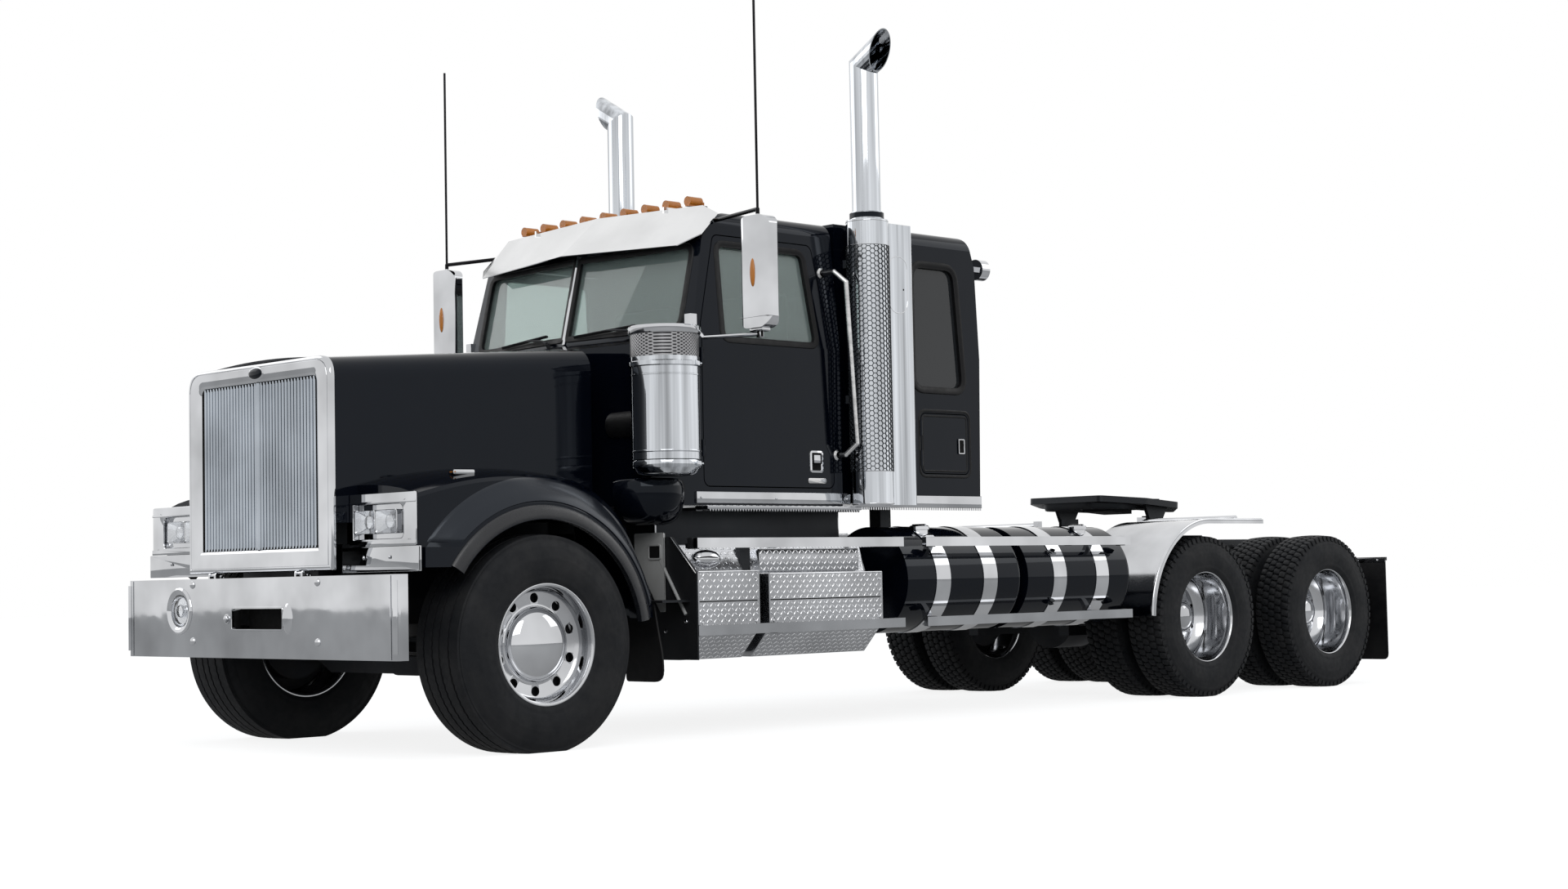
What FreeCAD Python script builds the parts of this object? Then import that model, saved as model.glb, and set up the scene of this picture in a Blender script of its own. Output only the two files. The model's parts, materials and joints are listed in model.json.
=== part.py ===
import FreeCAD, Part
import math
import os
import re
from FreeCAD import Placement, Rotation, Vector

# Road tractor with a sleeper, twin stacks and two driven axles.
# Forward is -Y, the driver sits on the +X side and the ground is at z = 0.
# Stations are distances behind the front axle, in millimetres.
# Each sub-part's Placement carries its station to the frame of the whole truck,
# whose origin lies on the ground under the middle of its length and width.

sizes = {
    # whole truck
    "front_overhang": 876,
    "wheelbase": 6130,
    "tandem_spacing": 1410,
    "rear_overhang": 1394,
    "cut_overrun": 40,
    "fit_gap": 0.3,
    "moving_gap": 6,
    # frame
    "rail_half_width": 430,
    "rail_height": 270,
    "rail_flange": 90,
    "rail_web": 9,
    "frame_top": 1020,
    "rail_front": -640,
    "rear_bar_depth": 60,
    "rear_bar_height": 90,
    "crossmember_width": 60,
    "crossmember_height": 190,
    "crossmember_front": -610,
    "crossmember_mid": 1950,
    "crossmember_deck": 3300,
    "cab_mount": 90,
    "splash_station": 950,
    "splash_thick": 8,
    "splash_half_width": 1244,
    "splash_low": 405,
    "splash_high": 1036,
    "splash_corner": 186,
    # front bumper
    "bumper_half_width": 1220,
    "bumper_low": 470,
    "bumper_high": 867,
    "bumper_depth": 62,
    "bumper_sheet": 6,
    "bumper_corner": 22,
    "tow_slot_left": 258,
    "tow_slot_right": 196,
    "tow_slot_low": 614,
    "tow_slot_high": 714,
    "bumper_lamp_offset": 700,
    "bumper_lamp_height": 705,
    "bumper_lamp_radius": 88,
    "bumper_lamp_depth": 60,
    "bumper_arm_width": 70,
    "bumper_arm_low": 560,
    # front axle, springs and steering
    "front_hub_height": 516,
    "kingpin_offset": 900,
    "kingpin_radius": 20,
    "axle_eye_radius": 46,
    "axle_eye_height": 110,
    "axle_beam_depth": 110,
    "axle_beam_height": 90,
    "axle_drop": 110,
    "axle_drop_inner": 560,
    "axle_drop_outer": 780,
    "spring_width": 90,
    "spring_thick": 55,
    "spring_front": -640,
    "spring_back": 720,
    "spring_sag": 70,
    "saddle_thick": 20,
    "spring_bracket_width": 60,
    "ear_thick": 40,
    "yoke_thick": 34,
    "yoke_half_depth": 60,
    "spindle_radius": 40,
    "spindle_reach": 175,
    "steer_arm_length": 160,
    "steer_arm_thick": 26,
    "steer_arm_half_width": 22,
    "ball_pin_radius": 12,
    "ball_eye_radius": 26,
    "tie_rod_radius": 17,
    "tie_rod_slack": 3,
    # engine, gearbox and radiator
    "engine_half_width": 330,
    "engine_front": -480,
    "engine_back": 720,
    "engine_low": 620,
    "engine_high": 1580,
    "gearbox_radius": 220,
    "gearbox_back": 1600,
    "gearbox_height": 860,
    "radiator_half_width": 460,
    "radiator_front": -720,
    "radiator_depth": 90,
    "radiator_high": 1790,
    # driven axles
    "rear_hub_height": 511,
    "axle_tube_radius": 68,
    "axle_bowl_radius": 205,
    "axle_bowl_depth": 300,
    "hub_spindle_radius": 58,
    "shaft_radius": 55,
    "trailing_arm_width": 80,
    "trailing_arm_height": 60,
    "trailing_arm_front": 480,
    "trailing_arm_back": 420,
    "trailing_arm_low": 400,
    "hanger_length": 110,
    "air_bag_radius": 105,
    "air_bag_station": 330,
    # front wheels
    "front_wheel_center": 1040,
    "rim_flange_radius": 298.5,
    "rim_seat_radius": 286,
    "rim_thick": 13,
    "rim_flange_thick": 8,
    "front_rim_width": 350,
    "front_tyre_radius": 536,
    "front_tyre_width": 385,
    "front_disc_set": 60,
    "disc_thick": 14,
    "disc_outer_set": 92,
    "disc_shoulder_radius": 236,
    "hub_radius": 66,
    "front_cap_radius": 174,
    "front_cap_height": 85,
    "drum_radius": 216,
    "drum_thick": 14,
    "front_drum_length": 110,
    "tread_corner": 34,
    # driven wheels
    "twin_plane": 889,
    "twin_spacing": 343,
    "twin_rim_width": 235,
    "twin_tyre_radius": 521,
    "twin_tyre_width": 280,
    "twin_disc_set": 7,
    "twin_cap_radius": 92,
    "twin_cap_height": 104,
    "twin_drum_length": 190,
    # hood
    "hood_front": -820,
    "hood_back": 680,
    "hood_front_half_width": 650,
    "hood_back_half_width": 752,
    "hood_front_top": 1945,
    "hood_back_top": 2052,
    "hood_low": 1120,
    "hood_shoulder": 120,
    "hood_crown": 26,
    "hood_skin": 14,
    "hood_hinge_station": -856,
    "hood_hinge_height": 884,
    "hood_pivot_radius": 12,
    "hood_pin": 7,
    "hood_lug_thick": 14,
    # fenders
    "fender_inner": 600,
    "fender_outer": 1200,
    "fender_panel": 1130,
    "fender_skin": 14,
    "fender_low_front": 896,
    "fender_low_back": 628,
    "arch_radius": 606,
    "lip_radius": 668,
    "crease_radius": 685,
    "flare_radius": 800,
    "lip_reach": 22,
    "fender_front": -700,
    "fender_back": 708,
    "crown_height": 1392,
    "panel_height": 1306,
    "skirt_high": 990,
    # grille and headlamps
    "grille_front": -850,
    "grille_half_width": 650,
    "grille_low": 894,
    "grille_high": 1925,
    "grille_depth": 30,
    "grille_corner": 110,
    "bars_half_width": 527,
    "bars_low": 1004,
    "bars_high": 1831,
    "bar_count": 37,
    "bar_width": 19,
    "bar_depth": 22,
    "bar_set_back": 12,
    "bar_rod_height": 24,
    "center_bar_width": 26,
    "lamp_inner": 706,
    "lamp_outer": 1190,
    "lamp_low": 1005,
    "lamp_high": 1252,
    "lamp_front": -745,
    "lamp_back": -700,
    "lamp_corner": 40,
    "lamp_shell": 10,
    "lens_width": 215,
    "lens_height": 150,
    "lens_mid_height": 1118,
    "lens_first": 788,
    "lens_second": 1030,
    "lens_depth": 38,
    "apron_low": 876,
    "apron_high": 996,
    "apron_thick": 8,
    "apron_outer": 1216,
    # cab
    "cab_front": 800,
    "cab_back": 2300,
    "cab_half_width": 980,
    "cab_roof_inset": 65,
    "cab_floor": 1205,
    "cab_waist": 2080,
    "cab_roof": 2800,
    "cab_wall": 48,
    "cab_sweep": 84,
    "cab_roof_corner": 95,
    "cowl_height": 2048,
    "screen_low_station": 1113,
    "screen_low_height": 2124,
    "screen_high_station": 1231,
    "screen_high_height": 2630,
    "brow_station": 1325,
    "brow_height": 2768,
    "roof_station": 1480,
    "glass_thick": 6,
    "screen_post": 22,
    "screen_edge_inset": 108,
    "screen_frame_low": 2158,
    "screen_frame_high": 2596,
    "pane_corner": 55,
    # doors
    "door_front": 1252,
    "door_back": 2238,
    "door_back_high": 2135,
    "door_low": 1302,
    "door_high": 2662,
    "door_slope_height": 2170,
    "door_slope_station": 1392,
    "door_corner": 45,
    "door_gap": 6,
    "pivot_pin": 6,
    "pivot_radius": 11,
    "pivot_length": 30,
    "door_pivot_low": 190,
    "locker_pivot_low": 75,
    "window_front": 1418,
    "window_back": 2120,
    "window_back_high": 2058,
    "window_low": 2100,
    "window_high": 2606,
    "window_corner": 46,
    # sleeper
    "sleeper_front": 2350,
    "sleeper_back": 3455,
    "sleeper_half_width": 1010,
    "sleeper_floor": 1225,
    "sleeper_roof": 2805,
    "sleeper_wall": 42,
    "sleeper_corner": 85,
    "sleeper_lean": 90,
    "notch_depth": 110,
    "notch_back": 2612,
    "passage_half_width": 560,
    "passage_low": 1430,
    "passage_high": 2560,
    "boot_border": 110,
    "boot_thick": 50,
    "bunk_height": 1790,
    "bunk_thick": 30,
    "bunk_front": 2800,
    "sleeper_window_front": 2880,
    "sleeper_window_back": 3308,
    "sleeper_window_back_high": 3240,
    "sleeper_window_low": 1890,
    "sleeper_window_high": 2602,
    "sleeper_window_corner": 80,
    "locker_front": 2925,
    "locker_back": 3340,
    "locker_low": 1395,
    "locker_high": 1750,
    "locker_corner": 40,
    # visor, roof lights, mirrors and aerials
    "visor_corner_inset": 130,
    "visor_wing_inset": 28,
    "visor_low_station": 1108,
    "visor_low_rise": -178,
    "visor_high_station": 1372,
    "visor_high_rise": 56,
    "visor_sheet": 5,
    "visor_drop": 28,
    "visor_sweep": 96,
    "visor_wing_station": 1385,
    "visor_wing_low_rise": -148,
    "visor_wing_high_rise": -25,
    "roof_light_spread": 1430,
    "roof_light_count": 9,
    "roof_light_radius": 27,
    "roof_light_length": 92,
    "roof_light_station": 1410,
    "roof_light_rise": 68,
    "roof_light_foot": 34,
    "mirror_offset": 1357,
    "mirror_station": 1322,
    "mirror_width": 212,
    "mirror_depth": 88,
    "mirror_low": 2112,
    "mirror_high": 2700,
    "mirror_corner": 38,
    "mirror_round": 60,
    "mirror_arm_radius": 11,
    "mirror_arm_high": 2736,
    "mirror_arm_low": 2082,
    "mirror_foot_station": 1200,
    "mirror_foot_inset": 18,
    "mirror_foot_high": 2216,
    "mirror_foot_size": 46,
    "aerial_radius": 7,
    "aerial_top": 3905,
    # stacks and air cleaners
    "stack_out": 50,
    "stack_station": 2460,
    "stack_radius": 82,
    "stack_wall": 5,
    "stack_bend_height": 3690,
    "stack_bend": 60,
    "stack_tip_reach": 150,
    "stack_mouth_lean": 18,
    "guard_radius": 120,
    "guard_low": 1212,
    "guard_high": 2812,
    "collar_height": 46,
    "guard_panel_station": 2555,
    "guard_panel_back": 2806,
    "guard_panel_out": 58,
    "guard_panel_thick": 8,
    "cleaner_out": 122,
    "cleaner_station": 884,
    "cleaner_radius": 190,
    "cleaner_low": 1346,
    "cleaner_high": 2116,
    "cleaner_band": 7,
    "cleaner_screen_low": 1966,
    "cleaner_screen_high": 2084,
    "cleaner_dome": 42,
    "cleaner_duct_low": 1520,
    "cleaner_duct_high": 1960,
    "cleaner_duct_width": 150,
    # cab inside
    "seat_offset": 450,
    "seat_width": 500,
    "seat_front": 1690,
    "seat_back": 2190,
    "seat_height": 1740,
    "seat_cushion": 130,
    "seat_back_high": 2420,
    "seat_base": 240,
    "dash_front": 860,
    "dash_back": 1420,
    "dash_low": 1700,
    "dash_high": 2070,
    "dash_slope": 110,
    "wheel_tilt": 35,
    "wheel_ring_radius": 225,
    "wheel_rim_radius": 15,
    "wheel_station": 1600,
    "wheel_height": 2010,
    # side equipment
    "sill_low": 1203,
    "sill_height": 74,
    "sill_thick": 10,
    "sill_front": 1190,
    "sill_back": 2352,
    "tread_width": 190,
    "tread_thick": 26,
    "tread_drop": 34,
    "tread_front": 1290,
    "tread_back": 2290,
    "grab_radius": 15,
    "grab_low": 1490,
    "grab_high": 2508,
    "grab_reach": 112,
    "grab_station_low": 2262,
    "grab_station_high": 2200,
    "grab_swing": 46,
    "grab_corner": 60,
    "box_outer": 1196,
    "box_inner": 470,
    "box_low": 560,
    "box_toe": 400,
    "box_toe_inset": 150,
    "first_box_front": 1000,
    "first_box_back": 1440,
    "first_box_high": 855,
    "second_box_front": 1506,
    "second_box_back": 2379,
    "second_box_high": 838,
    "box_deck_high": 990,
    "box_deck_outer": 1060,
    "box_back_outer": 870,
    "box_back_high": 1190,
    "tank_offset": 892,
    "tank_height": 790,
    "tank_radius": 302,
    "tank_edge": 40,
    "first_tank_front": 2590,
    "tank_room": 795,
    "tank_gap": 47,
    "strap_width": 120,
    "strap_thick": 5,
    "strap_inset": 235,
    "step_rail_offset": 1216,
    "step_rail_width": 30,
    "step_rail_tall": 52,
    "upper_rail_height": 975,
    "lower_rail_height": 528,
    "front_step_back": 2505,
    "rear_step_front": 2690,
    "rear_step_inset": 70,
    "rail_stub": 40,
    # rear fenders and flaps
    "quarter_inner": 590,
    "quarter_outer": 1222,
    "quarter_sheet": 5,
    "quarter_radius": 618,
    "quarter_low": 530,
    "quarter_back": 600,
    "quarter_hem": 22,
    "quarter_tube": 21,
    "flap_inner": 620,
    "flap_outer": 1222,
    "flap_thick": 10,
    "flap_low": 157,
    "flap_high": 850,
    "flap_corner": 40,
    "flap_hanger": 24,
    "front_flap_station": 762,
    "front_flap_low": 300,
    "front_flap_high": 700,
    "front_flap_inner": 900,
    "front_flap_outer": 1190,
    # lamps at the sleeper's back, deck and fifth wheel
    "work_lamp_inset": 55,
    "work_lamp_height": 2625,
    "work_lamp_radius": 62,
    "work_lamp_length": 70,
    "work_lamp_set": 64,
    "deck_front": 3700,
    "deck_back": 4700,
    "deck_thick": 60,
    "coupling_station": 5960,
    "coupling_pin_height": 1148,
    "coupling_top": 1290,
    "coupling_plate": 42,
    "coupling_half_width": 460,
    "coupling_front": 500,
    "coupling_back": 470,
    "coupling_throat": 190,
    "coupling_slot": 62,
    "coupling_tilt": 4,
    "coupling_ear": 26,
    "coupling_ear_offset": 372,
    "coupling_ear_length": 240,
    "coupling_pin_radius": 22,
    "coupling_pin_length": 120,
    "coupling_base_thick": 30,
    "coupling_base_front": 470,
    "coupling_base_back": 480,
    "coupling_stand": 36,
    "kingpin_hole": 26,
    "kingpin_back": 120,
    "jaw_half_width": 120,
    "jaw_thick": 34,
}

doc = FreeCAD.newDocument("RoadTractor")
sheet = doc.addObject("Spreadsheet::Sheet", "Sizes")
for row, (alias, amount) in enumerate(sizes.items(), 1):
    sheet.set(f"A{row}", alias)
    sheet.set(f"B{row}", str(amount))
    sheet.setAlias(f"B{row}", alias)
doc.recompute()


class Reader:
    """Gives the sheet's cells to the shapes that are worked out here."""

    def __getattr__(self, alias):
        return float(sheet.get(alias))


s = Reader()
pieces = []

# the front axle's place along the truck, and stations that follow from the sizes
front_axle = "(front_overhang - wheelbase - rear_overhang) / 2"
truck_end = "(wheelbase + rear_overhang)"
first_axle = "(wheelbase - tandem_spacing / 2)"
second_axle = "(wheelbase + tandem_spacing / 2)"
frame_bottom = "(frame_top - rail_height)"
across = Vector(1, 0, 0)
along = Vector(0, 1, 0)
upward = Vector(0, 0, 1)


def linked(formula):
    words = r"\b[a-z]\w*\b"
    return re.sub(words, lambda word: f"Sizes.{word[0]}" if word[0] in sizes else word[0], str(formula))


def bind(thing, formulas):
    for prop, formula in formulas.items():
        thing.setExpression(prop, linked(formula))


def put(thing, place):
    bind(thing, {f"Placement.Base.{axis}": formula for axis, formula in zip("xyz", place)})
    return thing


def block(name, low, size):
    thing = doc.addObject("Part::Box", name)
    bind(thing, dict(zip(("Length", "Width", "Height"), size)))
    return put(thing, low)


turns = {"x": Rotation(Vector(0, 1, 0), 90), "y": Rotation(Vector(1, 0, 0), -90), "z": Rotation()}


def rod(name, start, radius, length, axis):
    thing = doc.addObject("Part::Cylinder", name)
    thing.Placement = Placement(Vector(), turns[axis])
    bind(thing, {"Radius": radius, "Height": length})
    return put(thing, start)


def solid(name, shape):
    thing = doc.addObject("Part::Feature", name)
    thing.Shape = shape
    return thing


def fused(name, *things):
    thing = doc.addObject("Part::MultiFuse", name)
    thing.Shapes = list(things)
    return thing


def cut(name, base, *tools):
    thing = doc.addObject("Part::Cut", name)
    thing.Base = base
    thing.Tool = tools[0] if len(tools) == 1 else fused(f"{name}_tools", *tools)
    return thing


def mirrored(thing):
    twin = doc.addObject("Part::Mirroring", f"{thing.Name}_mirrored")
    twin.Source = thing
    twin.Normal = across
    return twin


def piece(label, *things):
    """Names a finished sub-part and carries it from the front axle's frame to the truck's."""
    whole = doc.addObject("Part::Compound", f"{label}_set")
    whole.Links = list(things)
    whole.Label = label
    bind(whole, {"Placement.Base.y": front_axle})
    pieces.append(whole)
    return whole


def both_sides(label, thing):
    return piece(label, thing, mirrored(thing))


# wires, prisms and lofts from points

def rounded_wire(points, radii):
    """A closed wire through points whose corners have the given radii."""
    count = len(points)
    if not isinstance(radii, (list, tuple)):
        radii = [radii] * count
    ends, arcs = [], []
    for i, corner in enumerate(points):
        before = (points[i - 1] - corner).normalize()
        after = (points[(i + 1) % count] - corner).normalize()
        if radii[i] <= 0:
            ends.append((corner, corner))
            arcs.append(None)
            continue
        half = before.getAngle(after) / 2
        reach = radii[i] / math.tan(half)
        middle = (before + after).normalize() * (radii[i] / math.sin(half) - radii[i])
        ends.append((corner + before * reach, corner + after * reach))
        arcs.append(corner + middle)
    edges = []
    for i in range(count):
        if arcs[i] is not None:
            edges.append(Part.Arc(ends[i][0], arcs[i], ends[i][1]).toShape())
        leave, arrive = ends[i][1], ends[(i + 1) % count][0]
        if leave.distanceToPoint(arrive) > 1e-4:
            edges.append(Part.LineSegment(leave, arrive).toShape())
    return Part.Wire(edges)


def side_view(points):
    return [Vector(0, y, z) for y, z in points]


def front_view(points, y=0):
    return [Vector(x, y, z) for x, z in points]


def plan_view(points, z=0):
    return [Vector(x, y, z) for x, y in points]


def prism(wire, depth, start=Vector()):
    shape = Part.Face(wire).extrude(depth)
    shape.translate(start)
    return shape


def inset_wire(wire, distance):
    return wire.makeOffset2D(-distance, 2) if distance else wire


def straight_bar(start, end, radius):
    return Part.makeCylinder(radius, (end - start).Length, start, end - start)


def bent_tube(points, radius):
    """Straight runs with a ball at each bend."""
    shape = straight_bar(points[0], points[1], radius)
    for start, end in zip(points[1:], points[2:]):
        shape = shape.fuse([Part.makeSphere(radius, start), straight_bar(start, end, radius)])
    return shape.removeSplitter()


def body_on(name, plane, points, radii=0):
    """A design body with one closed sketch on an origin plane of its own."""
    body = doc.addObject("PartDesign::Body", name)
    sketch = body.newObject("Sketcher::SketchObject", f"{name}_sketch")
    base = [part for part in body.Origin.OriginFeatures if part.Role == plane][0]
    sketch.AttachmentSupport = (base, "")
    sketch.MapMode = "FlatFace"
    outline = rounded_wire([Vector(u, v, 0) for u, v in points], radii)
    for edge in outline.Edges:
        sketch.addGeometry(edge_geometry(edge))
    return body, sketch


def edge_geometry(edge):
    first, last = edge.Vertexes[0].Point, edge.Vertexes[-1].Point
    if isinstance(edge.Curve, Part.Line):
        return Part.LineSegment(first, last)
    middle = edge.valueAt((edge.FirstParameter + edge.LastParameter) / 2)
    return Part.Arc(first, middle, last)


def padded(name, plane, points, length, radii=0, both_ways=False):
    body, sketch = body_on(name, plane, points, radii)
    pad = body.newObject("PartDesign::Pad", f"{name}_pad")
    pad.Profile = sketch
    pad.Midplane = both_ways
    bind(pad, {"Length": length})
    return body


def turned(name, points, radii=0):
    """A body revolved about the X axis from a profile of (x, radius) points."""
    body, sketch = body_on(name, "XY_Plane", points, radii)
    spin = body.newObject("PartDesign::Revolution", f"{name}_turn")
    spin.Profile = sketch
    spin.ReferenceAxis = (sketch, ["H_Axis"])
    return body


# frame: two channel rails joined by crossmembers, with the splash plates on outriggers

def make_frame():
    flange, web, tall = s.rail_flange, s.rail_web, s.rail_height
    outer = s.rail_half_width
    channel = [(outer, 0), (outer, tall), (outer - flange, tall), (outer - flange, tall - web),
               (outer - web, tall - web), (outer - web, web), (outer - flange, web), (outer - flange, 0)]
    rail = padded("rail", "XZ_Plane", channel, f"{truck_end} - rail_front")
    put(rail, (0, truck_end, frame_bottom))
    low = f"{frame_bottom} + (rail_height - crossmember_height) / 2"
    stations = {
        "front": "crossmember_front", "mid": "crossmember_mid", "deck": "crossmember_deck",
        "tandem": "wheelbase - crossmember_width / 2",
        "end": f"{truck_end} - crossmember_width",
    }
    members = [
        block(f"crossmember_{place}", ("rail_web - rail_half_width", station, low),
              ("2 * (rail_half_width - rail_web)", "crossmember_width", "crossmember_height"))
        for place, station in stations.items()
    ]
    corner = s.splash_corner
    wide, low_edge, high_edge = s.splash_half_width, s.splash_low, s.splash_high
    plate_points = front_view([
        (outer, low_edge), (wide, low_edge), (wide, high_edge - corner),
        (wide - corner, high_edge), (outer, high_edge)])
    plate = solid("splash_plate", prism(rounded_wire(plate_points, 0), along * s.splash_thick,
                                        along * s.splash_station))
    tunnel = solid("shaft_tunnel", main_shaft_line(s.shaft_radius + 3 * s.moving_gap))
    open_members = cut("crossmembers", fused("crossmembers_whole", *members), tunnel)
    mounts = []
    for name, station, top in (("cowl", "cab_front + cab_mount", "cab_floor"),
                               ("rear", "cab_back - 2 * cab_mount", "cab_floor"),
                               ("sleeper", "sleeper_back - 3 * cab_mount", "sleeper_floor")):
        mounts.append(block(f"{name}_mount", ("rail_half_width - rail_flange", station, "frame_top"),
                            ("rail_flange", "cab_mount", f"{top} - frame_top")))
    stands = [mirrored(mount) for mount in mounts] + mounts
    piece("frame_rails", fused("frame_welded", rail, mirrored(rail), plate, mirrored(plate), open_members,
                               *stands))


def main_shaft_line(radius):
    start = Vector(0, s.gearbox_back + s.moving_gap, s.gearbox_height)
    first = s.wheelbase - s.tandem_spacing / 2
    return straight_bar(start, Vector(0, first - s.axle_bowl_depth / 2, s.rear_hub_height), radius)


# bumper: a formed sheet with wrapped ends, the tow slot and one recessed lamp

def make_bumper():
    wide, face, depth = s.bumper_half_width, -s.front_overhang, s.bumper_depth
    sheet_thick, corner = s.bumper_sheet, s.bumper_corner
    tall = s.bumper_high - s.bumper_low

    def tray(inset, open_back):
        points = plan_view([(-wide + inset, face + inset), (wide - inset, face + inset),
                            (wide - inset, face + depth + open_back), (inset - wide,
                                                                       face + depth + open_back)])
        radius = corner - inset
        return prism(rounded_wire(points, [radius, radius, 0, 0]), upward * (tall - 2 * inset),
                     upward * (s.bumper_low + inset))

    shell = tray(0, 0).cut(tray(sheet_thick, s.cut_overrun))
    slot = Part.makeBox(s.tow_slot_left + s.tow_slot_right, depth, s.tow_slot_high - s.tow_slot_low,
                        Vector(-s.tow_slot_right, face - s.bumper_sheet, s.tow_slot_low))
    lamp_center = Vector(-s.bumper_lamp_offset, face - sheet_thick, s.bumper_lamp_height)
    hole = Part.makeCylinder(s.bumper_lamp_radius, 2 * depth, lamp_center, along)
    cup = Part.makeCylinder(s.bumper_lamp_radius + sheet_thick, depth - sheet_thick,
                            lamp_center + along * 2 * sheet_thick, along)
    bowl = Part.makeCylinder(s.bumper_lamp_radius, depth - 2 * sheet_thick, lamp_center, along)
    shell = shell.cut([slot, hole]).fuse(cup.cut(bowl))
    arm_start = face + sheet_thick
    for side in (-1, 1):
        inner = side * s.rail_half_width - (s.bumper_arm_width if side > 0 else 0)
        arm = Part.makeBox(s.bumper_arm_width, s.rail_front - arm_start,
                           s.bumper_high - s.bumper_arm_low - sheet_thick,
                           Vector(inner, arm_start, s.bumper_arm_low))
        pin_center = Vector(inner, s.hood_hinge_station, s.hood_hinge_height)
        radius, lug = s.hood_pivot_radius, s.hood_lug_thick
        pin = Part.makeCylinder(s.hood_pin, s.bumper_arm_width, pin_center, across)
        shell = shell.fuse([arm, pin])
        for shift in (0, s.bumper_arm_width - lug):
            center = pin_center + across * shift
            cheek = Part.makeCylinder(radius, lug, center, across)
            stem_high = s.hood_hinge_height - s.bumper_high + sheet_thick
            stem = Part.makeBox(lug, 2 * radius, stem_high, center - along * radius - upward * stem_high)
            shell = shell.fuse([cheek, stem])
    piece("front_bumper", solid("bumper", shell.removeSplitter()))


# front axle: a dropped beam with an eye for each kingpin, its leaf springs and the knuckles

def make_front_axle():
    hub, pin = s.front_hub_height, s.kingpin_offset
    half, low = s.axle_beam_height / 2, s.axle_drop
    points = [(pin, hub - half), (pin, hub + half), (s.axle_drop_outer, hub + half),
              (s.axle_drop_inner, hub + half - low), (-s.axle_drop_inner, hub + half - low),
              (-s.axle_drop_outer, hub + half), (-pin, hub + half), (-pin, hub - half),
              (-s.axle_drop_outer, hub - half), (-s.axle_drop_inner, hub - half - low),
              (s.axle_drop_inner, hub - half - low), (s.axle_drop_outer, hub - half)]
    beam = padded("axle_beam", "XZ_Plane", points, "axle_beam_depth", both_ways=True)
    eyes = [
        rod(f"axle_eye_{name}", (f"{side} * kingpin_offset", 0, "front_hub_height - axle_eye_height / 2"),
            "axle_eye_radius", "axle_eye_height", "z")
        for name, side in (("left", 1), ("right", -1))
    ]
    bores = [
        rod(f"axle_bore_{name}", (f"{side} * kingpin_offset", 0, "front_hub_height - axle_eye_height"),
            "kingpin_radius + fit_gap", "2 * axle_eye_height", "z")
        for name, side in (("left", 1), ("right", -1))
    ]
    trims = [
        block(f"axle_trim_{name}",
              (f"{side} * kingpin_offset - {shift}", "-axle_beam_depth",
               "front_hub_height - axle_eye_height"),
              ("axle_eye_radius", "2 * axle_beam_depth", "2 * axle_eye_height"))
        for name, side, shift in (("left", 1, "0"), ("right", -1, "axle_eye_radius"))
    ]
    beam_trimmed = cut("axle_beam_trimmed", beam, *trims)
    piece("front_axle", cut("front_axle_bored", fused("front_axle_forged", beam_trimmed, *eyes), *bores))


def make_suspension():
    wide, thick = s.spring_width, s.spring_thick
    beam_top = s.front_hub_height + s.axle_beam_height / 2 - s.axle_drop
    seat = beam_top + s.saddle_thick
    ends = seat + s.spring_sag
    front, back = s.spring_front, s.spring_back
    low_arc = Part.Arc(Vector(0, front, ends), Vector(0, 0, seat), Vector(0, back, ends)).toShape()
    high_arc = Part.Arc(Vector(0, back, ends + thick / 2), Vector(0, 0, seat + thick),
                        Vector(0, front, ends + thick / 2)).toShape()
    closing = [Part.LineSegment(Vector(0, back, ends), Vector(0, back, ends + thick / 2)).toShape(),
               Part.LineSegment(Vector(0, front, ends + thick / 2), Vector(0, front, ends)).toShape()]
    inner = s.rail_half_width - wide
    leaves = prism(Part.Wire([low_arc, closing[0], high_arc, closing[1]]), across * wide, across * inner)
    saddle = Part.makeBox(wide, s.axle_beam_depth, thick, Vector(inner, -s.axle_beam_depth / 2, beam_top))
    bottom = s.frame_top - s.rail_height
    width = s.spring_bracket_width
    hangers = [Part.makeBox(wide, width, bottom - ends, Vector(inner, station, ends))
               for station in (front, back - width)]
    spring = leaves.fuse([saddle] + hangers).removeSplitter()
    left = [solid("front_spring", spring)]
    for name, axle in (("first", first_axle), ("second", second_axle)):
        arm_inner = "rail_half_width - trailing_arm_width"
        arm = block(f"{name}_arm", (arm_inner, f"{axle} - trailing_arm_front", "trailing_arm_low"),
                    ("trailing_arm_width", "trailing_arm_front + trailing_arm_back", "trailing_arm_height"))
        hanger = block(f"{name}_hanger", (arm_inner, f"{axle} - trailing_arm_front", "trailing_arm_low"),
                       ("trailing_arm_width", "hanger_length", f"{frame_bottom} - trailing_arm_low"))
        bag = rod(f"{name}_bag", ("rail_half_width - trailing_arm_width / 2", f"{axle} + air_bag_station",
                                  "trailing_arm_low + trailing_arm_height"),
                  "air_bag_radius", f"{frame_bottom} - trailing_arm_low - trailing_arm_height", "z")
        tube = rod(f"{name}_arm_seat", (arm_inner, axle, "rear_hub_height"),
                   "axle_tube_radius + fit_gap", "trailing_arm_width", "x")
        left.append(cut(f"{name}_side_suspension", fused(f"{name}_side_parts", arm, hanger, bag), tube))
    piece("suspension", *left, *[mirrored(part) for part in left])


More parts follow.
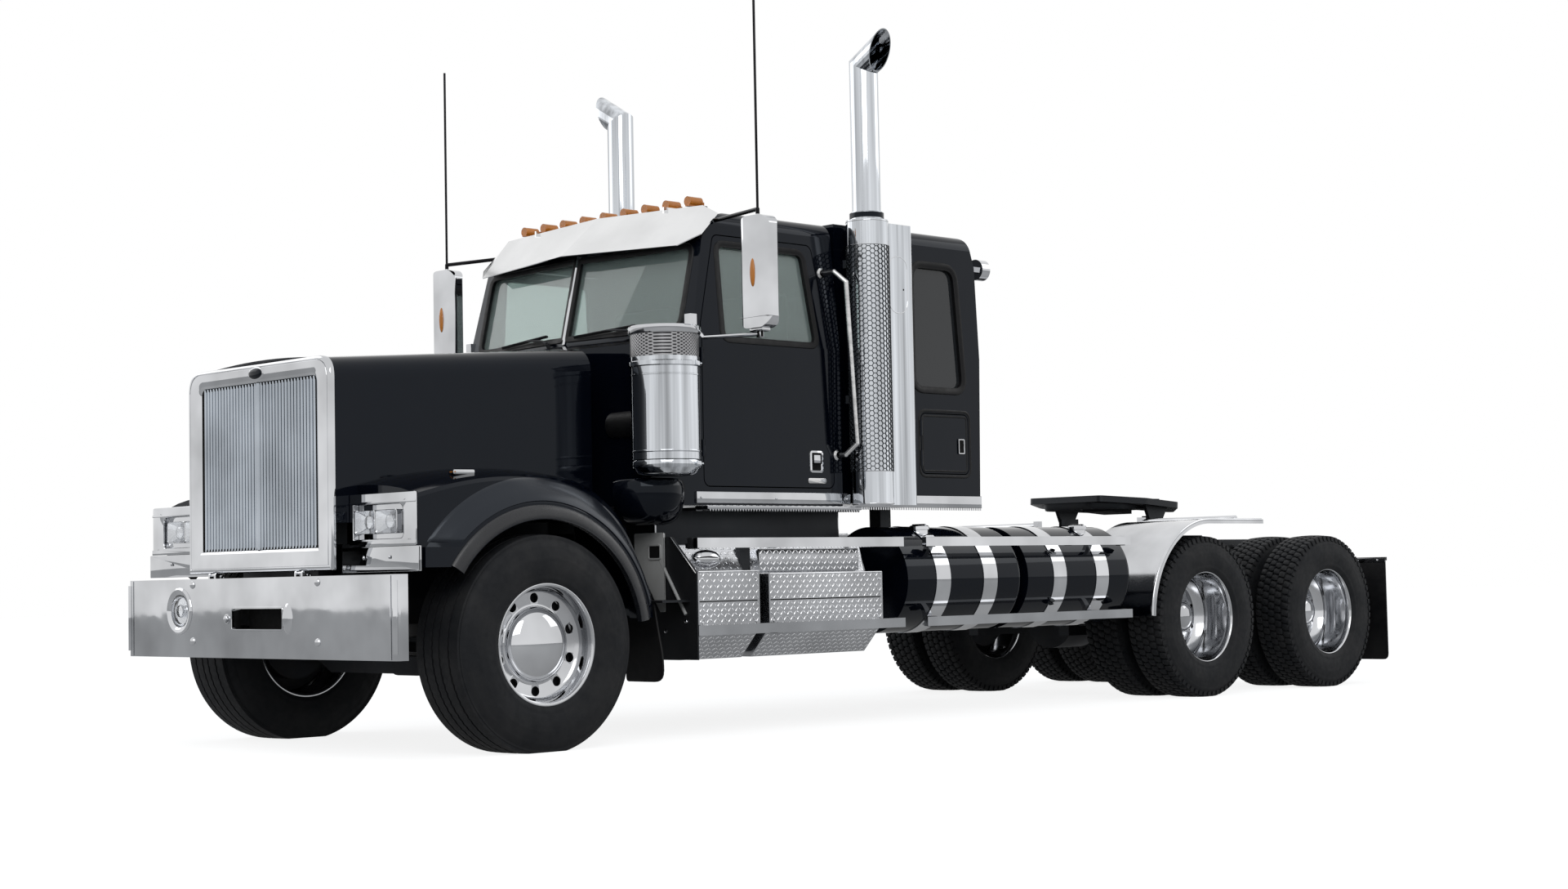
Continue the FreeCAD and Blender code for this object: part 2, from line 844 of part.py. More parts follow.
def make_knuckles():
    pin, hub = s.kingpin_offset, s.front_hub_height
    half_eye = s.axle_eye_height / 2
    ear, eye = s.ear_thick, s.axle_eye_radius
    yoke_inner = pin + eye + s.moving_gap
    top = half_eye + s.moving_gap / 2
    ears = []
    for low in (hub + top, hub - top - ear):
        cheek = Part.makeCylinder(eye, ear, Vector(pin, 0, low))
        web = Part.makeBox(yoke_inner - pin, 2 * eye, ear, Vector(pin, -eye, low))
        ears.append(cheek.fuse(web))
    yoke = Part.makeBox(s.yoke_thick, 2 * s.yoke_half_depth, 2 * (top + ear),
                        Vector(yoke_inner, -s.yoke_half_depth, hub - top - ear))
    kingpin = Part.makeCylinder(s.kingpin_radius, 2 * (top + ear), Vector(pin, 0, hub - top - ear))
    spindle = Part.makeCylinder(s.spindle_radius, s.spindle_reach, Vector(yoke_inner, 0, hub), across)
    arm_low = hub - top - ear
    arm = Part.makeBox(2 * s.steer_arm_half_width, s.steer_arm_length, s.steer_arm_thick,
                       Vector(pin - s.steer_arm_half_width, 0, arm_low))
    boss = Part.makeCylinder(s.steer_arm_half_width, s.steer_arm_thick, Vector(pin, s.steer_arm_length,
                                                                               arm_low))
    drop = 2 * s.tie_rod_radius
    ball_pin = Part.makeCylinder(s.ball_pin_radius, s.steer_arm_thick + drop,
                                 Vector(pin, s.steer_arm_length, arm_low - drop))
    knuckle = yoke.fuse(ears + [kingpin, spindle, arm, boss, ball_pin]).removeSplitter()
    left = solid("knuckle", knuckle)
    piece("knuckle_left", left)
    piece("knuckle_right", mirrored(left))
    rod_height = arm_low - s.tie_rod_radius - s.fit_gap
    reach = s.kingpin_offset
    eye_height = 2 * s.tie_rod_radius - 2 * s.fit_gap
    bar = Part.makeCylinder(s.tie_rod_radius - s.fit_gap, 2 * reach, Vector(-reach, s.steer_arm_length,
                                                                            rod_height), across)
    shape = bar
    for side in (-1, 1):
        center = Vector(side * reach, s.steer_arm_length, rod_height - eye_height / 2)
        shape = shape.fuse(Part.makeCylinder(s.ball_eye_radius, eye_height, center))
    for side, slack in ((-1, s.tie_rod_slack), (1, s.fit_gap)):
        center = Vector(side * reach, s.steer_arm_length, rod_height - eye_height)
        shape = shape.cut(Part.makeCylinder(s.ball_pin_radius + slack, 2 * eye_height, center))
    piece("tie_rod", solid("tie_rod_bar", shape))


# engine and gearbox as plain masses, and the radiator behind the grille

def make_engine():
    engine = block("engine_block", ("-engine_half_width", "engine_front", "engine_low"),
                   ("2 * engine_half_width", "engine_back - engine_front", "engine_high - engine_low"))
    gearbox = rod("gearbox", (0, "engine_back", "gearbox_height"), "gearbox_radius",
                  "gearbox_back - engine_back", "y")
    piece("engine", fused("engine_and_gearbox", engine, gearbox))
    radiator = block("radiator_core", ("-radiator_half_width", "radiator_front", frame_bottom),
                     ("2 * radiator_half_width", "radiator_depth", f"radiator_high - {frame_bottom}"))
    notches = [
        block(f"radiator_notch_{name}", (low, "radiator_front - cut_overrun",
                                         f"{frame_bottom} - cut_overrun"),
              ("cut_overrun + radiator_half_width - rail_half_width + rail_flange + fit_gap",
               "radiator_depth + 2 * cut_overrun", "rail_height + cut_overrun + fit_gap"))
        for name, low in (("left", "rail_half_width - rail_flange - fit_gap"),
                          ("right", "-radiator_half_width - cut_overrun"))
    ]
    piece("radiator", cut("radiator_fitted", radiator, *notches))


def make_drive_axles():
    housings = []
    for name, axle in (("first", first_axle), ("second", second_axle)):
        inner = "twin_plane - twin_drum_length - moving_gap"
        tube = rod(f"{name}_tube", (f"-({inner})", axle, "rear_hub_height"), "axle_tube_radius",
                   f"2 * ({inner})", "x")
        spindle = rod(f"{name}_spindle", ("-twin_plane", axle, "rear_hub_height"),
                      "hub_spindle_radius", "2 * twin_plane", "x")
        bowl = rod(f"{name}_bowl", (0, f"{axle} - axle_bowl_depth / 2", "rear_hub_height"),
                   "axle_bowl_radius", "axle_bowl_depth", "y")
        housings.append(fused(f"{name}_housing", tube, spindle, bowl))
    main_shaft = solid("main_shaft", main_shaft_line(s.shaft_radius))
    between = rod("inter_axle_shaft", (0, first_axle, "rear_hub_height"), "shaft_radius",
                  "tandem_spacing", "y")
    piece("drive_axles", fused("driven_axles", *housings, main_shaft, between))


# wheels

def tyre_points(center, width, radius):
    """Half of a tyre's section, from bead to bead, with a flat tread and sloped shoulders."""
    half, seat, corner = width / 2, s.rim_seat_radius + s.fit_gap, s.tread_corner
    bead = half - corner
    side = (radius + seat) / 2
    return [(center - bead, seat), (center - half, side), (center - half, side + corner),
            (center - half + corner / 2, radius - corner / 2), (center - bead, radius),
            (center + bead, radius), (center + half - corner / 2, radius - corner / 2),
            (center + half, side + corner), (center + half, side), (center + bead, seat)]


def rim_points(low, high):
    """A rim barrel from its low to its high flange face, as an open channel."""
    seat, flange, thick = s.rim_seat_radius, s.rim_flange_radius, s.rim_thick
    edge = s.rim_flange_thick
    return [(low, flange), (low + edge, flange), (low + edge, seat), (high - edge, seat),
            (high - edge, flange), (high, flange), (high, seat - thick), (low, seat - thick)]


def make_front_wheels():
    half = s.front_rim_width / 2
    inner = s.rim_seat_radius - s.rim_thick
    face, thick = s.front_disc_set, s.disc_thick
    outer_face, shoulder = s.disc_outer_set, s.disc_shoulder_radius
    cap, tall, drum = s.front_cap_radius, s.front_cap_height, s.drum_radius
    bore = s.spindle_radius + s.fit_gap
    yoke_inner = s.kingpin_offset + s.axle_eye_radius + s.moving_gap
    hub_low = yoke_inner + s.yoke_thick + s.moving_gap - s.front_wheel_center
    spindle_end = yoke_inner + s.spindle_reach + s.moving_gap - s.front_wheel_center
    barrel = turned("front_barrel", rim_points(-half, half))
    disc = turned("front_disc", [
        (face, 0), (face + thick + tall, 0), (face + thick + tall, cap / 3), (face + thick + tall * 2 / 3,
                                                                              cap * 5 / 6),
        (face + thick, cap), (face + thick, shoulder), (outer_face + thick, inner), (outer_face, inner),
        (face, shoulder)])
    hub = turned("front_hub", [(hub_low, 0), (hub_low, s.hub_radius), (face, s.hub_radius), (face, 0)])
    drum_low = max(hub_low, face - s.front_drum_length)
    ring = turned("front_drum", [(drum_low, drum), (face + thick / 2, drum),
                                 (face + thick / 2, drum - s.drum_thick), (drum_low, drum - s.drum_thick)])
    bore_tool = turned("front_bore", [(hub_low - s.moving_gap, 0), (hub_low - s.moving_gap, bore),
                                      (spindle_end, bore), (spindle_end, 0)])
    wheel = cut("front_wheel_bored", fused("front_wheel_parts", barrel, disc, hub, ring), bore_tool)
    tyre = turned("front_tyre", tyre_points(0, s.front_tyre_width, s.front_tyre_radius))
    for side, turn in (("left", 0), ("right", 180)):
        place_wheel(wheel, tyre, f"front_{side}", turn, s.front_wheel_center, "front_wheel_center", "0",
                    "front_hub_height")


def place_wheel(rim, tyre, name, turn, offset, offset_size, station, height):
    sign = 1 if turn == 0 else -1
    for part, label in ((rim, f"rims_{name}"), (tyre, f"tyres_{name}")):
        copy = doc.addObject("Part::Compound", f"{label}_set")
        copy.Links = [part]
        copy.Placement = Placement(Vector(), Rotation(upward, turn))
        bind(copy, {"Placement.Base.x": f"{sign} * {offset_size}", "Placement.Base.z": height,
                    "Placement.Base.y": f"{front_axle} + {station}"})
        copy.Label = label
        pieces.append(copy)


def make_drive_wheels():
    half_gap = s.twin_spacing / 2
    half = s.twin_rim_width / 2
    inner = s.rim_seat_radius - s.rim_thick
    thick, set_in = s.disc_thick, s.twin_disc_set
    shoulder, drum = s.disc_shoulder_radius, s.drum_radius
    cap, tall = s.twin_cap_radius, s.twin_cap_height
    low_flange = half_gap - half
    barrels = [turned("outer_barrel", rim_points(low_flange, half_gap + half)),
               turned("inner_barrel", rim_points(-half_gap - half, -low_flange))]
    disc = turned("twin_disc", [
        (-set_in - thick, 0), (set_in + thick, 0), (set_in + thick, shoulder), (low_flange + thick, inner),
        (low_flange, inner), (0, shoulder + thick), (-low_flange, inner), (-low_flange - thick, inner),
        (-set_in - thick, shoulder)])
    hub = turned("twin_hub", [(0, 0), (set_in + thick + tall, 0), (set_in + thick + tall, cap / 2),
                              (set_in + thick + tall * 2 / 3, cap * 8 / 9), (set_in + thick, cap), (0, cap)])
    ring = turned("twin_drum", [(-s.twin_drum_length, drum), (0, drum), (0, drum - s.drum_thick),
                                (-s.twin_drum_length, drum - s.drum_thick)])
    bore = s.hub_spindle_radius + s.fit_gap
    carrier = turned("twin_carrier", [(-s.twin_drum_length, 0), (-s.twin_drum_length, bore + s.drum_thick),
                                      (0, bore + s.drum_thick), (0, 0)])
    bore_tool = turned("twin_bore", [(-s.twin_drum_length - s.moving_gap, 0),
                                     (-s.twin_drum_length - s.moving_gap, bore),
                                     (s.moving_gap, bore), (s.moving_gap, 0)])
    wheel = cut("twin_wheel_bored", fused("twin_wheel_parts", *barrels, disc, hub, ring, carrier), bore_tool)
    tyres = doc.addObject("Part::Compound", "twin_tyres")
    tyres.Links = [turned("outer_tyre", tyre_points(half_gap, s.twin_tyre_width, s.twin_tyre_radius)),
                   turned("inner_tyre", tyre_points(-half_gap, s.twin_tyre_width, s.twin_tyre_radius))]
    for order, axle in (("first", first_axle), ("second", second_axle)):
        for side, turn in (("left", 0), ("right", 180)):
            place_wheel(wheel, tyres, f"{order}_{side}", turn, s.twin_plane, "twin_plane", axle,
                        "rear_hub_height")


# hood with its fenders, grille and headlamps, which tilts forward in one

def hood_form(inset, overrun):
    sections = []
    for station, half, top in ((s.hood_front - overrun, s.hood_front_half_width, s.hood_front_top),
                               (s.hood_back + overrun, s.hood_back_half_width, s.hood_back_top)):
        half, top, low = half - inset, top - inset, s.hood_low - overrun
        shoulder = s.hood_shoulder - inset
        crown = top - s.hood_crown
        points = [Vector(-half, station, low), Vector(half, station, low)]
        right_top, left_top = Vector(-half, station, crown), Vector(half, station, crown)
        wire = Part.Wire([
            Part.LineSegment(points[0], points[1]).toShape(),
            Part.LineSegment(points[1], left_top - upward * shoulder).toShape(),
            Part.Arc(left_top - upward * shoulder,
                     left_top + Vector(-1, 0, -1) * shoulder * (1 - math.sqrt(0.5)),
                     left_top - across * shoulder).toShape(),
            Part.Arc(left_top - across * shoulder, Vector(0, station, top),
                     right_top + across * shoulder).toShape(),
            Part.Arc(right_top + across * shoulder,
                     right_top + Vector(1, 0, -1) * shoulder * (1 - math.sqrt(0.5)),
                     right_top - upward * shoulder).toShape(),
            Part.LineSegment(right_top - upward * shoulder, points[0]).toShape()])
        sections.append(wire)
    return Part.makeLoft(sections, True, True)


def lamp_housing(inset):
    points = front_view([(s.lamp_inner, s.lamp_low), (s.lamp_outer, s.lamp_low),
                         (s.lamp_outer, s.lamp_high), (s.lamp_inner, s.lamp_high)], s.lamp_front)
    wire = inset_wire(rounded_wire(points, s.lamp_corner), inset)
    return prism(wire, along * (s.lamp_back - s.lamp_front))


def lamp_shape():
    apron = Part.makeBox(s.apron_outer - s.grille_half_width, s.apron_thick, s.apron_high - s.apron_low,
                         Vector(s.grille_half_width, s.lamp_front, s.apron_low))
    tab_high = s.lamp_low - s.apron_high + s.lamp_shell
    tab = Part.makeBox(s.apron_outer - s.lamp_inner - s.lamp_corner, s.apron_thick, tab_high,
                       Vector(s.lamp_inner, s.lamp_front, s.apron_high))
    return lamp_housing(0).fuse([apron, tab]).removeSplitter()


def fender_line(share):
    """The fender's top and back at a share of the way from the hood to its side panel."""
    crown_station_shares = (0, 0.213, 0.497, 0.71, 0.876, 0.966, 0.993, 1)
    crown_height_shares = (0.88, 0.963, 1, 0.979, 0.914, 0.749, 0.461, 0)
    panel_station_shares = (0, 0.232, 0.497, 0.71, 0.852, 0.94, 0.986, 1)
    panel_height_shares = (0.873, 0.978, 1, 0.897, 0.681, 0.44, 0.195, 0)
    length, low = s.fender_back - s.fender_front, s.fender_low_back
    crown = zip(crown_station_shares, crown_height_shares)
    panel = zip(panel_station_shares, panel_height_shares)
    drop = 1 - math.sqrt(1 - share * share)
    points = []
    for (crown_along, crown_up), (panel_along, panel_up) in zip(crown, panel):
        along_share = crown_along + (panel_along - crown_along) * drop
        high = crown_up * (s.crown_height - low)
        high += (panel_up * (s.panel_height - low) - high) * drop
        points.append((s.fender_front + length * along_share, low + high))
    return points


def fender_section(share):
    x = s.fender_inner + (s.fender_panel - s.fender_inner) * share
    center = Vector(x, 0, s.front_hub_height)
    top = [Vector(x, y, z) for y, z in fender_line(share)]
    foot = Vector(x, s.fender_front, s.fender_low_front)
    curves = []
    for thick in (0, s.fender_skin):
        line = [center + (point - center) * (1 - thick / (point - center).Length) for point in top]
        corner = center + (foot - center) * (1 - thick / (foot - center).Length)
        curve = Part.BSplineCurve()
        curve.interpolate(line)
        curves.append((corner, line, curve.toShape()))
    (low, outer, outer_curve), (inner_low, inner, inner_curve) = curves
    return Part.Wire([
        Part.LineSegment(low, outer[0]).toShape(), outer_curve,
        Part.LineSegment(outer[-1], inner[-1]).toShape(), inner_curve,
        Part.LineSegment(inner[0], inner_low).toShape(), Part.LineSegment(inner_low, low).toShape()])


def panel_outline(x):
    """The side panel's outline: the front edge, the top and back, and the straight bottom."""
    top = [Vector(x, y, z) for y, z in fender_line(1)]
    foot = Vector(x, s.fender_front, s.fender_low_front)
    curve = Part.BSplineCurve()
    curve.interpolate(top)
    heel = Vector(x, 0, s.fender_low_front)
    toe = Vector(x, 0, s.fender_low_back)
    return Part.Wire([
        Part.LineSegment(foot, top[0]).toShape(), curve.toShape(), Part.LineSegment(top[-1], toe).toShape(),
        Part.LineSegment(toe, heel).toShape(), Part.LineSegment(heel, foot).toShape()])


def make_fenders():
    width_shares = (0, 0.35, 0.6, 0.78, 0.9, 0.97, 1)
    skin = Part.makeLoft([fender_section(share) for share in width_shares], True, True)
    hub, outer, panel, thick = s.front_hub_height, s.fender_outer, s.fender_panel, s.fender_skin
    side = prism(panel_outline(panel), across * -thick)
    opening = Part.makeCylinder(s.flare_radius - thick, 2 * outer, Vector(0, 0, hub), across)
    flare_points = [(panel, s.flare_radius), (outer, s.crease_radius), (outer, s.lip_radius),
                    (outer + s.lip_reach, s.arch_radius), (outer - thick, s.arch_radius),
                    (outer - thick, s.crease_radius), (panel - thick, s.flare_radius)]
    flare_wire = Part.makePolygon([Vector(x, 0, r) for x, r in flare_points + flare_points[:1]])
    flare = Part.Face(flare_wire).revolve(Vector(), across, 360).translated(upward * hub)
    reach = s.lip_reach + outer - panel + thick
    flare = flare.common(prism(panel_outline(panel - thick), across * reach))
    front, low, high = s.fender_front, s.fender_low_front, s.skirt_high
    skirt = Part.makeBox(outer - panel + thick, -front, high - low, Vector(panel - thick, front, low))
    hollow = Part.makeBox(outer - panel, -front, high - low - 2 * thick,
                          Vector(panel - thick, front + thick, low + thick))
    inside = Part.makeCylinder(s.crease_radius - thick, 2 * outer, Vector(0, 0, hub), across)
    skirt = skirt.cut([hollow, inside])
    fender = skin.fuse([side.cut(opening), flare, skirt])
    for tool in (hood_form(0, 0), lamp_shape()):
        fender = max(fender.cut(tool).Solids, key=lambda part: part.Volume)
    left = solid("fender", fender)
    piece("fender_left", left)
    piece("fender_right", mirrored(left))


def make_hood():
    outer, inner = hood_form(0, 0), hood_form(s.hood_skin, s.cut_overrun)
    piece("hood_shell", solid("hood_skin", outer.cut(inner)))
    wide, low, high, corner = s.grille_half_width, s.grille_low, s.grille_high, s.grille_corner
    frame_points = front_view([(-wide, low), (wide, low), (wide, high), (-wide, high)], s.grille_front)
    opening_points = front_view([(-s.bars_half_width, s.bars_low), (s.bars_half_width, s.bars_low),
                                 (s.bars_half_width, s.bars_high), (-s.bars_half_width, s.bars_high)],
                                s.grille_front - s.cut_overrun)
    surround = prism(rounded_wire(frame_points, [0, 0, corner, corner]), along * s.grille_depth)
    opening = prism(rounded_wire(opening_points, 0), along * (s.grille_depth + 2 * s.cut_overrun))
    surround = surround.cut(opening)
    radius, gap = s.hood_pivot_radius, s.fit_gap
    lug, inner = s.hood_lug_thick, s.rail_half_width - s.bumper_arm_width
    width = s.bumper_arm_width - 2 * (lug + gap)
    for x in (inner + lug + gap, -inner - lug - gap - width):
        center = Vector(x, s.hood_hinge_station, s.hood_hinge_height)
        eye = Part.makeCylinder(radius, width, center, across)
        neck = Part.makeBox(width, radius, 2 * radius, center - along * radius / 2)
        bore = Part.makeCylinder(s.hood_pin + gap, width, center, across)
        room = Part.makeCylinder(radius + s.moving_gap, s.bumper_arm_width, center - across * (lug + gap),
                                 across)
        surround = surround.cut(room).fuse([eye, neck]).cut(bore)
    piece("grille_surround", solid("surround", surround.removeSplitter()))
    bars = []
    pitch = 2 * s.bars_half_width / (s.bar_count + 1)
    tall = s.bars_high - s.bars_low
    start = s.grille_front + s.bar_set_back
    for order in range(int(s.bar_count)):
        middle = order == int(s.bar_count) // 2
        width = s.center_bar_width if middle else s.bar_width
        x = -s.bars_half_width + pitch * (order + 1) - width / 2
        bars.append(Part.makeBox(width, s.bar_depth, tall, Vector(x, start, s.bars_low)))
    rod_shares = (0.15, 0.85)
    for share in rod_shares:
        rod_low = Vector(-s.bars_half_width, start + s.bar_depth - s.bar_set_back / 2,
                         s.bars_low + tall * share)
        bars.append(Part.makeBox(2 * s.bars_half_width, s.bar_set_back, s.bar_rod_height, rod_low))
    piece("grille_bars", solid("bars", bars[0].multiFuse(bars[1:]).removeSplitter()))


def make_headlamps():
    lamp = lamp_shape().cut(hood_form(0, 0))
    for middle in (s.lens_first, s.lens_second):
        low = Vector(middle - s.lens_width / 2, s.lamp_front - s.cut_overrun,
                     s.lens_mid_height - s.lens_height / 2)
        lamp = lamp.cut(Part.makeBox(s.lens_width, s.cut_overrun + s.lens_depth, s.lens_height, low))
    both_sides("headlamps", solid("headlamp", lamp))


# cab and sleeper: hollow, with doors and lockers cut from the same walls

def cab_form(inset):
    sweep = s.cab_sweep
    profile = side_view([
        (s.cab_front, s.cab_floor), (s.cab_front, s.cowl_height), (s.screen_low_station, s.screen_low_height),
        (s.screen_high_station, s.screen_high_height), (s.brow_station, s.brow_height),
        (s.roof_station, s.cab_roof), (s.cab_back + 2 * sweep, s.cab_roof), (s.cab_back + 2 * sweep,
                                                                             s.cab_floor)])
    wire = inset_wire(rounded_wire(profile, 0), inset)
    halves = [prism(wire, Vector(side * s.cab_half_width, sweep, 0)) for side in (-1, 1)]
    lengthwise = halves[0].fuse(halves[1])
    half, top = s.cab_half_width, s.cab_half_width - s.cab_roof_inset
    section = front_view([(-half, s.cab_floor), (half, s.cab_floor), (half, s.cab_waist),
                          (top, s.cab_roof), (-top, s.cab_roof), (-half, s.cab_waist)], s.cab_front - sweep)
    outline = rounded_wire(section, [0, 0, 0, s.cab_roof_corner, s.cab_roof_corner, 0])
    length = s.cab_back - inset - s.cab_front + sweep
    return lengthwise.common(prism(inset_wire(outline, inset), along * length))


def sleeper_form(inset):
    lean = s.sleeper_lean
    profile = side_view([
        (s.sleeper_front, s.sleeper_floor), (s.sleeper_front, s.sleeper_roof),
        (s.sleeper_back - lean, s.sleeper_roof), (s.sleeper_back - lean / 3, s.sleeper_roof - 2 * lean),
        (s.sleeper_back, s.cab_waist), (s.sleeper_back - lean / 4, s.sleeper_floor)])
    half, top = s.sleeper_half_width, s.sleeper_half_width
    wire = inset_wire(rounded_wire(profile, [0, 0, lean / 2, lean / 2, 0, 0]), inset)
    block_shape = prism(wire, across * 2 * half, across * -half)
    section = front_view([(-half, s.sleeper_floor), (half, s.sleeper_floor), (top, s.sleeper_roof),
                          (-top, s.sleeper_roof)], s.sleeper_front)
    outline = rounded_wire(section, [0, 0, s.sleeper_corner, s.sleeper_corner])
    shape = block_shape.common(prism(inset_wire(outline, inset), along * (s.sleeper_back - s.sleeper_front)))
    notch_inner = s.sleeper_half_width - s.notch_depth - inset
    for side in (-1, 1):
        low = notch_inner if side > 0 else -half - s.cut_overrun
        notch = Part.makeBox(half + s.cut_overrun - notch_inner,
                             s.notch_back + inset - s.sleeper_front + s.cut_overrun,
                             s.sleeper_roof, Vector(low, s.sleeper_front - s.cut_overrun,
                                                    s.sleeper_floor - s.cut_overrun))
        shape = shape.cut(notch)
    return shape


def side_tool(points, radii, inset=0, half_width=None):
    """A prism through the left wall from a side view outline."""
    half = half_width or s.cab_half_width
    wire = inset_wire(rounded_wire(side_view(points), radii), inset)
    return prism(wire, across * half, across * half / 2)


def pivot_parts(x, station, height):
    """A fixed pin held by two lugs, the swinging barrel between them, and the room each one needs."""
    length, gap = s.pivot_length, s.fit_gap
    room = s.pivot_radius + s.moving_gap
    base = Vector(x, station, height)
    pin = Part.makeCylinder(s.pivot_pin, 3 * length, base - upward * length)
    lugs = [Part.makeCylinder(s.pivot_radius, length, base + upward * shift) for shift in (-length, length)]
    held = pin.fuse(lugs)
    barrel = Part.makeCylinder(s.pivot_radius, length - 2 * gap, base + upward * gap).cut(
        Part.makeCylinder(s.pivot_pin + gap, length, base))
    lug_room = Part.makeCylinder(room, 3 * length, base - upward * length)
    tongue = Part.makeBox(s.pivot_radius, s.moving_gap + 2 * s.pivot_radius, length - 2 * gap,
                          Vector(x - s.pivot_radius, station, height + gap)).cut(
        Part.makeCylinder(s.pivot_pin + gap, length, base))
    barrel_room = Part.makeCylinder(room, length, base)
    return held, barrel.fuse(tongue), lug_room, barrel_room


def hung(walls, leaf, x, station, heights):
    """Adds the pivots at each height to a wall and to the leaf that swings on it."""
    for height in heights:
        held, barrel, lug_room, barrel_room = pivot_parts(x, station, height)
        walls = walls.cut(barrel_room).fuse(held)
        leaf = leaf.cut(lug_room).fuse(barrel)
    return walls, leaf


def door_points():
    return [(s.door_front, s.door_low), (s.door_back, s.door_low), (s.door_back, s.cab_waist),
            (s.door_back_high, s.door_high), (s.door_slope_station, s.door_high),
            (s.door_front, s.door_slope_height)]


def window_points():
    return [(s.window_front, s.window_low), (s.window_back, s.window_low),
            (s.window_back_high, s.window_high), (s.window_front, s.window_high)]


def pane_tools():
    panes = []
    edge, low, high = s.cab_half_width - s.screen_edge_inset, s.screen_frame_low, s.screen_frame_high
    for side in (-1, 1):
        points = front_view([(side * s.screen_post, low), (side * edge, low), (side * edge, high),
                             (side * s.screen_post, high)], s.screen_low_station - 2 * s.cab_wall)
        corner = s.pane_corner
        panes.append(prism(rounded_wire(points, [corner / 3, corner, corner, corner / 3]),
                           along * (s.roof_station - s.screen_low_station + 2 * s.cab_wall)))
    return panes


def passage(depth_start, depth_end, border=0):
    wide, low, high = s.passage_half_width + border, s.passage_low - border, s.passage_high + border
    return Part.makeBox(2 * wide, depth_end - depth_start, high - low, Vector(-wide, depth_start, low))


def mirror_of(shape):
    return shape.mirror(Vector(), across)


def make_cab():
    shell = cab_form(0).cut(cab_form(s.cab_wall))
    door_hole = side_tool(door_points(), s.door_corner)
    tools = [door_hole, mirror_of(door_hole), passage(s.cab_back - 2 * s.cab_wall,
                                                      s.cab_back + s.cut_overrun)]
    walls = shell.cut(tools + pane_tools())
    middle = (s.cab_wall - s.glass_thick) / 2
    glass = cab_form(middle).cut(cab_form(middle + s.glass_thick))
    piece("windshield", *[solid(f"windshield_pane_{order}", glass.common(tool))
                          for order, tool in enumerate(pane_tools())])
    window = side_tool(window_points(), s.window_corner)
    door = shell.common(side_tool(door_points(), s.door_corner, s.door_gap)).cut(window)
    heights = (s.door_low + s.door_pivot_low, s.door_slope_height - s.door_pivot_low)
    walls, door = hung(walls, door, s.cab_half_width, s.door_front, heights)
    piece("cab_shell", solid("cab_walls", twin_pivots(walls, s.cab_half_width, s.door_front, heights)))
    left_door = solid("door", door)
    left_glass = solid("door_glass", glass.common(window))
    piece("door_left", left_door)
    piece("door_right", mirrored(left_door))
    piece("door_glass_left", left_glass)
    piece("door_glass_right", mirrored(left_glass))


def twin_pivots(walls, x, station, heights):
    """The same pivots on the other side of the cab."""
    for height in heights:
        held, barrel, lug_room, barrel_room = pivot_parts(x, station, height)
        walls = walls.cut(mirror_of(barrel_room)).fuse(mirror_of(held))
    return walls


def make_sleeper():
    wall = s.sleeper_wall
    shell = sleeper_form(0).cut(sleeper_form(wall))
    boot = passage(s.cab_back + s.fit_gap, s.sleeper_front, s.boot_border).cut(
        passage(s.cab_back - s.cut_overrun, s.sleeper_front + s.cut_overrun))
    wide = 2 * (s.sleeper_half_width - wall)
    bunk = Part.makeBox(wide, s.sleeper_back - s.bunk_front - 2 * wall, s.bunk_thick,
                        Vector(-wide / 2, s.bunk_front, s.bunk_height))
    bunk = bunk.common(sleeper_form(wall))
    locker_points = [(s.locker_front, s.locker_low), (s.locker_back, s.locker_low),
                     (s.locker_back, s.locker_high), (s.locker_front, s.locker_high)]
    half = s.sleeper_half_width
    locker_hole = side_tool(locker_points, s.locker_corner, 0, half)
    window_outline = [(s.sleeper_window_front, s.sleeper_window_low),
                      (s.sleeper_window_back, s.sleeper_window_low),
                      (s.sleeper_window_back_high, s.sleeper_window_high),
                      (s.sleeper_window_front, s.sleeper_window_high)]
    window = side_tool(window_outline, s.sleeper_window_corner, 0, half)
    shell = shell.fuse([boot, bunk])
    tools = [locker_hole, window, passage(s.cab_back - s.cut_overrun, s.sleeper_front + 2 * wall)]
    tools += [mirror_of(locker_hole), mirror_of(window)]
    walls = shell.cut(tools)
    middle = (wall - s.glass_thick) / 2
    layer = sleeper_form(middle).cut(sleeper_form(middle + s.glass_thick))
    both_sides("sleeper_windows", solid("sleeper_glass", layer.common(window)))
    full = sleeper_form(0).cut(sleeper_form(wall))
    locker = full.common(side_tool(locker_points, s.locker_corner, s.door_gap, half))
    heights = (s.locker_low + s.locker_pivot_low, s.locker_high - s.locker_pivot_low - s.pivot_length)
    walls, locker = hung(walls, locker, half, s.locker_front, heights)
    piece("sleeper_shell", solid("sleeper_walls", twin_pivots(walls, half, s.locker_front, heights)))
    left = solid("locker_door", locker)
    piece("locker_door_left", left)
    piece("locker_door_right", mirrored(left))


# what the cab carries outside

def roof_lamps():
    """One shape a lamp, in a row across the roof's front edge."""
    lamps = []
    count = int(s.roof_light_count)
    height = s.cab_roof + s.roof_light_rise
    for order in range(count):
        share = order / (count - 1)
        x = s.roof_light_spread * (share - 0.5)
        start = Vector(x, s.roof_light_station, height)
        lamp = Part.makeCylinder(s.roof_light_radius, s.roof_light_length, start, along)
        root = s.cab_roof - s.cab_wall
        foot = Part.makeBox(s.roof_light_foot, s.roof_light_foot, height - root,
                            Vector(x - s.roof_light_foot / 2, s.roof_station + s.moving_gap, root))
        bridge_long = s.roof_station + s.moving_gap + s.roof_light_foot - s.roof_light_station
        bridge = Part.makeBox(s.roof_light_foot, bridge_long, s.roof_light_radius,
                              Vector(x - s.roof_light_foot / 2, s.roof_light_station,
                                     height - s.roof_light_radius))
        light = lamp.fuse([foot, bridge]).cut(cab_form(0)).removeSplitter()
        lamps.append(max(light.Solids, key=lambda part: part.Volume))
    return lamps


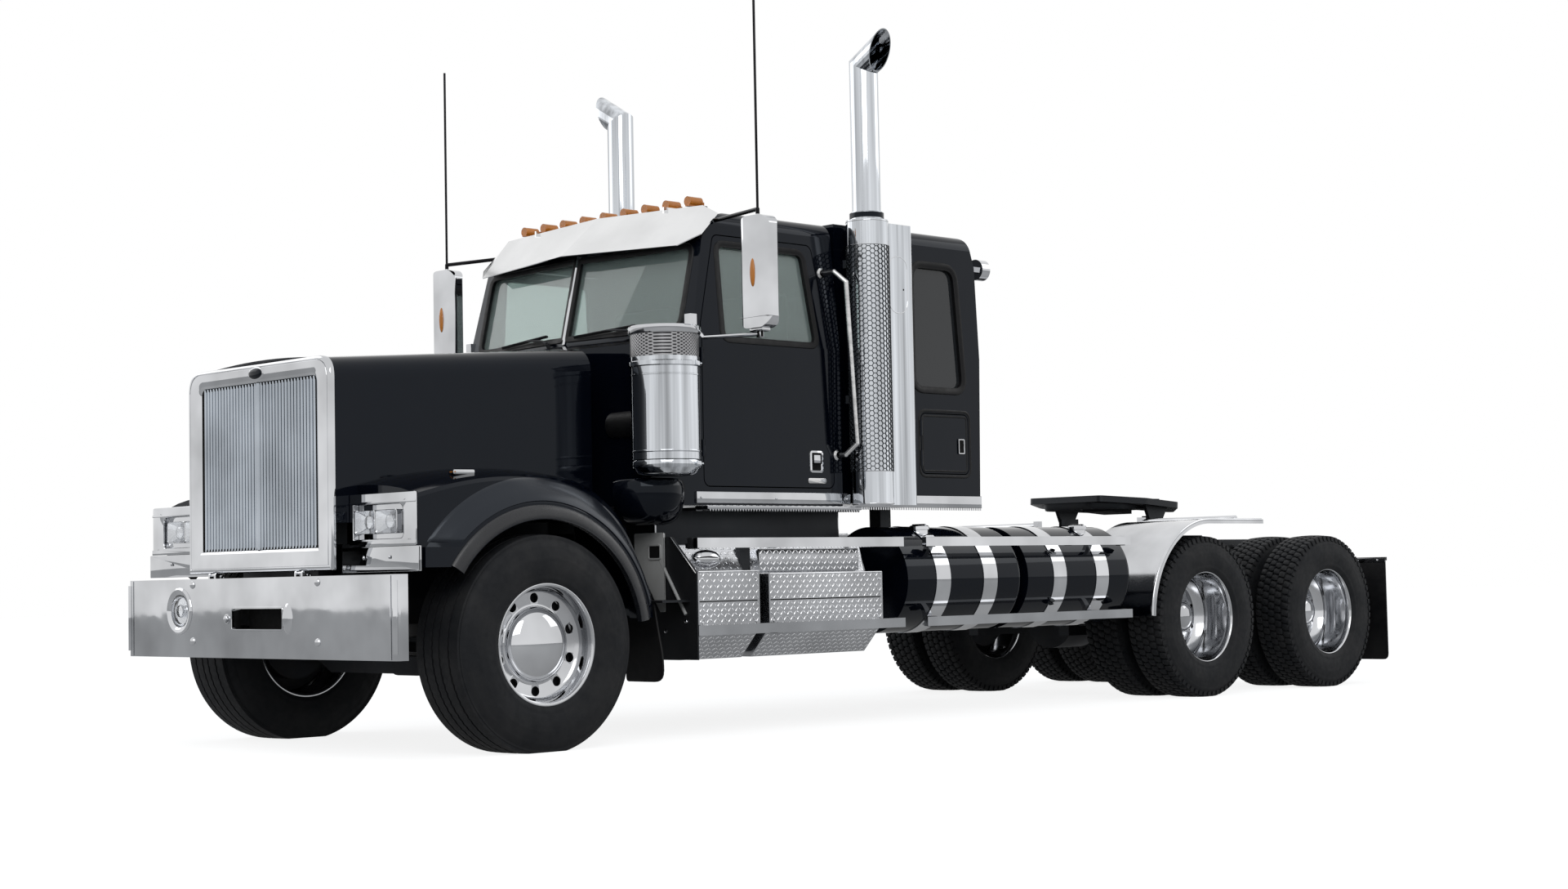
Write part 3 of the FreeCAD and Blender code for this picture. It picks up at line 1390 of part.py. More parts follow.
def make_visor():
    sheet_thick = s.visor_sheet
    corner, wing = s.cab_half_width - s.visor_corner_inset, s.cab_half_width - s.visor_wing_inset
    rows = [
        (0, s.visor_low_station, s.cab_roof + s.visor_low_rise, s.visor_high_station,
         s.cab_roof + s.visor_high_rise),
        (corner, s.visor_low_station + s.visor_sweep, s.cab_roof + s.visor_low_rise - s.visor_drop,
         s.visor_high_station + s.visor_drop, s.cab_roof + s.visor_high_rise - s.visor_drop),
        (wing, s.visor_wing_station - s.visor_sweep, s.cab_roof + s.visor_wing_low_rise,
         s.visor_wing_station + s.visor_drop, s.cab_roof + s.visor_wing_high_rise)]
    wires = []
    for x, low_y, low_z, high_y, high_z in rows:
        low, high = Vector(x, low_y, low_z), Vector(x, high_y, high_z)
        lift = Vector(0, -(high - low).z, (high - low).y).normalize() * -sheet_thick
        wires.append(Part.makePolygon([low, high, high + lift, low + lift, low]))
    half = Part.makeLoft(wires, True, True)
    visor = half.fuse(mirror_of(half))
    foot_shares = (-0.66, 0, 0.66)
    foot_low = s.cab_roof + s.visor_high_rise - 4 * s.visor_drop
    for share in foot_shares:
        low = Vector(corner * share - s.visor_sheet, s.visor_high_station, foot_low)
        foot = Part.makeBox(2 * s.visor_sheet, 2 * s.visor_sweep, 4 * s.visor_drop - s.visor_sheet, low)
        visor = visor.fuse(foot)
    visor = visor.cut([cab_form(0)] + roof_lamps()).removeSplitter()
    piece("visor", solid("visor_sheet_metal", max(visor.Solids, key=lambda part: part.Volume)))


def make_roof_lights():
    piece("roof_lights", *[solid(f"roof_light_{order}", lamp) for order, lamp in enumerate(roof_lamps())])


def make_mirrors():
    half, deep = s.mirror_width / 2, s.mirror_depth / 2
    points = plan_view([(s.mirror_offset - half, s.mirror_station - deep), (s.mirror_offset + half,
                                                                            s.mirror_station - deep),
                        (s.mirror_offset + half, s.mirror_station + deep), (s.mirror_offset - half,
                                                                            s.mirror_station + deep)],
                       s.mirror_low)
    corner = s.mirror_corner
    tall = s.mirror_high - s.mirror_low
    head = prism(rounded_wire(points, [corner, corner, corner / 3, corner / 3]), upward * tall)
    face = front_view([(s.mirror_offset - half, s.mirror_low), (s.mirror_offset + half, s.mirror_low),
                       (s.mirror_offset + half, s.mirror_high), (s.mirror_offset - half, s.mirror_high)],
                      s.mirror_station - deep)
    head = head.common(prism(rounded_wire(face, s.mirror_round), along * 2 * deep))
    radius = s.mirror_arm_radius
    root = s.cab_half_width - s.mirror_foot_inset
    high_root = Vector(root - 2 * s.mirror_foot_size / 3,
                       s.visor_wing_station + s.visor_drop, s.mirror_arm_high)
    high_end = Vector(s.mirror_offset, s.mirror_station, s.mirror_arm_high)
    low_root = Vector(root, s.mirror_foot_station, s.mirror_foot_high - s.mirror_foot_size)
    low_bend = Vector(root + 2 * s.mirror_foot_size, s.mirror_foot_station, s.mirror_arm_low)
    low_end = Vector(s.mirror_offset, s.mirror_station, s.mirror_arm_low)
    upper = bent_tube([high_root, high_end, Vector(s.mirror_offset, s.mirror_station,
                                                   s.mirror_high - radius)], radius)
    lower = bent_tube([low_root, low_bend, low_end, Vector(s.mirror_offset, s.mirror_station,
                                                           s.mirror_low + radius)], radius)
    foot = Part.makeBox(s.mirror_foot_size, s.mirror_foot_size, 3 * s.mirror_foot_size,
                        Vector(s.cab_half_width - s.mirror_foot_size,
                               s.mirror_foot_station - s.mirror_foot_size / 2,
                               s.mirror_foot_high - 3 * s.mirror_foot_size))
    aerial = straight_bar(high_end, Vector(high_end.x, high_end.y, s.aerial_top), s.aerial_radius)
    shape = head.fuse([upper, lower, aerial, foot]).cut(cab_form(0))
    shape = max(shape.Solids, key=lambda part: part.Volume)
    both_sides("mirrors", solid("mirror", shape.removeSplitter()))


def make_stacks():
    side_wall = s.sleeper_half_width
    x, y = side_wall + s.stack_out, s.stack_station
    radius, wall = s.stack_radius, s.stack_wall
    guard = Part.makeCylinder(s.guard_radius, s.guard_high - s.guard_low, Vector(x, y, s.guard_low))
    collar = Part.makeCylinder(radius + 2 * wall, s.collar_height, Vector(x, y, s.guard_high))
    bend = Vector(x, y, s.stack_bend_height)
    angle, lean = math.radians(s.stack_bend), math.radians(s.stack_mouth_lean)
    tip_line = Vector(math.sin(angle), 0, math.cos(angle))
    mouth_line = Vector(math.cos(lean), 0, -math.sin(lean))
    reach = s.stack_bend_height - s.guard_high

    def half_space(point, normal):
        space = Part.makeBox(2 * reach, 2 * reach, reach, Vector(-reach, -reach, 0))
        space.Placement = Placement(point, Rotation(upward, normal)).multiply(space.Placement)
        return space

    def pipe(size, extra):
        beyond = half_space(bend, upward + tip_line)
        upright = Part.makeCylinder(size, reach + 2 * size, Vector(x, y, s.guard_high)).cut(beyond)
        slope = Part.makeCylinder(size, s.stack_tip_reach + 6 * size, bend - tip_line * 2 * size, tip_line)
        mouth = half_space(bend + tip_line * (s.stack_tip_reach + extra), mouth_line)
        return upright.fuse(slope.common(beyond).cut(mouth))

    stack = pipe(radius, 0)
    bore = pipe(radius - wall, 2 * radius).common(half_space(bend - upward * 4 * radius, upward))
    stack = stack.cut(bore)
    panel = Part.makeBox(s.guard_panel_thick, s.guard_panel_back - s.guard_panel_station,
                         s.guard_high - s.guard_low,
                         Vector(side_wall + s.guard_panel_out, s.guard_panel_station, s.guard_low))
    ledge = Part.makeBox(s.guard_panel_out, s.guard_panel_back - s.notch_back, s.guard_panel_thick,
                         Vector(side_wall, s.notch_back, s.guard_low))
    ledges = [ledge, ledge.translated(upward * (s.guard_high - s.guard_low - s.collar_height))]
    notch_face = side_wall - s.notch_depth
    brackets = [Part.makeBox(x - notch_face - s.fit_gap, s.collar_height, s.collar_height,
                             Vector(notch_face + s.fit_gap, y - s.collar_height / 2, height))
                for height in (s.bunk_height, s.passage_high)]
    shape = guard.fuse([collar, stack, panel] + ledges + brackets).removeSplitter()
    both_sides("stacks", solid("stack", shape))


def make_air_cleaners():
    x, y = s.cab_half_width + s.cleaner_out, s.cleaner_station
    radius, band = s.cleaner_radius, s.cleaner_band
    low, high, dome = s.cleaner_low, s.cleaner_high, s.cleaner_dome
    inner = radius - band
    profile = [(0, low), (inner - dome, low), (inner, low + dome), (inner, low + 2 * dome),
               (radius, low + 2 * dome),
               (radius, low + 3 * dome), (inner, low + 3 * dome), (inner, s.cleaner_screen_low - dome),
               (radius, s.cleaner_screen_low - dome), (radius, s.cleaner_screen_low),
               (inner - band, s.cleaner_screen_low), (inner - band, s.cleaner_screen_high),
               (radius, s.cleaner_screen_high), (radius, s.cleaner_screen_high + band),
               (radius - dome, high), (0, high)]
    wire = Part.makePolygon([Vector(r, 0, z) for r, z in profile] + [Vector(0, 0, low)])
    can = Part.Face(wire).revolve(Vector(), upward, 360)
    can.translate(Vector(x, y, 0))
    duct = Part.makeBox(x - s.hood_back_half_width / 2, s.cleaner_duct_width,
                        s.cleaner_duct_high - s.cleaner_duct_low,
                        Vector(s.hood_back_half_width / 2,
                               s.cab_front - s.cleaner_duct_width + s.cab_sweep, s.cleaner_duct_low))
    duct = duct.common(Part.makeBox(x, s.cab_front, s.cab_roof, Vector(
        s.hood_back_half_width - s.hood_shoulder, s.hood_back + 3 * s.moving_gap, 0)))
    shape = can.fuse(duct).cut(cab_form(0)).removeSplitter()
    shape = max(shape.Solids, key=lambda part: part.Volume)
    both_sides("air_cleaners", solid("air_cleaner", shape))


# what shows through the glass

def make_interior():
    width, base, cushion = s.seat_width, s.seat_base, s.seat_cushion
    floor = s.cab_floor + s.cab_wall
    pedestal = Part.makeBox(base, s.seat_back - s.seat_front - cushion, s.seat_height - cushion - floor,
                            Vector(s.seat_offset - base / 2, s.seat_front + cushion / 2, floor))
    pan = Part.makeBox(width, s.seat_back - s.seat_front, cushion,
                       Vector(s.seat_offset - width / 2, s.seat_front, s.seat_height - cushion))
    pan = pan.makeFillet(cushion / 3, pan.Edges)
    rest = Part.makeBox(width, cushion, s.seat_back_high - s.seat_height + cushion,
                        Vector(s.seat_offset - width / 2, s.seat_back - cushion, s.seat_height - cushion))
    rest = rest.makeFillet(cushion / 3, rest.Edges)
    both_sides("seats", solid("seat", pedestal.fuse([pan, rest])))
    slope = s.dash_slope
    points = side_view([(s.dash_front, s.dash_low), (s.dash_back, s.dash_low), (s.dash_back,
                                                                                s.dash_high - slope),
                        (s.dash_back - slope, s.dash_high), (s.dash_front, s.dash_high)])
    wide = s.cab_half_width - s.cab_wall - s.door_gap
    dash = prism(rounded_wire(points, 0), across * 2 * wide, across * -wide)
    dash = dash.common(cab_form(s.cab_wall + s.fit_gap))
    ring = Part.makeTorus(s.wheel_ring_radius, s.wheel_rim_radius)
    half_width = s.wheel_rim_radius
    spoke = Part.makeBox(s.wheel_ring_radius, 2 * half_width, half_width, Vector(0, -half_width, -half_width / 2))
    spokes = [spoke.rotated(Vector(), upward, turn) for turn in (0, 180, 270)]
    column = Part.makeCylinder(2 * s.wheel_rim_radius, s.dash_high - s.dash_low, Vector(), upward * -1)
    wheel = ring.fuse(spokes + [column])
    wheel.rotate(Vector(), across, -(90 - s.wheel_tilt) / 2)
    wheel.translate(Vector(s.seat_offset, s.wheel_station, s.wheel_height))
    keep = Part.makeBox(s.cab_half_width, s.cab_back, s.cab_roof, Vector(0, s.dash_back - slope, s.dash_low))
    piece("dashboard", solid("dashboard_and_wheel", dash.fuse(wheel.common(keep)).removeSplitter()))


# steps, boxes, tanks and rails along each side

def make_side_equipment():
    inner, outer, toe = s.box_inner, s.box_outer, s.box_toe_inset
    boxes = []
    for name, front, back, high in (("first", s.first_box_front, s.first_box_back, s.first_box_high),
                                    ("second", s.second_box_front, s.second_box_back, s.second_box_high)):
        points = front_view([(inner, s.box_toe), (outer - toe, s.box_toe), (outer, s.box_low), (outer, high),
                             (s.box_deck_outer, high), (s.box_deck_outer, s.box_deck_high),
                             (s.box_back_outer, s.box_deck_high),
                             (s.box_back_outer, s.box_back_high), (inner, s.box_back_high)], front)
        boxes.append(solid(f"{name}_box", prism(rounded_wire(points, 0), along * (back - front))))
    piece("step_boxes", *boxes, *[mirrored(part) for part in boxes])
    tanks, straps = [], []
    tanks_back = f"({first_axle} - tank_room)"
    first_back = f"(first_tank_front + {tanks_back} - tank_gap) / 2"
    for name, front, back in (("first", "first_tank_front", first_back),
                              ("second", f"({first_back} + tank_gap)", tanks_back)):
        drum = rod(f"{name}_tank_drum", ("tank_offset", front, "tank_height"), "tank_radius",
                   f"{back} - {front}", "y")
        rounded = doc.addObject("Part::Fillet", f"{name}_tank")
        rounded.Base = drum
        rounded.Edges = [(1, s.tank_edge, s.tank_edge), (3, s.tank_edge, s.tank_edge)]
        tanks.append(rounded)
        for order, station in enumerate((f"{front} + strap_inset", f"{back} - strap_inset - strap_width")):
            hoop = rod(f"{name}_hoop_{order}", ("tank_offset", station, "tank_height"),
                       "tank_radius + strap_thick", "strap_width", "y")
            hole = rod(f"{name}_hoop_hole_{order}", ("tank_offset", f"{station} - cut_overrun",
                                                     "tank_height"),
                       "tank_radius + fit_gap", "strap_width + 2 * cut_overrun", "y")
            bracket = block(f"{name}_strap_bracket_{order}", ("rail_half_width", station,
                                                              "tank_height - strap_width"),
                            ("tank_offset - rail_half_width", "strap_width", "2 * strap_width"))
            straps.append(cut(f"{name}_strap_{order}", fused(f"{name}_strap_parts_{order}", hoop, bracket),
                              hole))
    piece("fuel_tanks", *tanks, *[mirrored(part) for part in tanks])
    piece("tank_straps", *straps, *[mirrored(part) for part in straps])
    rails = []
    hollow = rod("tank_clearance", ("tank_offset", "first_tank_front - cut_overrun", "tank_height"),
                 "tank_radius + strap_thick + fit_gap",
                 f"{tanks_back} - first_tank_front + 2 * cut_overrun", "y")
    for name, front, back, seats in (
            ("front", "splash_station + splash_thick + fit_gap", "front_step_back",
             ("first_box_front + rail_stub", "second_box_back - 2 * rail_stub")),
            ("rear", "rear_step_front", f"{tanks_back} - rear_step_inset",
             ("first_tank_front + strap_inset", f"{tanks_back} - strap_inset - strap_width"))):
        for level, height, stub_low, reach in (
                ("upper", "upper_rail_height", "upper_rail_height", "box_deck_outer + fit_gap"),
                ("lower", "lower_rail_height", "lower_rail_height + step_rail_tall / 2",
                 "box_outer + fit_gap")):
            if name == "rear":
                reach = "tank_offset"
            bar = block(f"{name}_{level}_rail", ("step_rail_offset", front, height),
                        ("step_rail_width", f"{back} - ({front})", "step_rail_tall"))
            stubs = [block(f"{name}_{level}_stub_{order}", (reach, seat, stub_low),
                           (f"step_rail_offset - ({reach})", "rail_stub", "step_rail_tall / 2"))
                     for order, seat in enumerate(seats)]
            step = fused(f"{name}_{level}_step", bar, *stubs)
            rails.append(step if name == "front" else cut(f"{name}_{level}_step_fitted", step, hollow))
    piece("step_rails", *rails, *[mirrored(part) for part in rails])
    sill = block("sill_strip", ("cab_half_width + fit_gap", "sill_front", "sill_low"),
                 ("sill_thick", "sill_back - sill_front", "sill_height"))
    tread = block("step_tread", ("cab_half_width - tread_width / 2", "tread_front", "sill_low - tread_drop"),
                  ("tread_width", "tread_back - tread_front", "tread_thick"))
    neck = block("step_neck", ("cab_half_width + fit_gap", "tread_front", "sill_low - tread_drop"),
                 ("sill_thick", "tread_back - tread_front", "tread_drop"))
    both_sides("cab_steps", fused("cab_step", sill, tread, neck))
    wall_in, out, bend = s.cab_half_width - 2 * s.cab_wall, s.cab_half_width + s.grab_reach, s.grab_corner
    low, high, swing = s.grab_station_low, s.grab_station_high, s.grab_swing
    grab = bent_tube([
        Vector(wall_in, high, s.grab_high), Vector(out - bend, high + swing / 3, s.grab_high),
        Vector(out, high + swing, s.grab_high - bend), Vector(out, low + swing, s.grab_low + bend),
        Vector(out - bend, low + swing / 3, s.grab_low), Vector(wall_in, low, s.grab_low)], s.grab_radius)
    grab = max(grab.cut(cab_form(0)).Solids, key=lambda part: part.Volume)
    both_sides("grab_bars", solid("grab_bar", grab))


# rear fenders, flaps, lamps and deck

def make_rear_fenders():
    hub, radius, thick = s.rear_hub_height, s.quarter_radius, s.quarter_sheet
    axle = s.wheelbase - s.tandem_spacing / 2

    def arch(size):
        low_turn = math.asin((s.quarter_low - hub) / size)
        start = Vector(0, axle - size * math.cos(low_turn), s.quarter_low)
        middle = Vector(0, axle - size * math.cos(math.pi / 4), hub + size * math.sin(math.pi / 4))
        top, end = Vector(0, axle, hub + size), Vector(0, axle + s.quarter_back, hub + size)
        return start, middle, top, end

    outer, inner = arch(radius + thick), arch(radius)
    wire = Part.Wire([
        Part.Arc(*outer[:3]).toShape(), Part.LineSegment(outer[2], outer[3]).toShape(),
        Part.LineSegment(outer[3], inner[3]).toShape(), Part.LineSegment(inner[3], inner[2]).toShape(),
        Part.Arc(inner[2], inner[1], inner[0]).toShape(), Part.LineSegment(inner[0], outer[0]).toShape()])
    sheet_metal = prism(wire, across * (s.quarter_outer - s.quarter_inner), across * s.quarter_inner)
    hem_arch = arch(radius - s.quarter_hem)
    hem_wire = Part.Wire([
        Part.Arc(*outer[:3]).toShape(), Part.LineSegment(outer[2], outer[3]).toShape(),
        Part.LineSegment(outer[3], hem_arch[3]).toShape(), Part.LineSegment(hem_arch[3],
                                                                            hem_arch[2]).toShape(),
        Part.Arc(hem_arch[2], hem_arch[1], hem_arch[0]).toShape(),
        Part.LineSegment(hem_arch[0], outer[0]).toShape()])
    hem = prism(hem_wire, across * thick, across * (s.quarter_outer - thick))
    tube = Part.makeCylinder(s.quarter_tube, s.quarter_outer - s.rail_half_width - 2 * thick,
                             Vector(s.rail_half_width + s.fit_gap, axle + s.quarter_back / 2,
                                    hub + radius + s.quarter_tube / 2), across)
    drop = Part.makeBox(2 * s.quarter_tube, 2 * s.quarter_tube,
                        hub + radius + 2 * s.quarter_tube - s.frame_top + s.rail_web,
                        Vector(s.rail_half_width + s.fit_gap, axle + s.quarter_back / 2 - s.quarter_tube,
                               s.frame_top - s.rail_web))
    both_sides("rear_fenders", solid("rear_fender", sheet_metal.fuse([hem, tube, drop]).removeSplitter()))


def make_flaps():
    end = s.wheelbase + s.rear_overhang
    hanger_high = s.flap_high + s.flap_hanger
    rear_flap = prism(rounded_wire(front_view([
        (s.flap_inner, s.flap_low), (s.flap_outer, s.flap_low), (s.flap_outer, s.flap_high),
        (s.flap_inner, s.flap_high)], end - s.flap_hanger), [s.flap_corner, s.flap_corner, 0, 0]),
        along * s.flap_thick)
    front_flap = prism(rounded_wire(front_view([
        (s.front_flap_inner, s.front_flap_low), (s.front_flap_outer, s.front_flap_low),
        (s.front_flap_outer, s.front_flap_high), (s.front_flap_inner, s.front_flap_high)],
        s.front_flap_station),
        [s.flap_corner, s.flap_corner, 0, 0]), along * s.flap_thick)
    left = [solid("rear_flap", rear_flap), solid("front_flap", front_flap)]
    piece("mud_flaps", *left, *[mirrored(part) for part in left])
    bar = block("rear_hanger", ("rail_half_width", f"{truck_end} - flap_hanger", "flap_high"),
                ("flap_outer - rail_half_width", "flap_hanger", "flap_hanger"))
    front_bar = block("front_hanger", ("front_flap_inner", "front_flap_station", "front_flap_high"),
                      ("front_flap_outer - front_flap_inner", "splash_station - front_flap_station - fit_gap",
                       "flap_hanger / 2"))
    hangers = [bar, front_bar]
    piece("flap_hangers", *hangers, *[mirrored(part) for part in hangers])


def make_work_lamps():
    station = s.sleeper_back - s.sleeper_lean / 4
    height, radius = s.work_lamp_height, s.work_lamp_radius
    x = s.sleeper_half_width - s.work_lamp_inset
    lamp = Part.makeCylinder(radius, s.work_lamp_length, Vector(x, station + s.work_lamp_set, height), along)
    stem = Part.makeBox(radius / 2, s.work_lamp_set + radius + s.sleeper_lean, radius / 2,
                        Vector(x - radius / 4, station - s.sleeper_lean, height - radius / 4))
    shape = lamp.fuse(stem).cut(sleeper_form(0))
    shape = max(shape.Solids, key=lambda part: part.Volume)
    both_sides("work_lamps", solid("work_lamp", shape))


def make_deck_and_coupling():
    deck = block("deck_sheet", ("-rail_half_width", "deck_front", "frame_top"),
                 ("2 * rail_half_width", "deck_back - deck_front", "deck_thick"))
    piece("deck_plate", deck)
    pin_low = "coupling_ear_offset + coupling_ear / 2 - coupling_pin_length / 2"
    base = block("coupling_base", ("-rail_half_width", "coupling_station - coupling_base_front", "frame_top"),
                 ("2 * rail_half_width", "coupling_base_front + coupling_base_back", "coupling_base_thick"))
    stands = []
    for name, side in (("left", 1), ("right", -1)):
        x = "coupling_ear_offset - coupling_stand - moving_gap / 2" if side > 0 else \
            "-coupling_ear_offset + moving_gap / 2"
        stands.append(block(f"coupling_stand_{name}", (x, "coupling_station - 2 * coupling_stand",
                                                       "frame_top"),
                            ("coupling_stand", "4 * coupling_stand",
                             "coupling_pin_height + coupling_stand - frame_top")))
        left_start, right_start = "coupling_ear_offset", "-coupling_ear_offset - coupling_ear"
        start = f"{left_start if side > 0 else right_start} - coupling_stand"
        stands.append(rod(f"coupling_pin_{name}", (start, "coupling_station", "coupling_pin_height"),
                          "coupling_pin_radius", "coupling_ear + 2 * coupling_stand", "x"))
    piece("fifth_wheel_base", fused("coupling_base_welded", base, *stands))
    make_coupling_plate()


def make_coupling_plate():
    wide, front, back = s.coupling_half_width, -s.coupling_front, s.coupling_back
    throat, slot = s.coupling_throat, s.coupling_slot
    kingpin = -s.kingpin_back / 4
    corner = wide / 3
    outline = [(-wide + corner, front), (wide - corner, front), (wide, front + 2 * corner),
               (wide, back - 2 * corner),
               (throat, back), (slot, kingpin + slot * 2), (slot, kingpin - slot), (-slot, kingpin - slot),
               (-slot, kingpin + slot * 2), (-throat, back), (-wide, back - 2 * corner),
               (-wide, front + 2 * corner)]
    top = s.coupling_top - s.coupling_pin_height
    plate = prism(rounded_wire(plan_view(outline, top - s.coupling_plate), [
        corner / 3, corner / 3, corner / 2, corner / 2, corner / 4, 0, slot / 2, slot / 2, 0, corner / 4,
        corner / 2, corner / 2]), upward * s.coupling_plate)
    jaw = Part.makeBox(2 * s.jaw_half_width, 2 * s.jaw_half_width, s.jaw_thick,
                       Vector(-s.jaw_half_width, kingpin - s.jaw_half_width,
                              top - s.coupling_plate - s.jaw_thick))
    hole = Part.makeCylinder(s.kingpin_hole, s.jaw_thick + 2 * s.cut_overrun,
                             Vector(0, kingpin, top - s.coupling_plate - s.jaw_thick - s.cut_overrun))
    ears = []
    bores = [hole]
    half_ear = s.coupling_ear_length / 2
    for side in (-1, 1):
        low = s.coupling_ear_offset if side > 0 else -s.coupling_ear_offset - s.coupling_ear
        radius = s.coupling_pin_radius + s.coupling_stand / 2
        points = [Vector(low, -half_ear, top - s.coupling_plate), Vector(low, half_ear,
                                                                         top - s.coupling_plate),
                  Vector(low, radius, -radius), Vector(low, -radius, -radius)]
        ears.append(prism(rounded_wire(points, [0, 0, radius / 2, radius / 2]), across * s.coupling_ear))
        bores.append(Part.makeCylinder(s.coupling_pin_radius + s.fit_gap, 4 * s.coupling_ear,
                                       Vector(low - s.coupling_ear, 0, 0), across))
    shape = plate.fuse([jaw] + ears).cut(bores).removeSplitter()
    shape.rotate(Vector(), across, -s.coupling_tilt)
    shape.translate(Vector(0, s.coupling_station, s.coupling_pin_height))
    piece("fifth_wheel_plate", solid("coupling_plate_casting", shape))


make_frame()
make_bumper()
make_front_axle()
make_suspension()
make_knuckles()
make_engine()
make_drive_axles()
make_front_wheels()
make_drive_wheels()
make_hood()
make_fenders()
make_headlamps()
make_cab()
make_sleeper()
make_visor()
make_roof_lights()
make_mirrors()
make_stacks()
make_air_cleaners()
make_interior()
make_side_equipment()
make_rear_fenders()
make_flaps()
make_work_lamps()
make_deck_and_coupling()

doc.recompute()
faults = [thing.Label for thing in doc.Objects if {"Invalid", "Error"} & set(thing.State)]
for whole in pieces:
    if whole.Shape.isNull() or not whole.Shape.isValid():
        faults.append(whole.Label)
if faults:
    raise RuntimeError("not built: " + ", ".join(faults))

os.makedirs("parts", exist_ok=True)
for whole in pieces:
    whole.Shape.exportStep(f"parts/{whole.Label}.step")
    print(whole.Label, len(whole.Shape.Solids), round(whole.Shape.Volume / 1e6, 2))
print(len(pieces), "sub-parts written")
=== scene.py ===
import math
import random

import bmesh
import bpy
from mathutils import Matrix, Vector
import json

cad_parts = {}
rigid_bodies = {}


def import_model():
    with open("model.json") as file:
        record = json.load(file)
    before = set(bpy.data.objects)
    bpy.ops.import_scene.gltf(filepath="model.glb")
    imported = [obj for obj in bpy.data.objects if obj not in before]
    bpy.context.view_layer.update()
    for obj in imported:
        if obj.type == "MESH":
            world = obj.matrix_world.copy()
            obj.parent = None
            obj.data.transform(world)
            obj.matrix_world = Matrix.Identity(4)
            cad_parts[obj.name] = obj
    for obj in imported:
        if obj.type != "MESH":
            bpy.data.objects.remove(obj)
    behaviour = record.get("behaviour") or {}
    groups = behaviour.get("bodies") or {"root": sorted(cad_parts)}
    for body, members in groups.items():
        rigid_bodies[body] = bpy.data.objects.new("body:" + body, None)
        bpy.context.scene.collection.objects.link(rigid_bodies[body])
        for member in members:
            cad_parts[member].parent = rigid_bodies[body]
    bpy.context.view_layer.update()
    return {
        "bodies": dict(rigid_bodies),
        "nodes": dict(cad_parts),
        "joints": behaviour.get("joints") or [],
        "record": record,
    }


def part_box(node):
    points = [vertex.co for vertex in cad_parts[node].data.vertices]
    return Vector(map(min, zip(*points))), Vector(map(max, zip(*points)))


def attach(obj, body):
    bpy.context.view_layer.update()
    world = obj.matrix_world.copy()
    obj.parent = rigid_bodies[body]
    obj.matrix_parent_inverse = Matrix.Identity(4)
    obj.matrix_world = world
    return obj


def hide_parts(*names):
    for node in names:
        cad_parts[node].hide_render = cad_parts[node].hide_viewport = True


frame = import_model()
nodes = frame["nodes"]
scene = bpy.context.scene
scene.view_settings.view_transform = "Standard"
random.seed(7)

axleLow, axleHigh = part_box("front_axle")
axleY = (axleLow.y + axleHigh.y) / 2    # stations are measured back from the front axle


def place(x, station, z):
    return Vector((x, station + axleY, z))


def sideWord(side):
    return "left" if side > 0 else "right"


# a node that holds both sides is replaced by the left piece
def leftOnly(side, name):
    return [name] if side > 0 else []


# shader maths
class Wire:
    def __init__(self, owner, socket):
        self.owner, self.socket = owner, socket

    def maths(self, operation, *values):
        return self.owner.node("ShaderNodeMath", {"operation": operation}, dict(enumerate(values)))

    def __add__(self, other):
        return self.maths("ADD", self, other)

    def __radd__(self, other):
        return self.maths("ADD", other, self)

    def __sub__(self, other):
        return self.maths("SUBTRACT", self, other)

    def __rsub__(self, other):
        return self.maths("SUBTRACT", other, self)

    def __mul__(self, other):
        return self.maths("MULTIPLY", self, other)

    def __rmul__(self, other):
        return self.maths("MULTIPLY", other, self)

    def __gt__(self, other):
        return self.maths("GREATER_THAN", self, other)

    def __lt__(self, other):
        return self.maths("LESS_THAN", self, other)

    def wave(self):
        return self.maths("SINE", self)


class Nodes:
    def __init__(self, tree):
        self.tree = tree

    def node(self, kind, settings, sockets, out=0):
        made = self.tree.nodes.new(kind)
        for word, value in settings.items():
            setattr(made, word, value)
        for key, value in sockets.items():
            self.feed(made.inputs[key], value)
        return Wire(self, made.outputs[out] if made.outputs else None)

    def feed(self, socket, value):
        if isinstance(value, Wire):
            self.tree.links.new(value.socket, socket)
        elif isinstance(value, tuple) and len(value) == 3 and socket.type == "RGBA":
            socket.default_value = (*value, 1)
        else:
            socket.default_value = value


class Finish(Nodes):
    def __init__(self, name, **fixed):
        self.material = bpy.data.materials.new(name)
        self.material.use_nodes = True
        super().__init__(self.material.node_tree)
        self.shader = self.tree.nodes["Principled BSDF"]
        for word, value in fixed.items():
            self.give(word.replace("_", " "), value)
        self.spot = self.node("ShaderNodeTexCoord", {}, {}, "Object")

    def give(self, word, value):
        self.feed(self.shader.inputs[word], value)

    def noise(self, scale, detail=3, spot=None):
        sockets = {"Vector": spot or self.spot, "Scale": scale, "Detail": detail}
        return self.node("ShaderNodeTexNoise", {}, sockets)

    def range(self, value, low, high, newLow=0.0, newHigh=1.0):
        return self.node("ShaderNodeMapRange", {}, {"Value": value, "From Min": low, "From Max": high,
                                                    "To Min": newLow, "To Max": newHigh})

    def blend(self, share, first, second):
        return self.node("ShaderNodeMix", {"data_type": "RGBA"}, {0: share, 6: first, 7: second}, 2)

    def stretched(self, scales):
        return self.node("ShaderNodeMapping", {}, {"Vector": self.spot, "Scale": scales})

    def split(self):
        made = self.tree.nodes.new("ShaderNodeSeparateXYZ")
        self.feed(made.inputs[0], self.spot)
        return [Wire(self, out) for out in made.outputs]

    def bump(self, height, depth):
        self.give("Normal", self.node("ShaderNodeBump", {}, {"Height": height, "Distance": depth}))
        return self


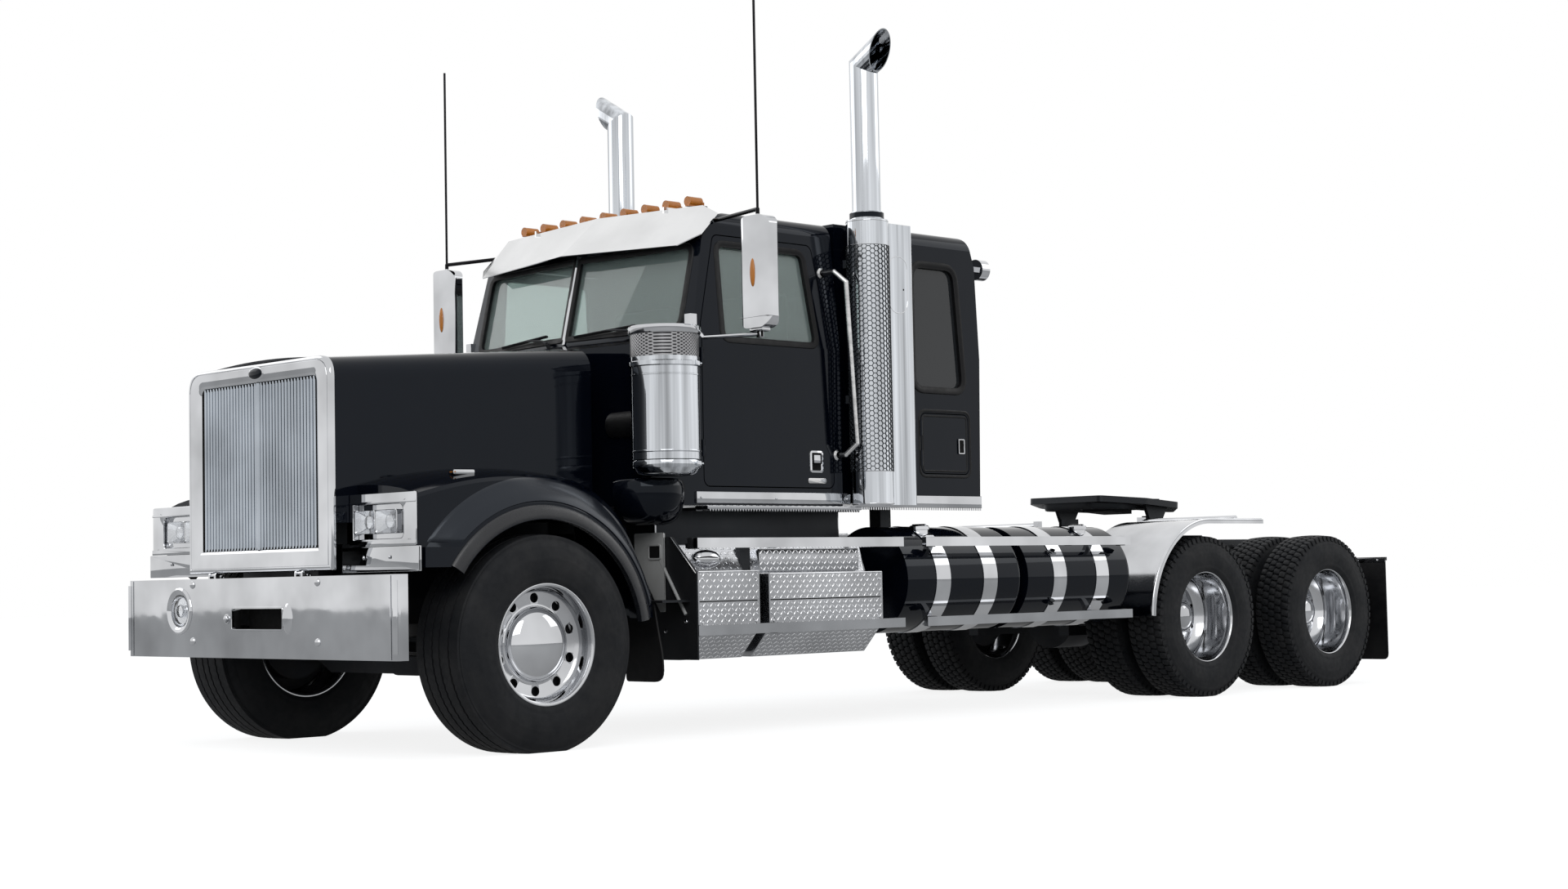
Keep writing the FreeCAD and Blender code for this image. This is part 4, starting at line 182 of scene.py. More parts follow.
# paints, metals and rubbers; each one varies a little over its surface
paintLook = {"cloud": 1.7, "clouds": (0.3, 0.7), "spread": (0.8, 1.3), "grime": 9, "grimes": (0.45, 0.8),
             "grimeShare": 0.35, "swell": 2.2, "depth": 0.002, "tint": (0.82, 0.9, 1.0)}
metalLook = {"streak": 2.4, "streaks": (0.35, 0.7), "smear": 5, "smears": (0.3, 0.75), "swell": 3.5,
             "blackRod": (0.012, 0.012, 0.013)}
rubberLook = {"scuff": 6, "scuffs": (0.42, 0.75), "wear": 30, "wears": (0.3, 0.7), "spread": (-0.08, 0.06),
              "grain": 260, "depth": 0.0004}
glassLook = {"haze": 3, "hazes": (0.35, 0.75), "hazeShare": 0.2, "deeper": 0.9, "spread": 0.02,
             "bend": 1.45}
meshLook = {"slant": 260, "rise": 370, "edge": (0.1, 0.35), "steel": (0.34, 0.34, 0.35),
            "hole": (0.03, 0.03, 0.032), "noise": 20, "noises": (0.3, 0.7), "rough": (0.25, 0.4),
            "depth": 0.001}


def makePaint(name, shade, dust, roughness, gloss=1.3):
    look = paintLook
    paint = Finish(name, Metallic=0.0, IOR=gloss, Specular_Tint=look["tint"])
    cloud = paint.noise(look["cloud"], 4)
    grime = paint.range(paint.noise(look["grime"], 5), *look["grimes"])
    paint.give("Base Color", paint.blend(grime * look["grimeShare"], shade, dust))
    low, high = [roughness * share for share in look["spread"]]
    paint.give("Roughness", paint.range(cloud, *look["clouds"], low, high))
    return paint.bump(paint.noise(look["swell"], 2), look["depth"])


def makeMetal(name, shade, roughness, smear, grain=(1, 1, 1), depth=0.0006, reflectionStreakDepth=0.7, darkFrom=None):
    look = metalLook
    metal = Finish(name, Metallic=1.0)
    # the colour darkens in long noise streaks towards a darker copy of the shade: a painted reflection of
    # the surroundings
    streak = metal.noise(look["streak"], 3, metal.stretched(grain))
    reflectionStreakShade = tuple(part * reflectionStreakDepth for part in shade)
    colour = metal.blend(metal.range(streak, *look["streaks"]), shade, reflectionStreakShade)
    if darkFrom:    # what stands above this height is black, as the aerials are
        height = metal.split()[2]
        colour = metal.blend(height > darkFrom, colour, look["blackRod"])
    metal.give("Base Color", colour)
    smeared = metal.noise(look["smear"], 5)
    metal.give("Roughness", metal.range(smeared, *look["smears"], roughness, roughness + smear))
    return metal.bump(metal.noise(look["swell"], 2, metal.stretched(grain)), depth)


def makeRubber(name, shade, dust, roughness, gloss=0.22):
    look = rubberLook
    rubber = Finish(name, Metallic=0.0, Specular_IOR_Level=gloss)
    scuff = rubber.range(rubber.noise(look["scuff"], 6), *look["scuffs"])
    rubber.give("Base Color", rubber.blend(scuff, shade, dust))
    low, high = [roughness + part for part in look["spread"]]
    rubber.give("Roughness", rubber.range(rubber.noise(look["wear"]), *look["wears"], low, high))
    return rubber.bump(rubber.noise(look["grain"]), look["depth"])


def makeGlass(name, tint, weight, roughness=0.0):
    look = glassLook
    glass = Finish(name, Transmission_Weight=weight, IOR=look["bend"], Metallic=0.0)
    haze = glass.noise(look["haze"])
    deeper = tuple(part * look["deeper"] for part in tint)
    glass.give("Base Color", glass.blend(haze * look["hazeShare"], tint, deeper))
    glass.give("Roughness", glass.range(haze, *look["hazes"], roughness, roughness + look["spread"]))
    return glass


# fine round holes for the air cleaners' intake band; their near-black colour is a painted shade for the
# inside seen through them
def makeMesh():
    look = meshLook
    gauze = Finish("gauze", Metallic=1.0)
    x, y, z = gauze.split()
    rows = ((x - y) * look["slant"]).wave() * (z * look["rise"]).wave()
    hole = gauze.range(rows, *look["edge"])
    # the holes take a near-black colour: painted shade
    gauze.give("Base Color", gauze.blend(hole, look["steel"], look["hole"]))
    gauze.give("Roughness", gauze.range(gauze.noise(look["noise"]), *look["noises"], *look["rough"]))
    return gauze.bump(1 - hole, look["depth"])


# name, shade, dusty or stained shade, roughness
blackPaint = makePaint("blackPaint", (0.0015, 0.0025, 0.006), (0.004, 0.0045, 0.007), 0.06)
chassisPaint = makePaint("chassisPaint", (0.01, 0.01, 0.011), (0.022, 0.021, 0.02), 0.42, 1.4)
chrome = makeMetal("brightChrome", (0.66, 0.67, 0.69), 0.02, 0.03)
# the pipe chrome's deep vertical streaks are a painted reflection of upright things around the stacks
pipeChrome = makeMetal("pipeChrome", (0.72, 0.75, 0.79), 0.03, 0.05, (9, 9, 0.15), reflectionStreakDepth=0.42)
visorMetal = makeMetal("visorMetal", (0.79, 0.795, 0.8), 0.12, 0.05, depth=0.0002, reflectionStreakDepth=0.88)
polished = makeMetal("polishedAluminium", (0.66, 0.67, 0.69), 0.09, 0.08)
stainless = makeMetal("brushedStainless", (0.66, 0.66, 0.66), 0.1, 0.1, (1, 1, 12), 0.0003)
brightPlate = makePaint("brightPlate", (0.42, 0.42, 0.41), (0.3, 0.29, 0.27), 0.3)
treadPlate = makeMetal("treadPlate", (0.5, 0.51, 0.53), 0.16, 0.08)
treadRib = makeMetal("treadRib", (0.86, 0.87, 0.89), 0.1, 0.06)
barMetal = makeMetal("barMetal", (0.46, 0.5, 0.55), 0.1, 0.08)
gridSteel = makeMetal("gridSteel", (0.045, 0.05, 0.055), 0.25, 0.12)
mirrorChrome = makeMetal("mirrorChrome", (0.66, 0.67, 0.69), 0.02, 0.03, darkFrom=2.71)
castMetal = makePaint("castMetal", (0.02, 0.02, 0.022), (0.06, 0.05, 0.04), 0.6, 1.4)
tyreRubber = makeRubber("tyreRubber", (0.008, 0.009, 0.011), (0.022, 0.022, 0.023), 0.66)
blackRubber = makeRubber("blackRubber", (0.004, 0.004, 0.005), (0.01, 0.01, 0.01), 0.5)
cabGlass = makeGlass("cabGlass", (0.62, 0.73, 0.7), 0.78)
darkGlass = makeGlass("darkGlass", (0.03, 0.033, 0.036), 0.2)
amberLens = makeGlass("amberLens", (0.72, 0.25, 0.03), 0.3, 0.14)
clearLens = makeGlass("clearLens", (0.95, 0.96, 0.97), 1.0)
redLens = makeGlass("redLens", (0.45, 0.01, 0.01), 0.3, 0.1)
# a lighter copy of the black paint for the arch band: painted sheen standing in for the sky's reflection
bandPaintedSheen = makePaint("bandPaintedSheen", (0.014, 0.016, 0.021), (0.02, 0.021, 0.025), 0.2, 1.4)
flareRubber = makeRubber("flareRubber", (0.011, 0.012, 0.015), (0.022, 0.023, 0.026), 0.3, 0.5)
trimPlastic = makeRubber("trimPlastic", (0.03, 0.03, 0.033), (0.05, 0.05, 0.052), 0.6)
seatLeather = makeRubber("seatLeather", (0.05, 0.046, 0.045), (0.085, 0.08, 0.078), 0.5)
# near-black for black trim parts, and as painted shade at the backs of slots, holes and recesses and behind
# the grille bars
blackTrimAndRecessShade = makeRubber("blackTrimAndRecessShade", (0.003, 0.003, 0.003), (0.006, 0.006, 0.006), 0.9)
gauze = makeMesh()
print("finishes made")

wears = [
    (blackPaint, ["hood_shell", "fender_left", "fender_right", "cab_shell", "door_left", "door_right",
                  "sleeper_shell", "locker_door_left", "locker_door_right", "fuel_tanks"]),
    (chrome, ["front_bumper", "grille_surround", "step_rails", "tank_straps", "headlamps", "work_lamps"]),
    (mirrorChrome, ["mirrors"]),
    (pipeChrome, ["stacks", "air_cleaners"]),
    (stainless, ["grab_bars"]),
    (visorMetal, ["visor"]),
    (amberLens, ["roof_lights"]),
    (polished, ["rear_fenders", "grille_bars"] + [name for name in nodes if name.startswith("rims_")]),
    (treadPlate, ["step_boxes", "deck_plate", "cab_steps"]),
    (chassisPaint, ["frame_rails", "suspension", "radiator", "flap_hangers", "fifth_wheel_base",
                    "fifth_wheel_plate"]),
    (castMetal, ["front_axle", "drive_axles", "engine", "knuckle_left", "knuckle_right", "tie_rod"]),
    (tyreRubber, [name for name in nodes if name.startswith("tyres_")]),
    (blackRubber, ["mud_flaps"]),
    (cabGlass, ["windshield", "door_glass_left", "door_glass_right"]),
    (darkGlass, ["sleeper_windows"]),
    (trimPlastic, ["dashboard"]),
    (seatLeather, ["seats"]),
]
for finish, names in wears:
    for name in names:
        nodes[name].data.materials.clear()
        nodes[name].data.materials.append(finish.material)


# mesh tools
boltLook = {"tall": 0.8, "washer": ((0, 1.5), (0.25, 1.5), (0.3, 1)), "washerSteps": 20,
            "head": ((0.3, 1), (1, 0.92), (1.25, 0.5), (1.3, 0)), "headSteps": 6}
bevelLook = {"segments": 2, "profile": 0.6, "affect": "EDGES"}
mergeGap = 0.00001    # corners closer than this become one
cornerShare = 0.48    # the most of an edge that a rounded corner takes up
acrossPush = 0.3    # an edge whose heading follows the push less than this runs across it


class Shape:
    def __init__(self, *finishes):
        self.mesh = bmesh.new()
        self.finishes = finishes

    def add(self, points, loops, finish=0, smooth=True):
        corners = [self.mesh.verts.new(point) for point in points]
        for loop in loops:
            face = self.mesh.faces.new([corners[index] for index in loop])
            face.material_index = finish
            face.smooth = smooth
        return corners

    # (along, radius) pairs swung about an axis through center; flip turns them the other way along it
    def turned(self, profile, center, axis="X", steps=64, finish=0, closed=False, flip=1, sweep=math.tau,
               start=0.0):
        center = Vector(center)
        rounds = steps if sweep == math.tau else steps + 1
        points = []
        for step in range(rounds):
            angle = start + sweep * step / steps
            wide, tall = math.cos(angle), math.sin(angle)
            for along, radius in profile:
                along *= flip
                across, up = radius * wide, radius * tall
                offset = {"X": (along, across, up), "Y": (across, along, up), "Z": (across, up, along)}[axis]
                points.append(center + Vector(offset))
        rows = len(profile)
        loops = []
        for step in range(steps):
            other = (step + 1) % rounds
            for row in range(rows if closed else rows - 1):
                after = (row + 1) % rows
                here, there = step * rows, other * rows
                loops.append((here + row, there + row, there + after, here + after))
        return self.add(points, loops, finish)

    def box(self, low, high, edge=0.0, finish=0, turn=None):
        low, high = [Vector(pair) for pair in zip(*[sorted(pair) for pair in zip(low, high)])]
        points = [Vector((x, y, z)) for x in (low.x, high.x) for y in (low.y, high.y)
                  for z in (low.z, high.z)]
        if turn:
            middle = (low + high) / 2
            points = [middle + turn @ (point - middle) for point in points]
        loops = [(0, 1, 3, 2), (4, 6, 7, 5), (0, 4, 5, 1), (2, 3, 7, 6), (0, 2, 6, 4), (1, 5, 7, 3)]
        corners = self.add(points, loops, finish)
        if edge:
            lines = {line for corner in corners for line in corner.link_edges}
            bmesh.ops.bevel(self.mesh, geom=list(lines), offset=edge, **bevelLook)

    # a box on one side of the truck, from its (low, high) reach outwards, stations and heights
    def block(self, side, reach, stations, heights, edge=0.0, finish=0):
        low, high = [place(side * x, station, z) for x, station, z in zip(reach, stations, heights)]
        self.box(low, high, edge, finish)

    # a flat outline pushed out along a direction, with softened edges
    def slab(self, outline, push, edge=0.0, finish=0):
        push = Vector(push)
        count = len(outline)
        loops = [tuple(range(count)), tuple(range(2 * count - 1, count - 1, -1))]
        loops += [(index, (index + 1) % count, count + (index + 1) % count, count + index)
                  for index in range(count)]
        corners = self.add(list(outline) + [point + push for point in outline], loops, finish)
        if edge:
            way = push.normalized()
            rims = {line for corner in corners for line in corner.link_edges
                    if abs((line.verts[0].co - line.verts[1].co).normalized().dot(way)) < acrossPush}
            bmesh.ops.bevel(self.mesh, geom=list(rims), offset=edge, **bevelLook)

    # a frame between two outlines with as many points; each ring is a share of the way in and a depth
    def framed(self, outer, inner, rings, push, finish=0, closed=True):
        push = Vector(push)
        count, rows = len(outer), len(rings)
        points = [first.lerp(second, share) + push * depth for share, depth in rings
                  for first, second in zip(outer, inner)]
        loops = []
        for row in range(rows if closed else rows - 1):
            after = (row + 1) % rows
            for index in range(count):
                other = (index + 1) % count
                loops.append((row * count + index, row * count + other,
                              after * count + other, after * count + index))
        self.add(points, loops, finish)

    # a sheet over rows of points, closed around and at its ends if asked
    def skinned(self, rows, finish=0, around=False, caps=False):
        count = len(rows[0])
        points = [point for row in rows for point in row]
        loops = []
        for row in range(len(rows) - 1):
            for index in range(count if around else count - 1):
                other = (index + 1) % count
                loops.append((row * count + index, row * count + other,
                              (row + 1) * count + other, (row + 1) * count + index))
        if caps:
            loops += [tuple(range(count)), tuple(range(len(points) - 1, len(points) - count - 1, -1))]
        self.add(points, loops, finish)

    def tube(self, line, radius, sides=12, finish=0):
        line = [Vector(point) for point in line]
        radii = radius if isinstance(radius, list) else [radius] * len(line)
        out = None
        rows = []
        for index, point in enumerate(line):
            before, after = line[max(index - 1, 0)], line[min(index + 1, len(line) - 1)]
            heading = (after - before).normalized()
            if out is None:
                out = heading.orthogonal().normalized()
            out = (out - heading * out.dot(heading)).normalized()
            other = heading.cross(out)
            turns = [math.tau * step / sides for step in range(sides)]
            rows.append([point + (out * math.cos(turn) + other * math.sin(turn)) * radii[index]
                         for turn in turns])
        self.skinned(rows, finish, around=True, caps=True)

    # a domed hexagon head on a washer, facing along the axis
    def bolt(self, at, axis, radius, finish=0):
        name = "XYZ"[max(range(3), key=lambda part: abs(axis[part]))]
        tall = radius * boltLook["tall"] * (1 if sum(axis) > 0 else -1)
        for part in ("washer", "head"):
            profile = [(tall * along, radius * ring) for along, ring in boltLook[part]]
            self.turned(profile, at, name, boltLook[part + "Steps"], finish)

    def made(self, name, smoothness=35):
        bmesh.ops.remove_doubles(self.mesh, verts=self.mesh.verts, dist=mergeGap)
        bmesh.ops.recalc_face_normals(self.mesh, faces=self.mesh.faces)
        mesh = bpy.data.meshes.new(name)
        self.mesh.to_mesh(mesh)
        self.mesh.free()
        mesh.set_sharp_from_angle(angle=math.radians(smoothness))
        for finish in self.finishes:
            mesh.materials.append(finish.material)
        made = bpy.data.objects.new(name, mesh)
        scene.collection.objects.link(made)
        return made


def fit(made, body, slotName, *replaced):
    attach(made, body)
    if replaced:
        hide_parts(*replaced)


def pierced(made, cutters):
    tool = cutters.made(made.name + "Cutter")
    change = made.modifiers.new("holes", "BOOLEAN")
    change.operation, change.solver, change.object = "DIFFERENCE", "EXACT", tool
    graph = bpy.context.evaluated_depsgraph_get()
    fresh = bpy.data.meshes.new_from_object(made.evaluated_get(graph))
    made.modifiers.clear()
    made.data = fresh
    bpy.data.objects.remove(tool)
    return made


# a closed outline in a plane, its corners rounded off by a radius or a list of them
def softOutline(points, radii, steps=5):
    radii = radii if isinstance(radii, list) else [radii] * len(points)
    points = [Vector(point) for point in points]
    line = []
    for index, (point, radius) in enumerate(zip(points, radii)):
        before, after = points[index - 1] - point, points[(index + 1) % len(points)] - point
        first = point + before.normalized() * min(radius, before.length * cornerShare)
        last = point + after.normalized() * min(radius, after.length * cornerShare)
        for step in range(steps + 1):
            share = step / steps
            line.append(first * (1 - share) ** 2 + point * 2 * share * (1 - share) + last * share ** 2)
    return line


def softPanel(left, low, right, high, radii, steps=5):
    return softOutline([(left, low), (right, low), (right, high), (left, high)], radii, steps)


# the same outline moved inwards by an amount
def insetLine(line, amount):
    turn = sum(first.x * second.y - second.x * first.y for first, second in zip(line, line[1:] + line[:1]))
    amount = amount if turn > 0 else -amount
    moved = []
    for index, point in enumerate(line):
        heading = line[(index + 1) % len(line)] - line[index - 1]
        out = Vector((-heading.y, heading.x))
        moved.append(point + out.normalized() * amount)
    return moved


# outlines of (station, height) points on a side, and of (x, height) points on a face across the truck
def onSide(line, x):
    return [place(x(point.y) if callable(x) else x, point.x, point.y) for point in line]


def onFront(line, station):
    return [place(point.x, station, point.y) for point in line]


# a raised bead along an outline, from one inset of it to another
def beadOnSide(shape, line, insets, x, side, rings, finish=0, closed=True):
    outer, inner = [onSide(insetLine(line, inset), x) for inset in insets]
    shape.framed(outer, inner, rings, (side, 0, 0), finish, closed)


def beadOnFront(shape, line, insets, station, rings, finish=0, closed=True):
    outer, inner = [onFront(insetLine(line, inset), station) for inset in insets]
    shape.framed(outer, inner, rings, (0, 1, 0), finish, closed)


# rings of an oval that shrinks as it rises; each level is a share of its size and a lift
def ovalRings(middle, wide, tall, out, levels, steps):
    turns = [math.tau * step / steps for step in range(steps)]
    wide, tall, out = Vector(wide), Vector(tall), Vector(out)
    return [[middle + wide * share * math.cos(turn) + tall * share * math.sin(turn) + out * lift
             for turn in turns] for share, lift in levels]


# wheels
tyreLook = {"bead": 0.287, "depth": 0.013, "crown": 0.007, "edge": 0.86, "steps": 120, "wallSteps": 26,
            "tuck": 0.004, "swell": (1.05, 0.7), "crestSteps": 6, "proud": 0.0005, "smoothness": 50,
            "ridges": ((0.12, 0.002), (0.16, 0.002), (0.58, 0.0012), (0.86, 0.002), (0.92, 0.002)),
            "ridgeReach": 0.02}
ribLook = {"ribs": ((-0.98, -0.62), (-0.55, -0.2), (-0.13, 0.13), (0.2, 0.55), (0.62, 0.98)), "count": 168,
           "zigzag": 0.0025, "shoulder": 0.9, "lap": 0.001, "rise": 0.0003}
blockLook = {"rows": (-0.83, -0.415, 0.0, 0.415, 0.83), "count": 66, "outerWide": 0.17, "innerWide": 0.185,
             "outline": ((-1, -0.62), (-0.1, -0.92), (1, -0.7), (1, 0.62), (0.1, 0.92), (-1, 0.7)),
             "jitter": 0.03, "long": 0.47, "slant": 0.09,
             "tiers": ((1.1, 0.015), (1.0, 0.0015), (0.93, 0.0)), "lugs": ((1.0, 0.012), (1.04, 0.04)),
             "lugHalf": 0.3, "lugTurn": 0.25, "lugOut": 0.006, "lugThick": 0.008}


def carcass(shape, center, half, radius, side):
    look = tyreLook
    edge = half * look["edge"]
    base = radius - look["depth"] - look["crown"]
    stretch, power = look["swell"]
    profile = []
    for step in range(look["wallSteps"] + 1):
        share = step / look["wallSteps"]
        height = look["bead"] + (base - look["tuck"] - look["bead"]) * share
        out = edge + (half - edge) * math.sin(math.pi * min(share * stretch, 1)) ** power
        out += sum(tall for ridge, tall in look["ridges"] if abs(share - ridge) < look["ridgeReach"])
        profile.append((min(out, half), height))
    crest = []
    for step in range(2 * look["crestSteps"] + 1):
        along = edge * (1 - step / look["crestSteps"])
        crest.append((along, radius - look["depth"] - look["crown"] * (along / edge) ** 2))
    whole = profile + crest + [(-along, height) for along, height in reversed(profile)]
    shape.turned(whole, center, steps=look["steps"], closed=True, flip=side)


def ribbedTread(shape, center, half, radius, side):
    look = ribLook
    edge, depth, crown = half * tyreLook["edge"], tyreLook["depth"], tyreLook["crown"]
    count = look["count"]
    for rib in look["ribs"]:
        points, loops = [], []
        for step in range(count):
            angle = math.tau * step / count
            zig = look["zigzag"] * (1 if step % 2 else -1)
            (a, high), (b, tall) = [(edge * share + (zig if abs(share) < look["shoulder"] else 0),
                                     radius - crown * share ** 2) for share in rib]
            lap = look["lap"]
            crest = ((a + b) / 2, (high + tall) / 2 + look["rise"])
            section = [(a - lap, high - depth - lap), (a, high), crest, (b, tall),
                       (b + lap, tall - depth - lap)]
            points += [center + Vector((side * along, ring * math.cos(angle), ring * math.sin(angle)))
                       for along, ring in section]
            after = (step + 1) % count
            loops += [(5 * step + row, 5 * after + row, 5 * after + row + 1, 5 * step + row + 1)
                      for row in range(4)]
        shape.add(points, loops)


def blockTread(shape, center, half, radius, side):
    look = blockLook
    edge, crown = half * tyreLook["edge"], tyreLook["crown"]
    pitch = math.tau / look["count"]

    def spot(along, ring, angle):
        return center + Vector((side * along, ring * math.cos(angle), ring * math.sin(angle)))

    for row, middle in enumerate(look["rows"]):
        wide = look["outerWide"] if abs(middle) > 0.5 else look["innerWide"]
        for order in range(look["count"]):
            turn = pitch * (order + 0.5 * (row % 2))
            outline = []
            for across, along in look["outline"]:
                jitter = random.uniform(-look["jitter"], look["jitter"])
                lag = along * look["long"] + across * look["slant"] + jitter
                outline.append((wide * (across + jitter), lag))
            points = []
            for spread, drop in look["tiers"]:
                for across, lag in outline:
                    share = middle + across * spread
                    points.append(spot(edge * share, radius - drop - crown * share ** 2,
                                       turn + lag * spread * pitch))
            loops = [(tier * 6 + corner, tier * 6 + (corner + 1) % 6, tier * 6 + 6 + (corner + 1) % 6,
                      tier * 6 + 6 + corner) for tier in (0, 1) for corner in range(6)]
            shape.add(points, loops + [(12, 13, 14, 15, 16, 17)], smooth=False)
    for way in (-1, 1):
        for order in range(look["count"]):
            turn = pitch * (order + look["lugTurn"] * way)
            points = [spot(way * (edge * share + look["lugOut"] - tuck), radius - drop, turn + lag * pitch)
                      for share, drop in look["lugs"] for lag in (-look["lugHalf"], look["lugHalf"])
                      for tuck in (0, look["lugThick"])]
            shape.add(points, [(0, 2, 6, 4), (0, 1, 3, 2), (4, 6, 7, 5), (0, 4, 5, 1), (2, 3, 7, 6)],
                      smooth=False)


# profiles are (reach outwards, radius); those of a disc start at its face, those of a rim at its lip
rimLook = {"lip": 0.2985, "well": 0.272, "steps": 96, "holes": 10, "holeReach": 0.09, "holeShift": 0.02,
           "crease": 30,
           "lipEdge": ((0.012, 0.012), (0.01, 0.002), (0.005, 0), (0.001, 0.003), (0, 0.009),
                       (0.003, 0.016)), "wellEdge": ((0.014, 0.004), (0.05, 0))}
frontWheelLook = {"half": 0.175, "face": 0.06, "holes": (0.226, 0.0245),
                  "disc": ((0.014, 0.1), (0.014, 0.246), (0.019, 0.256), (0.032, 0.266), (0.05, 0.2745),
                           (0.038, 0.2745), (0.02, 0.268), (0.006, 0.258), (0, 0.248), (0, 0.1)),
                  "drum": ((-0.03, 0.05), (-0.03, 0.262), (-0.036, 0.262), (-0.036, 0.2), (-0.12, 0.2),
                           (-0.12, 0.07)), "dome": (0.184, 0.09),
                  "brim": ((0.014, 0.012), (0.017, 0.012), (0.018, 0.004), (0.02, 0.002)), "domeSteps": 16}
twinWheelLook = {"center": 0.1715, "half": 0.1175, "face": 0.004, "thick": 0.014, "holes": (0.214, 0.0185),
                 "discRings": (0.06, 0.236, 0.25, 0.2745, 0.2745, 0.246, 0.06), "discSlope": 0.01,
                 "flangeLap": (0.016, 0.002),
                 "drum": ((-0.005, 0.0), (-0.005, 0.2), (-0.18, 0.2), (-0.18, 0.07)), "hub": (0.106, 0.122),
                 "hubFoot": ((0, 0.012), (0.006, 0.012), (0.01, 0)), "hubCap": 0.002,
                 "hubTop": ((0.6, 0.006), (0.8, 0.014), (0.93, 0.032), (1, 0.06)), "nuts": 10,
                 "nutRing": 0.1425,
                 "nut": ((0, 0.022), (0.004, 0.022), (0.008, 0.018), (0.045, 0.0165), (0.056, 0.011),
                         (0.058, 0))}


def rimBarrel(shape, center, low, high, side):
    lip, well = rimLook["lip"], rimLook["well"]
    edge = [(along, lip - drop) for along, drop in rimLook["lipEdge"]]
    edge += [(along, well + rise) for along, rise in rimLook["wellEdge"]]
    profile = [(high - along, ring) for along, ring in edge]
    profile += [(low + along, ring) for along, ring in edge[::-1]]
    shape.turned(profile, center, steps=rimLook["steps"], closed=True, flip=side)


def makeDisc(name, center, side, profile, face, ring, hole):
    disc = Shape(polished)
    disc.turned(profile, center, steps=rimLook["steps"], closed=True, flip=side)
    cutters = Shape(polished)
    reach, out = rimLook["holeReach"], face + rimLook["holeShift"]
    for order in range(rimLook["holes"]):
        angle = math.tau * (order + 0.5) / rimLook["holes"]
        spot = center + Vector((side * out, ring * math.cos(angle), ring * math.sin(angle)))
        cutters.turned([(-reach, 0), (-reach, hole), (reach, hole), (reach, 0)], spot, steps=20)
    disc = pierced(disc.made("disc_" + name), cutters)
    disc.data.set_sharp_from_angle(angle=math.radians(rimLook["crease"]))
    fit(disc, "wheel_" + name, "polished_aluminium")


def makeFrontWheel(name, side):
    look = frontWheelLook
    body = "wheel_" + name
    low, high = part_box("tyres_" + name)
    center = (low + high) / 2
    half, radius = (high.x - low.x) / 2, (high.z - low.z) / 2
    tyre = Shape(tyreRubber)
    carcass(tyre, center, half, radius, side)
    ribbedTread(tyre, center, half, radius - tyreLook["proud"], side)
    fit(tyre.made("tyre_" + name, tyreLook["smoothness"]), body, "tyre", "tyres_" + name)
    face = look["face"]
    profile = [(face + along, ring) for along, ring in look["disc"]]
    makeDisc(name, center, side, profile, face, *look["holes"])
    rim = Shape(polished, castMetal)
    rimBarrel(rim, center, -look["half"], look["half"], side)
    rim.turned([(face + along, ring) for along, ring in look["drum"]], center, steps=48, finish=1, flip=side)
    fit(rim.made("rim_" + name), body, "polished_aluminium", "rims_" + name)
    dome = Shape(chrome)
    wide, tall = look["dome"]
    bowl = [(face + along, wide + out) for along, out in look["brim"]]
    foot, start = look["brim"][0][0], look["brim"][-1][0]
    rise = tall - (start - foot)
    turns = [math.pi / 2 * step / look["domeSteps"] for step in range(look["domeSteps"] + 1)]
    bowl += [(face + start + rise * math.sin(turn), wide * math.cos(turn)) for turn in turns]
    dome.turned(bowl, center, steps=72, flip=side)
    fit(dome.made("dome_" + name), body, "chrome")


def makeTwinWheel(name, side):
    look = twinWheelLook
    body = "wheel_" + name
    low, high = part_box("tyres_" + name)
    center = (low + high) / 2
    radius, shift = (high.z - low.z) / 2, look["center"]
    half = (high.x - low.x) / 2 - shift
    for which, along in (("outer", shift), ("inner", -shift)):
        tyre = Shape(tyreRubber)
        spot = center + Vector((side * along, 0, 0))
        carcass(tyre, spot, half, radius, side)
        blockTread(tyre, spot, half, radius - tyreLook["proud"], side)
        replaced = ["tyres_" + name] if which == "outer" else []
        fit(tyre.made(f"{which}Tyre_{name}", tyreLook["smoothness"]), body, "tyre", *replaced)
    flange = shift - look["half"]
    face, front = look["face"], look["face"] + look["thick"]
    outer, inner = [flange + lap for lap in look["flangeLap"]]
    reaches = (front, front, front + look["discSlope"], outer, inner, face, face)
    makeDisc(name, center, side, list(zip(reaches, look["discRings"])), face, *look["holes"])
    rim = Shape(polished, castMetal)
    rimBarrel(rim, center, flange, shift + look["half"], side)
    rimBarrel(rim, center, -shift - look["half"], -flange, side)
    rim.turned(look["drum"], center, steps=48, finish=1, flip=side)
    fit(rim.made("rim_" + name), body, "polished_aluminium", "rims_" + name)
    hub = Shape(chrome)
    wide, tall = look["hub"]
    profile = [(front + along, wide + out) for along, out in look["hubFoot"]]
    profile += [(front + tall * share, wide - drop) for share, drop in look["hubTop"]]
    hub.turned(profile + [(front + tall + look["hubCap"], 0)], center, flip=side)
    for order in range(look["nuts"]):
        angle = math.tau * order / look["nuts"]
        ring = look["nutRing"]
        spot = center + Vector((side * front, ring * math.cos(angle), ring * math.sin(angle)))
        hub.turned(look["nut"], spot, steps=16, flip=side)
    fit(hub.made("hub_" + name), body, "chrome")


for side in (1, -1):
    makeFrontWheel("front_" + sideWord(side), side)
    makeTwinWheel("first_" + sideWord(side), side)
    makeTwinWheel("second_" + sideWord(side), side)
print("wheels made")

